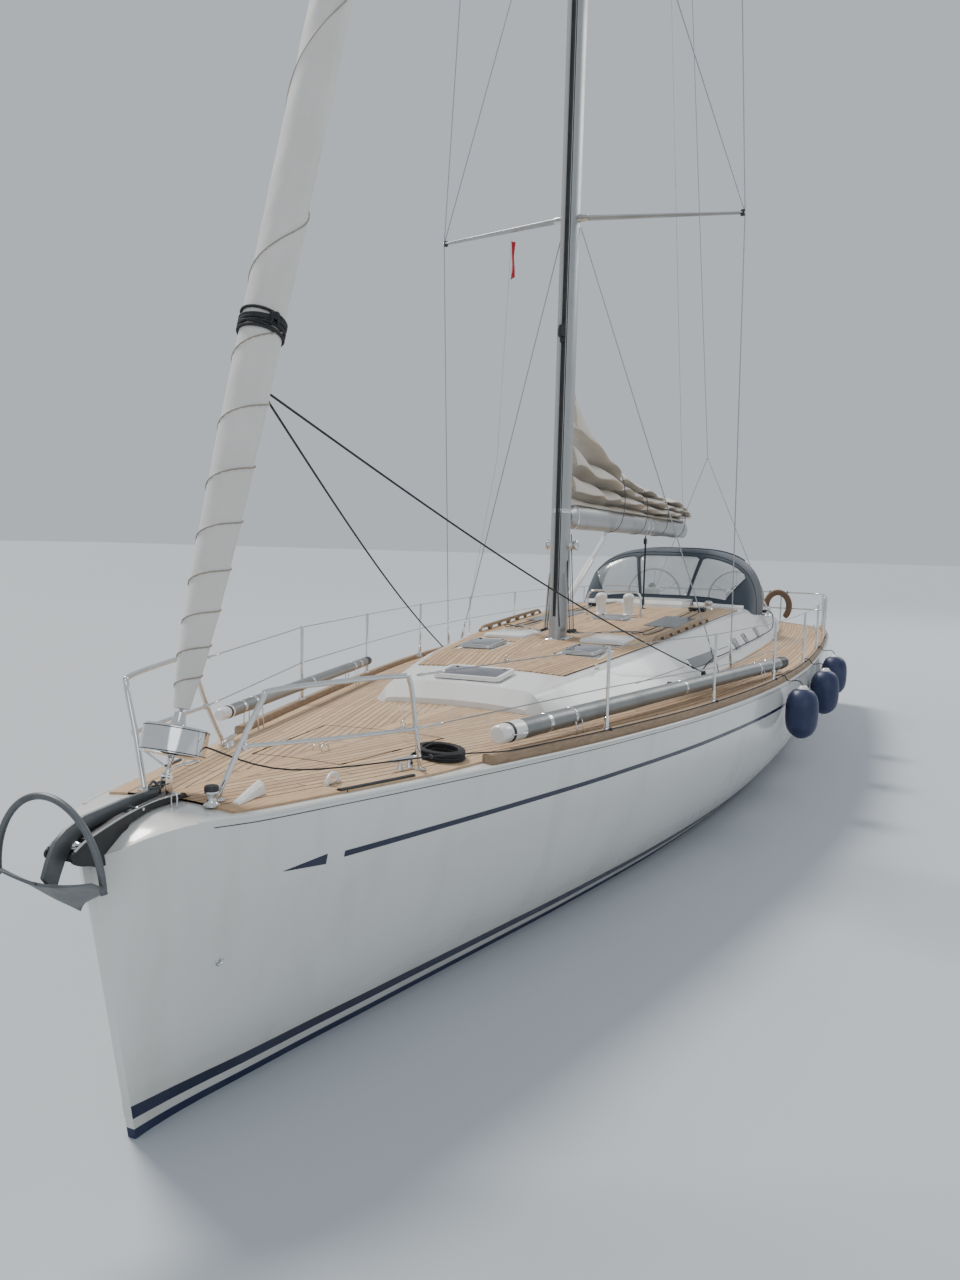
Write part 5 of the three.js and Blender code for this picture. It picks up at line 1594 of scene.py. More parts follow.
roller = Shape()
cheek_line = [(x, max(z, above_deck(x))) for x, z in smooth_outline(CHEEK, 4)]
for y0, y1 in ((0.062, 0.074), (-0.074, -0.062)):
    plate = edge_plate(cheek_line, y0, y1)
    roller.add(plate.points, plate.faces)
floor_line = [(x, max(z, above_deck(x))) for x, z in FLOOR]
plate = edge_plate(floor_line, -0.064, 0.064)
roller.add(plate.points, plate.faces)
roller.make("stem_head_cheeks", black_plastic, stands_for="bow_roller", round_edge=0.003)
bright = Shape()
ROLLER_AT = (7.9, 0, 1.425)
for side in (1, -1):
    top_line = [(7.36, 1.5215), (7.42, 1.5318), (7.56, 1.5335), (7.708, 1.5175), (7.84, 1.4915),
                (7.94, 1.4655), (8, 1.437)]
    bright.pipe(flowing([(x, side * 0.068, z) for x, z in top_line], 6), 0.0062, 8)
bright.turned([(0, -0.061), (0.027, -0.061), (0.028, -0.052), (0.017, -0.02), (0.014, 0), (0.017, 0.02),
               (0.028, 0.052), (0.027, 0.061), (0, 0.061)], ROLLER_AT, 28, (0, 1, 0))
bright.turned([(0, -0.078), (0.009, -0.078), (0.009, 0.078), (0, 0.078)], ROLLER_AT, 16, (0, 1, 0))
bright.turned([(0, -0.0775), (0.007, -0.0775), (0.007, 0.0775), (0, 0.0775)], (7.62, 0, 1.519), 14,
              (0, 1, 0))
bright.make("stem_head_rollers", polished)
print("bow roller done")

# %% [markdown]
# ## Anchor
# Cast and welded, then dipped in zinc, so it is dull and a little lumpy. The shank is a flat bar
# that bends down, and a round hoop joins the edges of the hollow fluke.

# %% Anchor
anchor = Shape()
SHANK = [(7.45, 1.548, 0.02, 0), (7.66, 1.537, 0.027, 0), (7.88, 1.516, 0.032, 0.004),
         (7.965, 1.482, 0.035, 0.016), (8.01, 1.44, 0.038, 0.028), (8.045, 1.375, 0.038, 0.031),
         (8.07, 1.312, 0.038, 0.03)]
rings = []
for x, z, half, lean in SHANK:
    ring = []
    for y, up in ((0.009, -1), (0.012, -0.7), (0.012, 0.7), (0.009, 1), (-0.009, 1), (-0.012, 0.7),
                  (-0.012, -0.7), (-0.009, -1)):
        ring.append(xyz(x + up * lean, y, z + up * half))
    rings.append(ring)
anchor.loft(rings)
FLUKE = [(8.128, 1.33, 0.283), (8.1, 1.311, 0.289), (8.06, 1.29, 0.285), (8.025, 1.252, 0.235),
         (7.99, 1.215, 0.17), (7.945, 1.18, 0.092), (7.905, 1.15, 0.022)]
for side in (1, -1):
    rings = []
    for x, z, half in FLUKE:
        upper, lower = [], []
        for k in range(9):
            f = k / 8
            rise = 0.052 * f ** 1.7
            upper.append(xyz(x, side * mix(-0.004, half, f), z + rise + mix(0.016, 0.007, f)))
            lower.append(xyz(x, side * mix(-0.004, half, f), z + rise))
        rings.append(upper + lower[::-1])
    anchor.loft(rings)
hoop = [(8.062 + 0.018 * sin(a), 0.275 * cos(a), 1.33 + 0.345 * sin(a))
        for a in spread(0, pi, 40)]
anchor.pipe([(8.062, 0.279, 1.318), *hoop, (8.062, -0.279, 1.318)], 0.0145, 14)
anchor.pipe(flowing([(7.462, 0, 1.556), (7.452, 0, 1.58), (7.47, 0, 1.598), (7.497, 0, 1.585),
                     (7.494, 0, 1.556)], 5), 0.006, 8)
anchor.make("bow_anchor", galvanised, stands_for="anchor", round_edge=0.0025, crease=42)
chain = Shape()
for k in range(3):
    x = 7.462 - 0.034 * k
    turn = Matrix.Rotation(pi / 2 * (k % 2), 3, "X")
    link = [xyz(x, 0, 1.572) + turn @ xyz(0.026 * cos(a), 0.014 * sin(a), 0)
            for a in round_about(14)]
    chain.pipe(link, 0.005, 8, closed=True)
chain.make("anchor_chain_end", galvanised)
print("anchor done")

# %% [markdown]
# ## Bollard, bow eye and chain pipe
# A turned post with a black cap stands by the port bow. A bent eye takes a safety line, and a
# small hood covers the pipe that leads the chain below.

# %% Bollard, bow eye and chain pipe
bollard = Shape()
bollard_foot = deck_foot(7.37, 0.24, TEAK_THICK - 0.001)
bollard.turned([(0, 0), (0.036, 0), (0.0365, 0.006), (0.03, 0.011), (0.022, 0.02), (0.0205, 0.034),
                (0.022, 0.048), (0.028, 0.056), (0.032, 0.06), (0.0325, 0.068), (0, 0.07)], bollard_foot,
               32)
bollard.make("bow_bollard_body", polished, stands_for="bow_bollard")
cap = Shape().turned([(0, 0.066), (0.031, 0.066), (0.033, 0.072), (0.033, 0.086), (0.029, 0.092),
                      (0, 0.094)], bollard_foot, 32)
cap.make("bow_bollard_cap", black_plastic)
eye = Shape().pipe(flowing([deck_foot(7.47, 0.1, 0.004), (7.47, 0.1, 1.545), (7.47, 0.115, 1.562),
                            (7.47, 0.13, 1.545), deck_foot(7.47, 0.13, 0.004)], 5), 0.005, 10)
eye.make("stem_u_bolt", polished)

pipe_hood = Shape()
rings = []
for f in spread(0, 1, 10):
    x = mix(7.285, 7.06, f)
    high = mix(0.01, 0.062, f ** 0.8)
    half = mix(0.022, 0.036, f)
    middle = mix(0.305, 0.275, f)
    ring = [xyz(x, middle + half * cos(a), deck_z(x, middle) + TEAK_THICK - 0.001 + high * sin(a))
            for a in spread(0, pi, 10)]
    rings.append(ring)
pipe_hood.loft(rings)
pipe_hood.make("chain_pipe_hood", vent_white, crease=60)
print("bollard, eye and chain pipe done")

# %% [markdown]
# ## Fairleads, cleats and tracks
# Mooring lines are made fast to horn cleats inboard of the toe rail. The genoa's sheets lead
# through cars on tracks on the side decks, and back over blocks to the winches by the helms.

# %% Deck fittings
def cleat(shape, at, heading, scale=1):
    along = xyz(cos(heading), sin(heading), 0)
    up = xyz(0, 0, 1)
    at = Vector(at)
    horn = [at - along * 0.12 * scale + up * 0.047 * scale, at - along * 0.07 * scale + up * 0.052 * scale,
            at + up * 0.05 * scale, at + along * 0.07 * scale + up * 0.052 * scale,
            at + along * 0.12 * scale + up * 0.047 * scale]
    swell = [0.004, 0.007, 0.0085, 0.0095, 0.011, 0.012, 0.0125, 0.013]
    shape.pipe(flowing(horn, 4), [r * scale for r in (*swell, 0.0135, *swell[::-1])], 12)
    for end in (-0.035, 0.035):
        foot = at + along * end * scale
        shape.turned([(0.021 * scale, 0), (0.019 * scale, 0.006 * scale), (0.0105 * scale, 0.02 * scale),
                      (0.0105 * scale, 0.045 * scale)], foot, 14)


print("cleats can be placed")

# %% [markdown]
# ## Winches
# A winch is a drum with a waist, ribs that grip the rope and a self-tailing jaw on top. One turned
# profile gives the form, and thin rods make the ribs.

# %% Winches
def winch(shape, at, scale=1):
    profile = [(0, 0), (0.078, 0), (0.08, 0.008), (0.07, 0.014), (0.058, 0.026), (0.053, 0.05),
               (0.0545, 0.078), (0.064, 0.092), (0.071, 0.096), (0.0715, 0.1), (0.064, 0.104),
               (0.062, 0.11), (0.0715, 0.114), (0.0715, 0.12), (0.052, 0.128), (0.047, 0.14),
               (0.03, 0.143), (0.014, 0.143), (0.013, 0.128), (0, 0.128)]
    shape.turned([(r * scale, h * scale) for r, h in profile], at, 36)
    for k in range(18):
        angle = 2 * pi * k / 18
        out = xyz(cos(angle), sin(angle), 0)
        shape.rod(Vector(at) + out * 0.0545 * scale + xyz(0, 0, 0.03 * scale),
                  Vector(at) + out * 0.0565 * scale + xyz(0, 0, 0.084 * scale), 0.0028 * scale, 6)


print("winches can be placed")

# %% [markdown]
# ## Placing the deck fittings
# Nearly all fittings stand in pairs, so they are drawn once for the port side and mirrored.

# %% Placing the deck fittings
SPRING_X = -6.35
HELM_WINCH = (-4.62, 1.29)
metal = Shape()
for x in (6.15, -0.2, -6.9):
    cleat(metal, deck_foot(x, half_beam(x) - 0.21, TEAK_THICK),
          math.atan2(-(half_beam(x - 0.2) - half_beam(x + 0.2)), 0.4))
track = [(2.46, 1.22), (1.755, 1.293), (0.66, 1.511 - 0.02)]
for (xa, ya), (xb, yb) in ((track[0], track[1]), (track[1], track[2])):
    metal.loft([[xyz(x, y + d, deck_z(x, y) + TEAK_THICK + h) for d, h in ((-0.016, 0), (-0.016, 0.012),
            (-0.006, 0.0155), (0.006, 0.0155), (0.016, 0.012), (0.016, 0))]
                for x, y in [(mix(xa, xb, f), mix(ya, yb, f)) for f in spread(0, 1, 8)]])
metal.pipe(flowing([deck_foot(6.04, 0.03, 0.01), (6.04, 0.03, deck_z(6.04, 0.03) + 0.035),
                    (6.075, 0.03, deck_z(6.04, 0.03) + 0.05), (6.11, 0.03, deck_z(6.04, 0.03) + 0.035),
                    deck_foot(6.11, 0.03, 0.01)], 5), 0.0045, 10)
for x, y in ((-5.15, 1.29), HELM_WINCH):
    top = straight(COAMING, 4, x)
    winch(metal, (x, y, top - 0.004), 1 if x < -5 else 0.9)
cleat(metal, (SPRING_X, 1.275, straight(COAMING, 4, SPRING_X) - 0.001), 0, 0.75)
make_pair(metal, "deck_metalwork", polished)
dark = Shape()
for x, y in ((2.2, 1.247), (1.25, 1.39)):
    z = deck_z(x, y) + TEAK_THICK
    dark.turned([(0, -0.02), (0.03, -0.018), (0.034, -0.01), (0.026, 0), (0.034, 0.01), (0.03, 0.018),
                 (0, 0.02)], (x, y, z + 0.058), 24, (0.1, 1, 0.15))
    dark.block((x - 0.05, y - 0.026, z + 0.013), (x + 0.05, y + 0.026, z + 0.032))
for k in range(4):
    dark.block((-2.28, 0.6 + 0.055 * k, roof_z(-2.3, 0.7) + 0.009),
               (-2.1, 0.645 + 0.055 * k, roof_z(-2.2, 0.7) + 0.055))
make_pair(dark, "deck_blocks", black_plastic, round_edge=0.004)
roof_winch = Shape()
winch(roof_winch, (-2.62, 0.78, roof_z(-2.62, 0.78) + 0.008), 0.85)
make_pair(roof_winch, "roof_winch", polished)
print("deck fittings placed")

# %% [markdown]
# ## Vents, guards and grab rails
# Two tall white vents stand abaft the small hatch. A bent hoop before them keeps the sheets off.
# A teak grab rail runs along each edge of the roof, scalloped so that hands and water pass under
# it. Inboard of it lies a flat grey solar panel, and white mouldings flank the mast.

# %% Roof fittings
VENT_X, GUARD_X = -0.95, -0.745
domes = Shape()
for y in (-0.28, 0.07):
    domes.turned([(0, -0.01), (0.076, -0.01), (0.078, 0.004), (0.066, 0.012), (0.062, 0.03),
                  (0.061, 0.19), (0.066, 0.196), (0.071, 0.206), (0.071, 0.22), (0.064, 0.24),
                  (0.048, 0.256), (0.024, 0.267), (0, 0.27)], (VENT_X, y, roof_z(VENT_X, y) + ROOF_SKIN),
                 36)
domes.make("tall_vents", vent_white, crease=60)
guard = Shape()
z = roof_z(GUARD_X, 0.3) + ROOF_SKIN
hoop = [(-0.4, 0), (-0.4, 0.2), (-0.375, 0.275), (-0.3, 0.305), (-0.065, 0.31), (0.17, 0.305),
        (0.245, 0.275), (0.27, 0.2), (0.27, 0)]
guard.pipe(flowing([(GUARD_X, y, z + up) for y, up in hoop], 8), 0.0125, 14)
for y in (-0.4, 0.27):
    flange(guard, xyz(GUARD_X, y, z + 0.004), 0.028)
guard.make("vent_guard", polished, crease=60)
print("vents and guard done")

# %% [markdown]
# ## Panels, mouldings and grab rails
# The grab rail is a bar whose underside rises between its feet. It is lofted along the roof's
# edge, and a sine decides where the feet are.

# %% Panels, mouldings and grab rails
solar = Shape().slab(spread(0.16, -1.08, 10), lambda x: spread(0.88, 0.52, 6),
                     lambda x, y: roof_z(x, y) + ROOF_SKIN + 0.0006, lambda x, y: roof_z(x, y) + 0.0155)
make_pair(solar, "solar_panel", solar_grey, round_edge=0.002)
pad = Shape().loft([[xyz(x + 1.55, y + 0.5, roof_z(1.55, 0.74) + z)
                     for x, y in rounded_outline(0.33 - inset, 0.22 - inset, 0.05)]
                    for z, inset in ((0.002, 0), (0.03, 0.002), (0.036, 0.008), (0.038, 0.016))])
make_pair(pad, "mast_moulding", deck_gelcoat, crease=60)
handrail = Shape()
ends = [(1.45, 0.93), (-0.85, 1.06)]
steps = 60
rings = []
for k in range(steps + 1):
    f = k / steps
    x, y = mix(ends[0][0], ends[1][0], f), mix(ends[0][1], ends[1][1], f)
    z = roof_z(x, y) + ROOF_SKIN
    wave = abs(sin(pi * f * 7))
    low = 0 if wave < 0.28 or k in (0, steps) else 0.032
    taper = min(1, 0.45 + min(f, 1 - f) * 14)
    rings.append([xyz(x, y + d * 0.017, z + (mix(low, 0.06, u)) * (taper if u else 1)) for d, u in
                  ((-1, 0), (-1, 0.75), (-0.6, 1), (0.6, 1), (1, 0.75), (1, 0))])
handrail.loft(rings)
make_pair(handrail, "grab_rail", rail_teak, crease=45)
breakwater = Shape()
for side in (1, -1):
    breakwater.loft([[xyz(x, side * y, roof_z(x, y) + h) for x, h in ((-3.255, 0.002), (-3.275, 0.04),
            (-3.29, 0.048), (-3.318, 0.048), (-3.322, 0.002))] for y in spread(0.45, 1.165, 8)])
breakwater.make("hood_breakwater", deck_gelcoat, round_edge=0.004)
print("deck gear done")

# %% [markdown]
# ## Steering
# Each wheel is a large ring of tube covered in stitched leather, on six thin spokes. Rim, spokes
# and the whippings round the leather are three pieces, and all ride on the wheel's own body.

# %% Wheels
WHEEL_X, WHEEL_Y, WHEEL_Z, WHEEL_RADIUS = -5.9, 0.7, 1.88, 0.47
for side, word in SIDES:
    middle = xyz(WHEEL_X, side * WHEEL_Y, WHEEL_Z)
    reach = WHEEL_RADIUS - 0.0165
    rim = Shape()
    rim_line = [middle + xyz(0, reach * cos(a), reach * sin(a)) for a in round_about(96)]
    rim.pipe(rim_line, 0.0155, 12, closed=True)
    rim.make("wheel_rim_" + word, wheel_leather, "wheel_" + word, "wheel_" + word, crease=70)
    spokes = Shape()
    for k in range(6):
        a = pi * k / 3
        out = xyz(0, sin(a), cos(a))
        spokes.pipe([middle + out * 0.04, middle + out * 0.1, middle + out * (reach - 0.01)],
                    [0.0095, 0.0075, 0.006], 10)
    spokes.turned([(0, -0.028), (0.042, -0.028), (0.046, -0.022), (0.046, 0.02), (0.036, 0.026),
                   (0.018, 0.028), (0, 0.028)], middle, 32, (1, 0, 0))
    spokes.make("wheel_spokes_" + word, polished, "wheel_" + word, crease=50)
    ties = Shape()
    for a in round_about(4):
        centre = middle + xyz(0, reach * cos(a), reach * sin(a))
        ring = [centre + Matrix.Rotation(a, 3, "X") @ xyz(0.0158 * cos(b), 0.0158 * sin(b), 0)
                for b in round_about(12)]
        ties.pipe(ring, 0.0016, 5, closed=True)
    ties.make("wheel_whippings_" + word, black_rope, "wheel_" + word)
print("wheels done")

# %% [markdown]
# ## Pedestals
# Each pedestal is one moulding that swells towards its head. It is lofted over rounded rectangles,
# and the compass, the instruments and the throttle are separate pieces, as they are bolted on.

# %% Pedestals
for side, word in SIDES:
    x, y = WHEEL_X + 0.165, side * WHEEL_Y
    column = Shape()
    rows = [(HELM_SOLE + 0.011, 0.108, 0.128), (1.1, 0.1, 0.118), (1.3, 0.082, 0.102), (1.5, 0.07, 0.09),
            (1.7, 0.076, 0.108), (1.81, 0.08, 0.12), (1.9, 0.085, 0.142), (1.97, 0.085, 0.15),
            (2, 0.08, 0.146), (2.03, 0.06, 0.12)]
    column.loft([[xyz(x + a, y + b, z) for a, b in rounded_outline(along, across, 0.05, 5)]
                 for z, along, across in rows])
    column.make("pedestal_moulding_" + word, deck_gelcoat, stands_for="pedestal_" + word, crease=50)
    dome = Shape().turned([(0, 0), (0.069, 0), (0.0715, 0.012), (0.07, 0.026), (0.06, 0.03), (0, 0.03)],
                          (x, y, WHEEL_Z + 0.142), 36)
    dome.make("compass_bezel_" + word, black_plastic)
    glass = Shape().turned([(0.058, 0.028), (0.056, 0.042), (0.048, 0.057), (0.034, 0.069),
                            (0.016, 0.076), (0, 0.077)], (x, y, WHEEL_Z + 0.142), 32)
    glass.make("compass_glass_" + word, window_glass, crease=80)
    pod = Shape()
    for b in (-0.07, 0.07):
        pod.block((x - 0.089, y + b - 0.052, 1.915), (x - 0.083, y + b + 0.052, 1.995))
    pod.make("helm_instruments_" + word, window_glass, round_edge=0.002)
    lever = Shape().pipe(flowing([(x + 0.05, y - 0.102 * side, 1.74), (x + 0.05, y - 0.125 * side, 1.76),
                                  (x + 0.06, y - 0.128 * side, 1.88)], 5), 0.006, 10)
    lever.turned([(0, 0), (0.012, 0.004), (0.014, 0.02), (0.01, 0.035), (0, 0.04)],
                 (x + 0.06, y - 0.128 * side, 1.87), 16)
    lever.make("throttle_lever_" + word, polished)
print("pedestals done")

# %% [markdown]
# ## Sprayhood
# The hood is canvas stretched over two bent tubes, with three clear panes sewn into its front. It
# is lofted like its pattern: arches from the foot up and back over the crew. Cloth between two
# frames draws in a little, and small puckers run along each seam.

# %% Sprayhood
HOOD = [(-3.335, 1.24, 1.875), (-3.4, 1.255, 2.06), (-3.56, 1.275, 2.38), (-3.76, 1.29, 2.61),
        (-4.05, 1.3, 2.705), (-4.53, 1.3, 2.7)]
HOOD_FOOT = 1.6
HOOD_HEM = 1.728
HOOD_POWER = 0.62


def hood_profile(f):
    """Distance along the pattern, 0 at the front's foot and 1 at the aft edge: x, half width, crown."""
    lengths = [0]
    for a, b in zip(HOOD, HOOD[1:]):
        lengths.append(lengths[-1] + math.hypot(b[0] - a[0], b[2] - a[2]))
    rows = [(length / lengths[-1], *row) for length, row in zip(lengths, HOOD)]
    return tuple(fair(rows, k, f) if 0 < f < 1 else rows[0 if f <= 0 else -1][k] for k in (1, 2, 3))


def hood_point(f, angle, inset=0):
    x, half, crown = hood_profile(f)
    c, s = cos(angle), sin(angle)
    across = (half - inset) * math.copysign(abs(c) ** HOOD_POWER, c)
    up = (crown - HOOD_FOOT - inset) * abs(s) ** HOOD_POWER
    return xyz(x - inset * 0.5 * (1 - f), across, HOOD_FOOT + up)


def bow_angle(f, share):
    """Angles measured so that the hood's cloth starts at its foot and goes over to the other side."""
    x, half, crown = hood_profile(f)
    low = math.asin(clamp(((HOOD_HEM - HOOD_FOOT) / (crown - HOOD_FOOT)) ** (1 / HOOD_POWER), 0, 1))
    return mix(low, pi - low, share)


def spread_evenly(f, count):
    """Shares of the arch at equal distances along it, for cells of even size."""
    fine = [bow_angle(f, i / 400) for i in range(401)]
    points = [hood_point(f, a) for a in fine]
    run = [0]
    for a, b in zip(points, points[1:]):
        run.append(run[-1] + (b - a).length)
    angles, j = [], 0
    for i in range(count + 1):
        target = run[-1] * i / count
        while j < 399 and run[j + 1] < target:
            j += 1
        span = max(run[j + 1] - run[j], 1e-9)
        angles.append(mix(fine[j], fine[j + 1], clamp((target - run[j]) / span, 0, 1)))
    return angles, run[-1]


print("hood pattern ready")

# %% [markdown]
# ## The hood's grid
# The cloth is laid out in even cells. It sags between the frames, and small puckers run along the
# seams.

# %% The hood's grid
HOOD_ROWS, HOOD_COLUMNS = 34, 72
FRONT = 0.56
hood_grid = []
arch_length = 0
for i in range(HOOD_ROWS + 1):
    f = i / HOOD_ROWS
    angles, length = spread_evenly(f, HOOD_COLUMNS)
    arch_length = max(arch_length, length)
    row = []
    for j, angle in enumerate(angles):
        u = j / HOOD_COLUMNS
        sag = 0.01 * sin(pi * clamp((f - 0.62) / 0.38, 0, 1)) * sin(pi * u)
        pucker = 0.0016 * sin(u * 95) * (math.exp(-((f - FRONT) / 0.02) ** 2)
                                         + math.exp(-((f - 0.985) / 0.02) ** 2))
        row.append(hood_point(f, angle, 0.002 + sag + pucker))
    hood_grid.append(row)
print("hood grid", HOOD_ROWS, "by", HOOD_COLUMNS)

# %% [markdown]
# ## Canvas and panes
# Cells inside a pane go to clear vinyl and the others to canvas. Triangles at the upper corners
# round a pane off.

# %% Canvas and panes
PANES = [(0.16, 0.355), (0.375, 0.625), (0.645, 0.84)]
PANE_LOW, PANE_HIGH = 0.08, FRONT - 0.05


def pane_cells():
    """The first and last row and column of the cells in each pane."""
    i0, i1 = round(PANE_LOW * HOOD_ROWS), round(PANE_HIGH * HOOD_ROWS)
    return [(i0, i1, round(a * HOOD_COLUMNS), round(b * HOOD_COLUMNS)) for a, b in PANES]


hood_cloth, hood_panes = Shape(), Shape()
points = [p for row in hood_grid for p in row]
wide = HOOD_COLUMNS + 1
cloth_faces, pane_faces = [], []
for i in range(HOOD_ROWS):
    for j in range(HOOD_COLUMNS):
        a, b, c, d = i * wide + j, i * wide + j + 1, (i + 1) * wide + j + 1, (i + 1) * wide + j
        home = [(i0, i1, j0, j1) for i0, i1, j0, j1 in pane_cells() if i0 <= i < i1 and j0 <= j < j1]
        if not home:
            cloth_faces.append([a, b, c, d])
        elif i == home[0][1] - 1 and j == home[0][2]:
            pane_faces.append([a, b, c])
            cloth_faces.append([a, c, d])
        elif i == home[0][1] - 1 and j == home[0][3] - 1:
            pane_faces.append([a, b, d])
            cloth_faces.append([b, c, d])
        else:
            pane_faces.append([a, b, c, d])
hood_cloth.add(points, cloth_faces)
hood_panes.add(points, pane_faces)


def loose_points_off(piece):
    work = bmesh.new()
    work.from_mesh(piece.data)
    bmesh.ops.delete(work, geom=[v for v in work.verts if not v.link_faces], context="VERTS")
    work.to_mesh(piece.data)
    work.free()


def thicken(piece, thickness, offset=-1):
    shell = piece.modifiers.new("thickness", "SOLIDIFY")
    shell.thickness = thickness
    shell.offset = offset


cloth = hood_cloth.make("sprayhood_canvas", canvas, stands_for="sprayhood", crease=80)
loose_points_off(cloth)
thicken(cloth, 0.002)
panes = hood_panes.make("sprayhood_panes", clear_vinyl, crease=80)
loose_points_off(panes)
thicken(panes, 0.0012)
print("hood cloth done")

# %% [markdown]
# ## Bindings and tubes
# Binding covers the edge where vinyl meets canvas. Two bent tubes run just under the cloth, and a
# sleeve covers the after one.

# %% Bindings and tubes
binding = Shape()
for i0, i1, j0, j1 in pane_cells():
    border = [hood_grid[i0][j] for j in range(j0, j1)] + [hood_grid[i][j1] for i in range(i0, i1)]
    border += [hood_grid[i1][j] for j in range(j1 - 1, j0, -1)] + [hood_grid[i][j0]
            for i in range(i1 - 1, i0, -1)]
    binding.pipe(border, 0.007, 6, closed=True, flat=0.5)
binding.pipe([row + xyz(0.002, 0, 0.002) for row in hood_grid[round(FRONT * HOOD_ROWS)]], 0.007, 8,
             flat=0.6)
binding.make("sprayhood_binding", canvas, crease=80)
frame_tubes = Shape()
for f in (0.985, FRONT):
    angles, _ = spread_evenly(f, 60)
    frame_tubes.pipe([hood_point(f, a, 0.02) for a in angles], 0.0115, 12)
frame_tubes.make("sprayhood_frame", polished, crease=70)
grab = Shape()
angles, _ = spread_evenly(0.99, 60)
grab_line = [hood_point(0.99, a, -0.001) for a in angles[14:47]]
grab.pipe(grab_line, 0.0145, 12)
grab.make("sprayhood_edge_sleeve", canvas, crease=70)
round(arch_length * 0.7, 2)
base_strip = Shape().pipe([hood_grid[0][j] + xyz(0.004, 0, 0.004) for j in range(4, HOOD_COLUMNS - 3)],
                          0.014, 8, flat=0.7)
base_strip.make("sprayhood_foot_strip", black_plastic, crease=70)

# %% [markdown]
# ## Mast and spreaders
# The mast is an oval extrusion with a luff track on its after side, tapered at the top. The
# spreaders are flattened aerofoil tubes, raked aft. Their tips carry the shrouds.

# %% Mast
MAST_X, MAST_FOOT, MAST_TOP, HOUNDS = 1.66, 1.774, 20.2, 18.3
MAST_LONG, MAST_WIDE = 0.28, 0.165


def mast_section(z, scale, count=40):
    ring = []
    for k in range(count):
        a = 2 * pi * k / count
        c, s = cos(a), sin(a)
        ring.append(xyz(MAST_X + MAST_LONG / 2 * scale * math.copysign(abs(c) ** 0.92, c),
                        MAST_WIDE / 2 * scale * math.copysign(abs(s) ** 0.92, s), z))
    return ring


mast = Shape()
taper = [(MAST_FOOT + 0.012, 1), *[(z, 1) for z in (4, 7, 10, 13)], (HOUNDS - 1.5, 1), (MAST_TOP, 0.7)]
mast.loft([mast_section(z, s) for z, s in taper])
mast.block((MAST_X - 0.42, -0.02, MAST_TOP - 0.058), (MAST_X + 0.16, 0.02, MAST_TOP + 0.028))
mast.make("mast_extrusion", spar_alloy, stands_for="mast", crease=40)
step = Shape().loft([[xyz(MAST_X + a, b, z) for a, b in rounded_outline(0.172 - inset, 0.112 - inset,
        0.06)] for z, inset in ((MAST_FOOT - 0.052, 0), (MAST_FOOT - 0.004, 0),
                                (MAST_FOOT + 0.008, 0.012), (MAST_FOOT + 0.0125, 0.02))])
step.make("mast_step", polished)
track = Shape().loft([[xyz(x, y, z) for x, y in ((1.519, -0.012), (1.527, -0.02), (1.527, 0.02),
                                                 (1.519, 0.012))] for z in (3.2, HOUNDS - 1.5)])
track.loft([[xyz(x, y, z) for x, y in ((1.799, -0.016), (1.8055, -0.013), (1.8055, 0.013),
                                       (1.799, 0.016))] for z in (2, 9.9)])
track.make("mast_tracks", black_plastic)
mast_fittings = Shape().loft([mast_section(z, s) for z, s in ((3.015, 1), (3.02, 1.018), (3.05, 1.018),
                                                              (3.055, 1))])
mast_fittings.make("mast_band", polished)
print("mast done")

# %% [markdown]
# ## Deck light and sheaves
# A lamp on the mast's front lights the foredeck. Halyards run over sheaves at both ends of the
# masthead crane.

# %% Deck light and sheaves
lamp = Shape().turned([(0, 0), (0.034, 0), (0.038, 0.02), (0.036, 0.07), (0.03, 0.11), (0, 0.12)],
                      (MAST_X + 0.178, 0, 4.68), 24)
lamp.block((MAST_X + 0.135, -0.02, 4.63), (MAST_X + 0.17, 0.02, 4.78))
lamp.make("mast_deck_light", black_plastic, round_edge=0.003)
mast_head = Shape()
for x, z in ((MAST_X - 0.36, MAST_TOP - 0.02), (MAST_X + 0.12, MAST_TOP - 0.02)):
    mast_head.turned([(0, -0.024), (0.034, -0.024), (0.036, -0.018), (0.028, 0), (0.036, 0.018),
                      (0.034, 0.024), (0, 0.024)], (x, 0, z), 24, (0, 1, 0))
mast_head.make("masthead_sheaves", black_plastic)
print("masthead done")

# %% [markdown]
# ## Spreaders
# A spreader is a flat tube that thins towards its tip and is raked aft. An ellipse lofted along
# its length gives that form.

# %% Spreaders
SPREADERS = {
    "spreaders_lower": (5.81, 5.861, 1.543, 0.474),
    "spreaders_middle": (10.05, 10.1, 1.284, 0.392),
    "spreaders_upper": (14.25, 14.3, 1.025, 0.31),
}


def spreader_arm(root, tip, span, sweep):
    rings = []
    for f in spread(0, 1, 24):
        out = max(f - 0.08, 0) / 0.92
        chord = mix(0.055, 0.058, f / 0.08) if f < 0.08 else mix(0.058, 0.032, out)
        thick = mix(0.02, 0.011, out)
        x, y, z = MAST_X - sweep * out, span * f, mix(root, tip, out)
        ring = []
        for k in range(16):
            a = 2 * pi * k / 16
            ring.append(xyz(x + chord * cos(a), y, z + thick * sin(a)))
        rings.append(ring)
    return Shape().loft(rings)


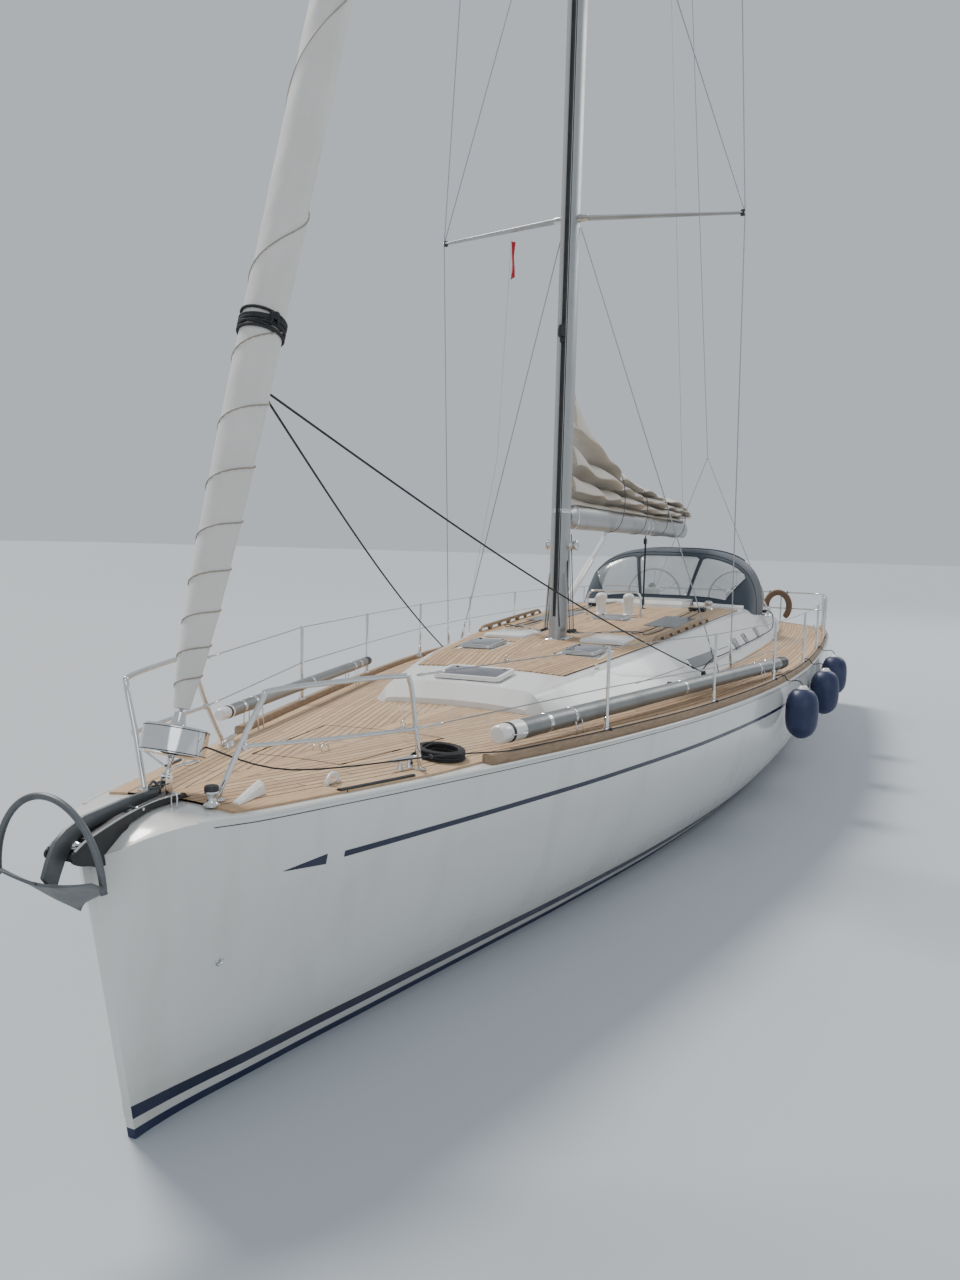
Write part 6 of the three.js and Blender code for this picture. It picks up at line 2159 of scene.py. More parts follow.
for name, (root, tip, span, sweep) in SPREADERS.items():
    arm = spreader_arm(root, tip, span - 0.004, sweep)
    other = arm.twin()
    arm.add(other.points, other.faces)
    arm.make(name + "_arms", spar_alloy, stands_for=name, crease=60)
    ends = Shape()
    for side in (1, -1):
        ends.turned([(0, -0.03), (0.02, -0.026), (0.024, 0), (0.02, 0.026), (0, 0.03)],
                    (MAST_X - sweep, side * (span - 0.004), tip), 18, (0, 0, 1))
    ends.make(name + "_tips", black_plastic, crease=60)
    roots = Shape()
    for side in (1, -1):
        roots.turned([(0.04, 0), (0.034, 0.05), (0.028, 0.09)], (MAST_X, side * 0.078, root), 18,
                     (0, side, 0))
    roots.make(name + "_roots", polished, crease=60)
print(len(SPREADERS), "pairs of spreaders done")

# %% [markdown]
# ## Standing rigging
# Shrouds, stays and the split backstay are twisted wire. Each ends in a bottle screw on its
# chainplate. The screws are drawn as turned bodies with a barrel, since they stand at eye level on
# the side deck.

# %% Shrouds and stays
# x, and y of the outer and inner plate
CHAINPLATE = (0.8, 1.585, 1.47)
STAY_WIRE = 0.0055
LOWER_TANG = 5.74


def bottle_screw(shape, foot, towards, scale=1):
    ahead = (Vector(towards) - Vector(foot)).normalized()
    profile = [(0, -0.01), (0.009, -0.01), (0.011, 0.02), (0.0075, 0.035), (0.0075, 0.07),
               (0.0135, 0.078), (0.0145, 0.095), (0.0145, 0.275), (0.0135, 0.29), (0.0075, 0.298),
               (0.0075, 0.345), (0.0105, 0.352), (0.0115, 0.4), (0.007, 0.42), (0, 0.422)]
    shape.turned([(r * scale, h * scale) for r, h in profile], foot, 16, ahead)


tips = [xyz(MAST_X - sweep, span + 0.018, tip) for _, tip, span, sweep in SPREADERS.values()]


def on_mast(z):
    return xyz(MAST_X - 0.04, MAST_WIDE / 2 + 0.006, z)


plate_z = deck_z(CHAINPLATE[0], CHAINPLATE[2] - 0.03) + TEAK_THICK + 0.002
cap_foot = xyz(CHAINPLATE[0], CHAINPLATE[1], plate_z + 0.024)
low_foot = xyz(CHAINPLATE[0], CHAINPLATE[2], plate_z + 0.024)
wires = Shape()
for a, b in ((cap_foot, tips[0]), (low_foot, on_mast(LOWER_TANG)), (tips[0], tips[1]), (tips[1], tips[2]),
             (tips[2], on_mast(HOUNDS)), (tips[0], on_mast(9.96)), (tips[1], on_mast(14.16))):
    wires.rod(a, b, STAY_WIRE, 8)
make_pair(wires, "shroud_wires", strand_wire, stands_for="shrouds")
screws = Shape()
bottle_screw(screws, cap_foot, tips[0], 1)
bottle_screw(screws, low_foot, on_mast(LOWER_TANG), 1)
plates = [(CHAINPLATE[0], CHAINPLATE[1]), (CHAINPLATE[0], CHAINPLATE[2])]
for x, y in plates:
    screws.block((x - 0.05, y - 0.022, deck_z(x, y) + TEAK_THICK),
                 (x + 0.05, y + 0.022, deck_z(x, y) + TEAK_THICK + 0.006))
    screws.block((x - 0.022, y - 0.0045, deck_z(x, y) + TEAK_THICK),
                 (x + 0.022, y + 0.0045, plate_z + 0.034))
for tip in tips:
    screws.turned([(0, -0.016), (0.011, -0.012), (0.0155, 0), (0.011, 0.012), (0, 0.016)], tip, 14)
make_pair(screws, "shroud_screws", polished, round_edge=0.0015)
print("shrouds done")

# %% [markdown]
# ## Backstay
# One wire comes down from the crane and splits above the stern, so that the way aft stays clear.

# %% Backstay
SPLIT = xyz(-6.6, 0, 4.3)
crane = xyz(MAST_X - 0.38, 0, MAST_TOP - 0.066)
backstay = Shape().rod(crane, SPLIT, STAY_WIRE, 8)
back_screws = Shape()
for side in (1, -1):
    foot = xyz(-7.3, side * 1.15, deck_z(-7.3, 1.15) + 0.06)
    backstay.rod(SPLIT, foot, STAY_WIRE, 8)
    bottle_screw(back_screws, foot, SPLIT, 1.1)
    back_screws.block(foot - xyz(0.022, 0.005, 0.046), foot + xyz(0.022, 0.005, 0.016))
back_screws.turned([(0, -0.022), (0.022, -0.018), (0.026, 0), (0.022, 0.018), (0, 0.022)], SPLIT, 20,
                   (0, 1, 0))
backstay.make("backstay_wires", strand_wire, stands_for="backstay")
back_screws.make("backstay_screws", polished)
print("standing rigging done")

# %% [markdown]
# ## Forestay and furler
# The forestay ends in a toggle and a bottle screw. Above them sits the furler's drum, one polished
# cylinder held by four bent arms, and the headsail is rolled up above it.

# %% Forestay and drum
STAY_FOOT = xyz(7.385, 0, 1.59)
STAY_HEAD = xyz(MAST_X + MAST_LONG / 2 + 0.008, 0, 18.1)
STAY = (STAY_HEAD - STAY_FOOT).normalized()
STAY_TURN = xyz(0, 0, 1).rotation_difference(STAY).to_matrix()


def on_stay(z):
    return STAY_FOOT.lerp(STAY_HEAD, (z - STAY_FOOT.z) / (STAY_HEAD.z - STAY_FOOT.z))


def up_stay(distance, across=0, angle=0):
    base = on_stay(DRUM_Z)
    return base + STAY * distance + STAY_TURN @ xyz(across * cos(angle), across * sin(angle), 0)


DRUM_Z, ROLL_Z = 1.694, 1.9
stay = Shape().rod(STAY_FOOT, STAY_HEAD, 0.0085, 14)
stay.make("forestay_foil", spar_alloy, stands_for="forestay", slot="wire", crease=60)
toggle = Shape()
for y in (0.0145, -0.0145):
    toggle.plate([(7.362, y - 0.0022, 1.523), (7.408, y - 0.0022, 1.523), (7.408, y - 0.0022, 1.6),
                  (7.4, y - 0.0022, 1.622), (7.372, y - 0.0022, 1.622), (7.362, y - 0.0022, 1.6)],
                 (0, 0.0044, 0))
toggle.turned([(0, -0.024), (0.0095, -0.024), (0.0095, 0.024), (0, 0.024)], (7.385, 0, 1.603), 16,
              (0, 1, 0))
toggle.turned([(0, -0.02), (0.0135, -0.015), (0.0135, 0.01), (0.0095, 0.02), (0.0095, 0.04),
               (0.0148, 0.05), (0.0148, 0.064), (0, 0.064)], on_stay(1.62), 18, STAY)
toggle.make("forestay_toggle", polished, round_edge=0.0015)
print("forestay done")

# %% [markdown]
# ## Furler drum
# The drum is turned, with a groove at each edge. It rides on the furler's body, so it turns with
# the sail.

# %% Furler drum
drum = Shape().turned([(0.0175, -0.004), (0.118, -0.004), (0.14, 0), (0.1485, 0.006), (0.1495, 0.02),
                       (0.1495, 0.112), (0.1485, 0.126), (0.14, 0.132), (0.118, 0.134), (0.05, 0.136),
                       (0.036, 0.142), (0.031, 0.16), (0.026, 0.2), (0.0175, 0.202), (0.0175, -0.004)],
                      up_stay(0), 56, STAY)
drum.make("furler_drum_shell", polished, "furler", "furler_drum", crease=35)
slot_ring = Shape()
for level in (0.012, 0.12):
    ring = [up_stay(level, 0.1492, a) for a in round_about(56)]
    slot_ring.pipe(ring, 0.0022, 6, closed=True)
slot_ring.make("furler_drum_grooves", black_plastic, "furler")
arms = Shape()
for k in range(4):
    angle = pi / 4 + k * pi / 2
    arms.pipe(flowing([up_stay(-0.002, 0.118, angle), up_stay(-0.012, 0.1, angle),
                       up_stay(-0.048, 0.03, angle), up_stay(-0.062, 0.0205, angle)], 6), 0.005, 10)
arms.make("furler_drum_arms", polished, "furler", crease=70)
print("drum done")

# %% [markdown]
# ## The furled headsail
# The headsail is wound round its stay. What shows is a long roll with the sail's edge running up
# it as a spiral. The turns lie close at the foot, where the wide part of the sail is wound, and far
# apart higher up. A count of the turns along the stay gives the edge's place at each height. The
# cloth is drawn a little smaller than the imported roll, so that its ridges reach the same size.

# %% Rolled headsail
ROLL = [(0, 0.04), (0.26, 0.07), (0.9, 0.098), (1.9, 0.112), (4.2, 0.116), (8.2, 0.098), (12.6, 0.066),
        (14.9, 0.04), (15.3, 0.026)]
CLOTH_SHARE = 0.955
roll_base = on_stay(ROLL_Z)


def roll_radius(distance):
    return fair(ROLL, 1, distance)


def wrap_pitch(distance):
    """How far apart the turns lie: the foot is wound tightly, and the leech only once or twice."""
    return mix(0.11, 0.42, clamp(distance / 1.9, 0, 1)) + 1.2 * clamp((distance - 2) / 1.2, 0, 1)


WRAP_STEP = 0.02
wrap_counts = [0]
for k in range(800):
    wrap_counts.append(wrap_counts[-1] + WRAP_STEP / wrap_pitch((k + 0.5) * WRAP_STEP))


def wraps(distance):
    place = distance / WRAP_STEP
    return mix(wrap_counts[int(place)], wrap_counts[int(place) + 1], place % 1)


def roll_point(distance, angle, radius):
    return roll_base + STAY * distance + STAY_TURN @ xyz(radius * cos(angle), radius * sin(angle), 0)


print("turns along the roll", round(wraps(15), 1))

# %% [markdown]
# ## Rolling the cloth
# The roll is lofted over more than 600 rings. Each is a circle with one step in it, where the
# sail's edge lies, and the step turns as the rings climb.

# %% Rolling the cloth
ROLL_SIDES = 72
rings = []
distances = [15.28 * (i / 620) ** 1.35 for i in range(621)]
for d in distances:
    radius = roll_radius(d) * CLOTH_SHARE
    ring = []
    phase = 2 * pi * wraps(d)
    for k in range(ROLL_SIDES):
        angle = 2 * pi * k / ROLL_SIDES
        turn = (angle - phase) / (2 * pi) % 1
        edge = 0.035 * (1 - turn) ** 1.5
        step = 0.03 * math.exp(-(turn / 0.035) ** 2)
        crease_wave = 0.014 * sin(angle * 2 + d * 9 + 2 * sin(d * 2.3)) * sin(d * 4.3 + angle)
        fine = 0.006 * sin(angle * 5 - d * 21 + sin(d * 6))
        waist = -0.045 * math.exp(-((d - 1.95) / 0.035) ** 2)
        ring.append(roll_point(d, angle, radius * (1 + edge - 0.01 + step + crease_wave + fine + waist)))
    rings.append(ring)
roll = Shape().loft(rings)
genoa = roll.make("genoa_roll", headsail_cloth, "furler", "genoa_furled", crease=65)
seam_line = []
for d in [0.06 + 14.8 * (i / 1500) ** 1.3 for i in range(1501)]:
    seam_line.append(roll_point(d, 2 * pi * wraps(d) + 0.02, roll_radius(d) * CLOTH_SHARE * 1.052 + 0.0006))
leech = Shape().pipe(seam_line, 0.0036, 6)
leech.make("genoa_leech_edge", seam_taupe, "furler", crease=80)
print("roll done")

# %% [markdown]
# ## Lashing
# Eight turns of dark line and a loose knot hold the roll at the height of the clew.

# %% Lashing
lashing = Shape()
for k in range(8):
    d = 1.905 + 0.0125 * k + 0.004 * sin(k * 2.1)
    tilt = 0.016 * sin(k * 1.9)
    ring = [roll_point(d + tilt * cos(a + k), a, roll_radius(d) * CLOTH_SHARE + 0.008)
            for a in round_about(40)]
    lashing.pipe(ring, 0.0075, 8, closed=True)
knot_at = roll_point(1.96, 1.1, 0.121)
for k in range(5):
    a0 = k * 1.3
    lashing.pipe(flowing([knot_at + xyz(0.022 * cos(a0 + a), 0.022 * sin(a0 + a * 1.1),
                                        0.026 * sin(a * 1.7 + k)) for a in spread(0, 4.5, 8)], 3),
                 0.0062, 8)
lashing.make("genoa_lashing", black_rope, "furler", crease=80)
roll_area = sum(p.area for p in genoa.data.polygons)
print("headsail roll area", round(roll_area, 2))

# %% [markdown]
# ## Boom
# The boom is a deep oval tube, narrower at the top, with a casting at each end. It hinges on the
# gooseneck, whose jaws stay on the mast while the pin and the boom turn.

# %% Boom
GOOSENECK, BOOM_Z, BOOM_END = 1.41, 2.99, -4.69
boom_rows = [(GOOSENECK + 0.055, 0.07, 0.05), (GOOSENECK - 0.06, 0.112, 0.066),
             (GOOSENECK - 0.12, 0.125, 0.072), (BOOM_END + 0.1, 0.125, 0.072),
             (BOOM_END + 0.02, 0.112, 0.067), (BOOM_END, 0.09, 0.06)]
boom = Shape().loft([[xyz(x, wide * cos(a) * (1 - 0.1 * sin(a)), BOOM_Z + high * sin(a))
                      for a in round_about(32)] for x, high, wide in boom_rows])
boom.make("boom_extrusion", spar_alloy, "boom", "boom", crease=40)
boom_fittings = Shape()
for x in (GOOSENECK - 0.115, BOOM_END + 0.09, -1.9, -2.15):
    boom_fittings.loft([[xyz(x + dx, (0.072 + grow) * cos(a) * (1 - 0.1 * sin(a)),
                             BOOM_Z + (0.125 + grow) * sin(a)) for a in round_about(32)]
                        for dx, grow in ((-0.02, 0.0005), (-0.018, 0.003), (0.018, 0.003),
                                         (0.02, 0.0005))])
boom_fittings.turned([(0, -0.045), (0.014, -0.045), (0.014, 0.045), (0, 0.045)], (GOOSENECK, 0, BOOM_Z),
                     16, (0, 0, 1))
boom_fittings.make("boom_bands", polished, "boom")
gooseneck = Shape().block((GOOSENECK + 0.045, -0.03, BOOM_Z - 0.055),
                          (GOOSENECK + 0.115, 0.03, BOOM_Z - 0.03))
gooseneck.block((GOOSENECK + 0.045, -0.03, BOOM_Z + 0.03), (GOOSENECK + 0.115, 0.03, BOOM_Z + 0.055))
gooseneck.make("gooseneck_jaws", polished, round_edge=0.003)
print("boom done")

# %% [markdown]
# ## Vang
# The vang is a telescopic strut that holds the boom down and carries its weight. It rides with the
# boom.

# %% Vang
vang_low, vang_high = xyz(GOOSENECK - 0.01, 0, 2.13), xyz(GOOSENECK - 1.44, 0, BOOM_Z - 0.152)
vang = Shape()
vang_axis = (vang_high - vang_low).normalized()
reach = (vang_high - vang_low).length
vang.turned([(0, 0), (0.02, 0.004), (0.026, 0.02), (0.0355, 0.05), (0.0355, reach * 0.575),
             (0.031, reach * 0.585), (0.0255, reach * 0.59), (0.0255, reach - 0.03),
             (0.02, reach - 0.01), (0, reach)], vang_low, 28, vang_axis)
vang.make("vang_strut", vent_white, "boom", "vang", "spar", crease=40)
print("vang done")

# %% [markdown]
# ## The flaked mainsail
# The mainsail was dropped, not stowed: it lies in loose folds over the boom, high at the mast and
# lower towards the boom's end. The folds are one long cloth. A zigzag swings from side to side as
# it climbs from the boom, and one is drawn every few centimetres. Ties draw it in at four places.

# %% Flaked mainsail
# Distance aft of the gooseneck, half width, underside and top above the boom's middle.
PILE = [(-0.01, 0.062, 0.12, 1.33), (0.09, 0.105, 0.128, 1.29), (0.3, 0.175, 0.13, 1.1),
        (0.7, 0.215, 0.13, 0.91), (1.3, 0.222, 0.13, 0.72), (2, 0.212, 0.13, 0.56),
        (3, 0.21, 0.13, 0.5), (4.2, 0.218, 0.13, 0.44), (5.2, 0.218, 0.13, 0.4),
        (5.95, 0.15, 0.13, 0.3)]
FOLDS = 7
TIES = (1.55, 2.75, 4, 5.25)


def fold_shape(back, s):
    """A point of the zigzag: s runs from 0 at the boom to 1 at the top, through FOLDS swings."""
    half, low, high = (fair(PILE, k, back) for k in (1, 2, 3))
    tied = sum(math.exp(-((back - t) / 0.11) ** 2) for t in TIES)
    fan = s + 0.16 * sin(pi * s) * clamp(1 - back / 1.6, 0, 1) ** 1.5
    swing = cos(pi * FOLDS * fan + 0.5 * sin(back * 2.1))
    swing = math.copysign(abs(swing) ** 0.75, swing)
    round_top = math.sqrt(max(1 - (2 * s - 1) ** 4, 0.02))
    width = half * round_top * (1 - 0.32 * tied)
    drape = 0.1 * sin(back * 3.1 + s * 5) + 0.07 * sin(back * 7.3 - s * 11)
    y = width * clamp(swing * (0.86 + drape) + 0.1 * sin(back * 2.7 + 9 * s), -0.985, 0.985)
    height = high - low
    z = mix(low, high, s) * (1 - 0.1 * tied) + 0.1 * low * tied
    z += 0.014 * sin(back * 7 + s * 15) * min(s * 4, 1) - 0.085 * height * swing ** 2 * (0.4 + 0.6
            * (s < 0.97))
    return xyz(GOOSENECK - back, y, BOOM_Z + max(z, low - 0.004))


rings = []
backs = [5.94 * (i / 240) ** 1.05 for i in range(241)]
STEPS_UP = FOLDS * 18
for back in backs:
    rings.append([fold_shape(back, k / STEPS_UP) for k in range(STEPS_UP + 1)])
cloth_shape = Shape().loft(rings, closed=False, caps=False)
mainsail = cloth_shape.make("mainsail_folds", sailcloth, "boom", "mainsail_flaked", crease=180)
thicken(mainsail, 0.0035, 0)
ties = Shape()
for back in TIES:
    half, low, high = (fair(PILE, k, back) for k in (1, 2, 3))
    loop = []
    for a in round_about(40):
        c, s = cos(a), sin(a)
        top = high * 0.93
        bottom = -0.128
        loop.append(xyz(GOOSENECK - back + 0.01 * sin(3 * a),
                        (half * 0.82) * math.copysign(abs(c) ** 0.8, c),
                        BOOM_Z + mix(bottom, top, 0.5 + 0.5 * math.copysign(abs(s) ** 0.9, s))))
    ties.pipe(loop, 0.01, 6, closed=True, flat=0.35)
ties.make("sail_ties", strap_grey, "boom", crease=80)

# %% [markdown]
# ## Poles
# Two poles lie on the side decks. Each rests in bent chocks and has a white end fitting forward
# and a black one aft. The poles are turned shapes, because every part of them is round.

# %% Poles
POLES = {"spinnaker_pole_port": ((5.41, 0.84, 1.53), (-0.18, 2.02, 1.48), 0.066),
         "spinnaker_pole_starboard": ((6.05, -0.74, 1.61), (2.72, -1.56, 1.55), 0.042)}
for name, (fore, aft, radius) in POLES.items():
    fore, aft = Vector(fore), Vector(aft)
    axis = (aft - fore).normalized()
    length = (aft - fore).length
    pole = Shape().turned([(radius * 0.6, length * 0.03), (radius * 0.97, length * 0.036),
                           (radius, length * 0.045), (radius, length * 0.955),
                           (radius * 0.97, length * 0.964), (radius * 0.6, length * 0.97)], fore, 40,
                          axis)
    pole.make(name + "_tube", pole_alloy, stands_for=name, crease=50)
    for at, way, word in ((fore, axis, "fore"), (aft, -axis, "aft")):
        end = Shape().turned([(0, 0), (radius * 0.74, 0.002), (radius * 0.9, 0.012),
                              (radius * 0.95, 0.028), (radius * 0.96, 0.1), (radius * 0.9, 0.112),
                              (radius * 0.9, 0.128), (radius * 1.01, 0.134),
                              (radius * 1.01, length * 0.044), (radius * 0.98, length * 0.047)], at, 36,
                             way)
        end.make(name + "_end_" + word, vent_white if word == "fore" else black_plastic, slot="gelcoat",
                 crease=40)
        collar = Shape().turned([(radius * 0.86, 0.111), (radius, 0.111), (radius, 0.129),
                                 (radius * 0.86, 0.129)], at, 30, way)
        collar.make(name + "_collar_" + word, black_plastic)
    bands = Shape()
    for f in (0.1, 0.5, 0.9):
        bands.turned([(radius, -0.02), (radius * 1.025, -0.018), (radius * 1.025, 0.018),
                      (radius, 0.02)], fore.lerp(aft, f), 36, axis)
    bands.make(name + "_bands", polished)
    chocks = Shape()
    for f in (0.16, 0.84):
        at = fore.lerp(aft, f)
        ground = deck_z(at.x, at.y) + TEAK_THICK
        side_way = axis.cross(xyz(0, 0, 1)).normalized()
        low = xyz(at.x, at.y, ground + 0.004)
        for along in (-0.045, 0.045):
            foot = low + axis * along
            high = at.z - ground
            half = [(1.25, 0), (1.08, high * 0.75), (0.8, max(high - radius * 0.75, 0.004)),
                    (0, max(high - radius - 0.006, 0.003))]
            half += [(-out, up) for out, up in half[-2::-1]]
            cradle = [foot + side_way * (radius * out) + xyz(0, 0, up) for out, up in half]
            chocks.pipe(flowing(cradle, 6), 0.0045, 10)
        chocks.turned([(radius, -0.02), (radius * 1.04, -0.018), (radius * 1.04, 0.018), (radius, 0.02)],
                      at, 30, axis)
    chocks.make(name + "_chocks", polished, crease=60)
    bail = Shape()
    if "port" in name:
        for s in (1, -1):
            side_way = axis.cross(xyz(0, 0, 1)) * s
            bail.pipe(flowing([fore + axis * 0.26 + side_way * radius,
                               fore + axis * 0.2 + side_way * (radius + 0.03),
                               fore + axis * 0.1 + side_way * (radius + 0.02),
                               fore + axis * 0.07 + side_way * radius * 0.55], 6), 0.004, 8)
        bail.make(name + "_bails", polished, crease=70)
print("poles done")

# %% [markdown]
# ## Fenders
# A fender is a blown body of vinyl with white ends. It hangs on a thin line over the toe rail,
# just clear of the topsides.

# %% Fenders
for k, x in enumerate((0.4, -1.35, -3.1)):
    y = half_beam(x) + 0.172
    number = str(k + 1)
    middle = (x, y, 1.03)
    tube = Shape().turned([(0, -0.268), (0.03, -0.27), (0.052, -0.262), (0.075, -0.247), (0.11, -0.222),
                           (0.142, -0.175), (0.158, -0.12), (0.1645, -0.05), (0.165, 0), (0.1645, 0.05),
                           (0.158, 0.12), (0.142, 0.175), (0.11, 0.222), (0.075, 0.244), (0.052, 0.252)],
                          middle, 48)
    body = tube.make("fender_tube_" + number, fender_vinyl, stands_for="fender_" + number, crease=70)
    neck = Shape().turned([(0.062, 0.236), (0.06, 0.252), (0.045, 0.262), (0.04, 0.276), (0.025, 0.283),
                           (0, 0.284)], middle, 32)
    neck.turned([(0, -0.284), (0.02, -0.284), (0.03, -0.276), (0.034, -0.262), (0.05, -0.25)], middle, 24)
    neck.make("fender_ends_" + number, vent_white, crease=60)
    lanyard = Shape()
    rail_y = half_beam(x) - 0.055
    rail_z = deck_z(x, rail_y) + RAIL_HIGH + 0.006
    route = flowing([(x, y, 1.31), (x + 0.004, y - 0.05, 1.36),
                     (x + 0.004, half_beam(x) + 0.02, rail_z - 0.05),
                     (x, half_beam(x) - 0.022, rail_z + 0.001), (x, half_beam(x) - 0.09, rail_z),
                     (x, half_beam(x) - 0.104, rail_z - 0.04)], 8)
    lanyard.pipe(route, 0.005, 8)
    lanyard.make("fender_lanyard_" + number, black_rope, crease=80)
print("fenders done")

# %% [markdown]
# ## Running rigging
# Sheets lead from the headsail's clew through cars on the side decks and aft to the winches.
# The line that furls the sail runs from its drum along the rail. Halyards come down the mast, turn
# at its foot and run aft under the solar panels to the clutches. All of these are pulled straight.
# The sheets from the clew join a piece that moves, so they ride on no body.

# %% Sheets and furling line
SHEET_RADIUS, LINE_RADIUS = 0.0065, 0.0045
DRUM_RADIUS = 0.0565
CLEW = roll_point(1.66, pi, roll_radius(1.66) + 0.004)
CAR = xyz(1.25, 1.365, deck_z(1.25, 1.365) + TEAK_THICK + 0.075)


def rope(name, points, radius, steps=6):
    Shape().pipe(flowing(points, steps), radius, 8).make(name, black_rope, crease=80)


for side, word in SIDES:
    lead = [(1.15, 1.366, CAR.z + 0.01), (0.8, 1.385, 1.56), (0, 1.41, 1.55), (-1.1, 1.452, 1.55),
            (-2.6, 1.5, 1.55), (-3.7, 1.53, 1.575), (-4.05, 1.5, 1.725), (-4.33, 1.44, 1.772),
            (-4.62, 1.352, 1.772)]
    rope("genoa_sheet_lead_" + word, [(x, side * y, z) for x, y, z in lead], SHEET_RADIUS)
    turns = []
    for k in range(3 * 24 + 1):
        a = pi / 2 + 2 * pi * k / 24
        turns.append((HELM_WINCH[0] + DRUM_RADIUS * cos(a), side * (HELM_WINCH[1] + DRUM_RADIUS * sin(a)),
                      1.736 + 0.0135 * k / 24))
    rope("genoa_sheet_turns_" + word, turns, SHEET_RADIUS * 0.9, steps=1)
    start = xyz(CLEW.x, side * 0.012, CLEW.z)
    end = xyz(CAR.x + 0.03, side * CAR.y, CAR.z + 0.01)
    points = []
    for f in spread(0, 1, 40):
        points.append(start.lerp(end, f) - xyz(0, 0, 0.1 * sin(pi * f)))
    sheet_line = Shape().pipe(points, SHEET_RADIUS, 8).make("genoa_sheet_" + word, black_rope, None,
                                                            crease=80)
    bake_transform(sheet_line)
print("sheets done")

# %% [markdown]
# ## Furling line
# The line leaves the drum, runs through an eye on the pulpit and then through an eye at each
# stanchion.

# %% Furling line
clew_ring = Shape().pipe([CLEW + xyz(-0.012 + 0.022 * cos(a), 0, 0.022 * sin(a))
                          for a in round_about(20)], 0.0045, 8, closed=True)
clew_ring.make("genoa_clew_ring", polished, "furler")
furl_start = up_stay(0.06, 0.1435, pi * 0.62)
LEAD_EYE = (6.12, 0.73, 1.525)


def rail_line(x):
    """Where the furling line lies on the toe rail."""
    y = half_beam(x) - 0.037
    return (x, y, deck_z(x, y) + RAIL_HIGH + 0.0055)


rope("furling_line_fore", [furl_start, (7, 0.42, 1.6), LEAD_EYE], LINE_RADIUS)
along_rail = [LEAD_EYE, (5.75, half_beam(5.75) - 0.045, deck_edge(5.75) + 0.09)]
along_rail += [rail_line(x) for x in spread(5.5, -5.3, 26)]
rope("furling_line_along_rail", along_rail, LINE_RADIUS, steps=3)
furl_blocks = Shape()
for centre in (LEAD_EYE, *[rail_line(x) for x in POSTS]):
    furl_blocks.turned([(0.006, -0.012), (0.011, -0.01), (0.013, 0), (0.011, 0.01), (0.006, 0.012)],
                       centre, 14, (1, 0.2, 0))
furl_blocks.make("furling_line_eyes", black_plastic)
print("furling line led through", len(POSTS) + 1, "eyes")

# %% [markdown]
# ## Mainsheet and topping lift
# The mainsheet is a tackle from the boom to the roof just ahead of the hatch garage, and three of
# its falls are drawn. They are straight and ride on no body, as one rope can't run through blocks
# here. The topping lift is a thin wire from the masthead to the boom's end, which it holds up.

# %% Mainsheet
SHEET_X = -2.03
block_low = xyz(SHEET_X, 0, roof_z(SHEET_X) + 0.095)
block_high = xyz(SHEET_X, 0, BOOM_Z - 0.21)


def block_cheeks(shape, centre, radius, up):
    """A block: two cheeks with a sheave between, and a shackle above or below."""
    centre = Vector(centre)
    for offset in (-0.016, 0.01):
        shape.turned([(0, 0), (radius, 0), (radius, 0.006), (0, 0.006)], centre + xyz(0, offset, 0), 22,
                     (0, 1, 0))
    shape.turned([(0, -0.01), (radius * 0.9, -0.01), (radius * 0.72, 0), (radius * 0.9, 0.01),
                  (0, 0.01)], centre, 22, (0, 1, 0))
    bow = [(-0.012, radius * 0.8), (-0.014, radius + 0.02), (0, radius + 0.036), (0.014, radius + 0.02),
           (0.012, radius * 0.8)]
    shape.pipe(flowing([centre + xyz(x, 0, up * z) for x, z in bow], 5), 0.0045, 8)


low_block, high_block = Shape(), Shape()
block_cheeks(low_block, block_low, 0.042, -1)
low_block.turned([(0, 0), (0.04, 0), (0.042, 0.006), (0.02, 0.012), (0, 0.013)],
                 (SHEET_X, 0, roof_z(SHEET_X) + 0.009), 24)
low_block.make("mainsheet_block_roof", black_plastic)
block_cheeks(high_block, block_high, 0.042, 1)
high_block.make("mainsheet_block_boom", black_plastic, "boom")
falls = Shape()
for dx, dy in ((-0.034, -0.004), (0.034, 0.004), (-0.012, 0.008)):
    top, foot = block_high + xyz(dx, dy, 0), block_low + xyz(dx * 0.8, dy, 0)
    falls.pipe([foot.lerp(top, f) for f in spread(0, 1, 24)], SHEET_RADIUS * 0.8, 8)
falls_piece = falls.make("mainsheet_falls", black_rope, None, crease=80)
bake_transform(falls_piece)
lift_top, lift_end = xyz(MAST_X - 0.24, 0, MAST_TOP - 0.07), xyz(BOOM_END + 0.09, 0, BOOM_Z + 0.135)
lift = Shape().pipe([lift_top.lerp(lift_end, f) for f in spread(0, 1, 40)], 0.003, 6)
lift = lift.make("topping_lift", strand_wire, None, crease=80)
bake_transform(lift)
print("mainsheet and topping lift done")

# %% [markdown]
# ## Halyards
# Four lines come down on each side of the mast from slots above the boom. They turn through
# blocks at its foot, pass over the white mouldings and run aft. Two spare halyards stand clear of
# the mast's front, up to the hounds.

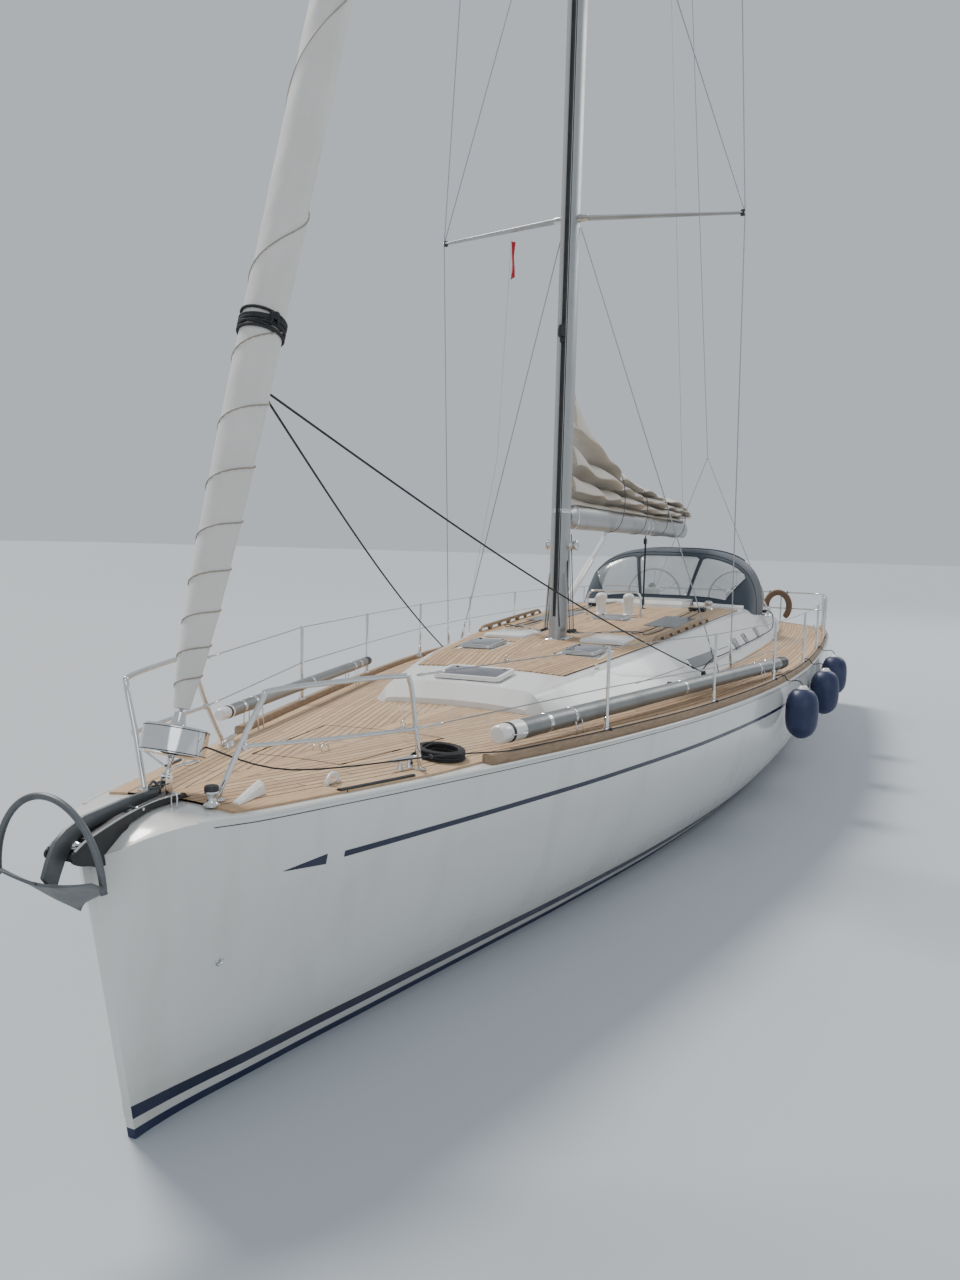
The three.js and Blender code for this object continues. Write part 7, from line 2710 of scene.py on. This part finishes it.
# %% Halyards
dark, pale, blocks = Shape(), Shape(), Shape()
for k in range(4):
    y_aft = 0.6225 + 0.055 * k
    x_mast = MAST_X + 0.075 - 0.05 * k
    top = (x_mast, 0.0835, 2.42 + 0.13 * k)
    foot = (x_mast, 0.125 + 0.004 * k, roof_z(MAST_X) + 0.085)
    turn = (x_mast - 0.06, 0.2 + 0.012 * k, roof_z(MAST_X, 0.2) + 0.06)
    over = (1.235, y_aft - 0.09, roof_z(1.235, 0.5) + 0.062)
    aft = [(1.1, y_aft - 0.03, roof_z(1.1, y_aft) + 0.03), on_roof(0.6, y_aft, 0.0155),
           on_roof(0.15, y_aft, 0.0125)]
    out = [on_roof(-1.07, y_aft, 0.0125), on_roof(-1.6, y_aft, 0.016), on_roof(-2.1, y_aft, 0.028)]
    tail = [on_roof(-2.28, y_aft, 0.028), on_roof(-2.7, y_aft, 0.018),
            on_roof(-3.24, y_aft, 0.012)]
    line = dark if k % 2 else pale
    line.pipe([top, foot], LINE_RADIUS, 8)
    line.pipe(flowing([foot, turn, over, *aft], 6), LINE_RADIUS, 8)
    line.pipe(flowing(out, 5), LINE_RADIUS, 8)
    if k != 3:
        line.pipe(flowing(tail, 5), LINE_RADIUS, 8)
    blocks.turned([(0, -0.011), (0.024, -0.011), (0.018, 0), (0.024, 0.011), (0, 0.011)],
                  Vector(foot) + xyz(0, 0.012, -0.006), 20, (0.2, 0.3, 1))
make_pair(dark, "halyards_black", black_rope, crease=80)
make_pair(pale, "halyards_white", white_rope, crease=80)
make_pair(blocks, "mast_foot_blocks", black_plastic)
spare = Shape()
for offset, reach in ((0.03, 17.6), (0.046, 13.9)):
    spare.pipe([(MAST_X + 0.166, offset, 2.25), (MAST_X + 0.166, offset, reach),
                (MAST_X + 0.13, offset, reach + 0.2)], LINE_RADIUS, 8)
spare.pipe([(MAST_X + 0.12, 0.055, 1.9), (MAST_X + 0.166, 0.04, 2.25)], LINE_RADIUS, 8)
spare.make("spare_halyards_port", black_rope, crease=80)
spare.twin().make("spare_halyards_starboard", white_rope, slot="black_fitting", crease=80)
mast_winch = Shape().turned([(0, 0), (0.056, 0), (0.056, 0.01), (0.046, 0.014), (0.041, 0.03),
                             (0.043, 0.058), (0.052, 0.068), (0.052, 0.076), (0.04, 0.082),
                             (0.03, 0.088), (0, 0.088)], (MAST_X - 0.045, 0.079, 2.7), 32, (0, 1, 0))
make_pair(mast_winch, "mast_winch", polished)
print("running rigging done")

# %% [markdown]
# ## A coil on the foredeck
# One mooring line lies ready by the port bow cleat. It is coiled down clockwise in four layers of
# three turns, each a diameter from the next, as a right-handed rope wants to lie.

# %% Coil
COIL = (5.77, 0.63)
ROPE_WIDE, COIL_MIDDLE, TURNS, PER_LAYER = 0.014, 0.125, 12, 3
STEP_APART = ROPE_WIDE * 1.04


def on_teak(x, y, up=0):
    return xyz(x, y, deck_z(x, y) + TEAK_THICK + ROPE_WIDE / 2 + 0.0005 + up)


coil_path = [on_teak(6.088, 0.6, 0.012), on_teak(6.06, 0.58, 0.004), on_teak(6, 0.548),
             on_teak(5.94, 0.515), on_teak(5.88, 0.494)]
for k in range(TURNS * 24 + 1):
    turn = k / 24
    layer = min(int(turn / PER_LAYER), TURNS // PER_LAYER - 1)
    f = turn / PER_LAYER - layer
    inward = f if layer % 2 == 0 else 1 - f
    radius = COIL_MIDDLE + STEP_APART * PER_LAYER * (0.5 - inward)
    climb = layer - 1 + clamp(f * PER_LAYER / 0.12, 0, 1) if layer else 0
    angle = -pi / 2 - 2 * pi * turn
    coil_path.append(on_teak(COIL[0] + radius * cos(angle), COIL[1] + radius * sin(angle),
                             climb * STEP_APART))
coil = Shape().pipe(coil_path, ROPE_WIDE / 2, 8).make("mooring_line_coil", black_rope, crease=80)
whipping = Shape().pipe([coil_path[-2], coil_path[-1], coil_path[-1] * 2 - coil_path[-2]],
                        ROPE_WIDE / 2 + 0.0008, 10)
whipping.make("mooring_line_whipping", white_rope, crease=80)

# %% [markdown]
# ## Small fittings
# White arched fairleads flank the stem head, with a short black track abaft each. Eyes stand on
# the foredeck for the inner lines. A pennant hangs under the starboard spreader on its halyard,
# and a horseshoe lifebuoy hangs inside the pushpit.

# %% Fairleads and eyes
arch = Shape()
lead_at = xyz(6.68, 0.447, deck_z(6.68, 0.447) + TEAK_THICK)
arch_line = ((0.052, -0.004), (0.046, 0.03), (0, 0.052), (-0.046, 0.03), (-0.052, -0.004))
arch.pipe(flowing([lead_at + xyz(x, 0, z) for x, z in arch_line], 7), 0.0105, 12)
arch.pipe([lead_at + xyz(0.07, 0, 0.003), lead_at + xyz(-0.07, 0, 0.003)], 0.014, 10, flat=0.35)
make_pair(arch, "white_fairlead", vent_white, crease=60)
strip = Shape().loft([[xyz(mix(6.777, 6.157, f), mix(0.533, 0.714, f) + d,
                           deck_z(mix(6.777, 6.157, f), mix(0.533, 0.714, f)) + TEAK_THICK + h)
                       for d, h in ((-0.013, 0), (-0.013, 0.008), (-0.005, 0.011), (0.005, 0.011),
                                    (0.013, 0.008), (0.013, 0))] for f in spread(0.02, 0.86, 8)])
make_pair(strip, "bow_track", black_plastic)
eyes = Shape()
for x, y in ((3.16, 0.033), (3.12, -0.82), (3.12, 0.82), (5.17, 0.073)):
    ground = deck_z(x, y) + TEAK_THICK if x > 4.2 else roof_z(x, y) + ROOF_SKIN
    eyes.turned([(0, 0), (0.026, 0), (0.026, 0.003), (0.012, 0.007), (0, 0.008)], (x, y, ground), 22)
    eyes.pipe([xyz(x, y + 0.017 * cos(a), ground + 0.024 + 0.017 * sin(a)) for a in round_about(18)],
              0.0042, 8, closed=True)
eyes.make("deck_eyes", polished, crease=60)
print("fairleads and eyes done")

# %% [markdown]
# ## Pennant
# The pennant hangs from the starboard spreader in light folds. It is a sheet with sines for its
# folds.

# %% Pennant
PENNANT_X, PENNANT_Y = 1.33, -0.74
flag_line = Shape().pipe([(PENNANT_X, PENNANT_Y, 5.8), (PENNANT_X - 0.02, PENNANT_Y - 0.1, 3.6),
                          (PENNANT_X - 0.3, -1.34, deck_z(1.03, 1.34) + 0.04)], 0.0022, 6)
flag_line.make("flag_halyard", white_rope, crease=80)
flag_rows = []
for f in spread(0, 1, 14):
    droop = 0.02 * sin(f * 5.5)
    flag_rows.append([xyz(PENNANT_X - 0.004 - 0.115 * f + 0.01 * sin(g * 6),
                          PENNANT_Y + 0.022 * sin(f * 9 + g * 2.5) + droop,
                          mix(5.775 - 0.05 * f, 5.445 - 0.02 * f, g)) for g in spread(0, 1, 14)])
flag_shape = Shape().loft(flag_rows, closed=False, caps=False)
pennant = flag_shape.make("red_pennant", pennant_red, crease=80)
thicken(pennant, 0.0012, 0)
print("pennant done")

# %% [markdown]
# ## Lifebuoy
# A horseshoe of foam in a cloth cover, strapped to the pushpit: a tube along an open ring.

# %% Lifebuoy
buoy = Shape()
buoy_line = []
for a in spread(math.radians(-50), math.radians(230), 26):
    buoy_line.append(xyz(-7.345, 1.25 + 0.2 * cos(a), 1.7 + 0.25 * sin(a)))
buoy.pipe(buoy_line, [0.042] + [0.062] * (len(buoy_line) - 2) + [0.042], 16, flat=0.75)
lifebuoy = buoy.make("horseshoe_lifebuoy", buoy_brown, crease=70)
straps = Shape()
for z in (1.665, 1.95):
    for y in (1.1, 1.4):
        ring = [xyz(-7.385 + 0.052 * cos(a), y, z + 0.034 * sin(a)) for a in round_about(18)]
        straps.pipe(ring, 0.009, 6, closed=True, flat=0.3)
straps.make("lifebuoy_straps", strap_grey, crease=80)
print("lifebuoy done")

# %% [markdown]
# ## Masthead instrument, door handle and outlets
# The last small pieces are thin rods, bent wire and flat turned rings.

# %% Masthead instrument, door handle and outlets
wind = Shape().rod((MAST_X + 0.02, 0, MAST_TOP + 0.02), (MAST_X + 0.02, 0, MAST_TOP + 0.3), 0.004, 8)
wind.rod((MAST_X + 0.02, 0, MAST_TOP + 0.27), (MAST_X + 0.34, 0, MAST_TOP + 0.27), 0.004, 8)
for k in range(3):
    a = k * 2.0944
    wind.turned([(0, 0), (0.014, 0.004), (0.02, 0.018)], (MAST_X + 0.34 + 0.045 * cos(a), 0.045 * sin(a),
                                                          MAST_TOP + 0.262), 12)
    wind.rod((MAST_X + 0.34, 0, MAST_TOP + 0.27), (MAST_X + 0.34 + 0.045 * cos(a), 0.045 * sin(a),
                                                   MAST_TOP + 0.27), 0.002, 6)
wind.make("wind_instrument", black_plastic)
handle = Shape().pipe(flowing([(-3.98, 0.16, 1.4), (-4.01, 0.16, 1.41), (-4.012, 0.16, 1.5),
                               (-3.98, 0.16, 1.51)], 6), 0.006, 10)
handle.make("companionway_handle", polished, "companionway_door", crease=60)
outlet = Shape()
for x, z in ((7.36, 0.77), (-2.2, 0.45), (-4.8, 0.42)):
    t = station_t(x, z)
    outlet.turned([(0, -0.004), (0.021, -0.004), (0.022, 0.002), (0.016, 0.005), (0.013, 0.001),
                   (0, 0.001)], (x, breadth(t, z) + 0.0005, z), 24, (0.25 if x > 6 else 0, 1, -0.15))
make_pair(outlet, "hull_outlets", polished)
print("small fittings done")
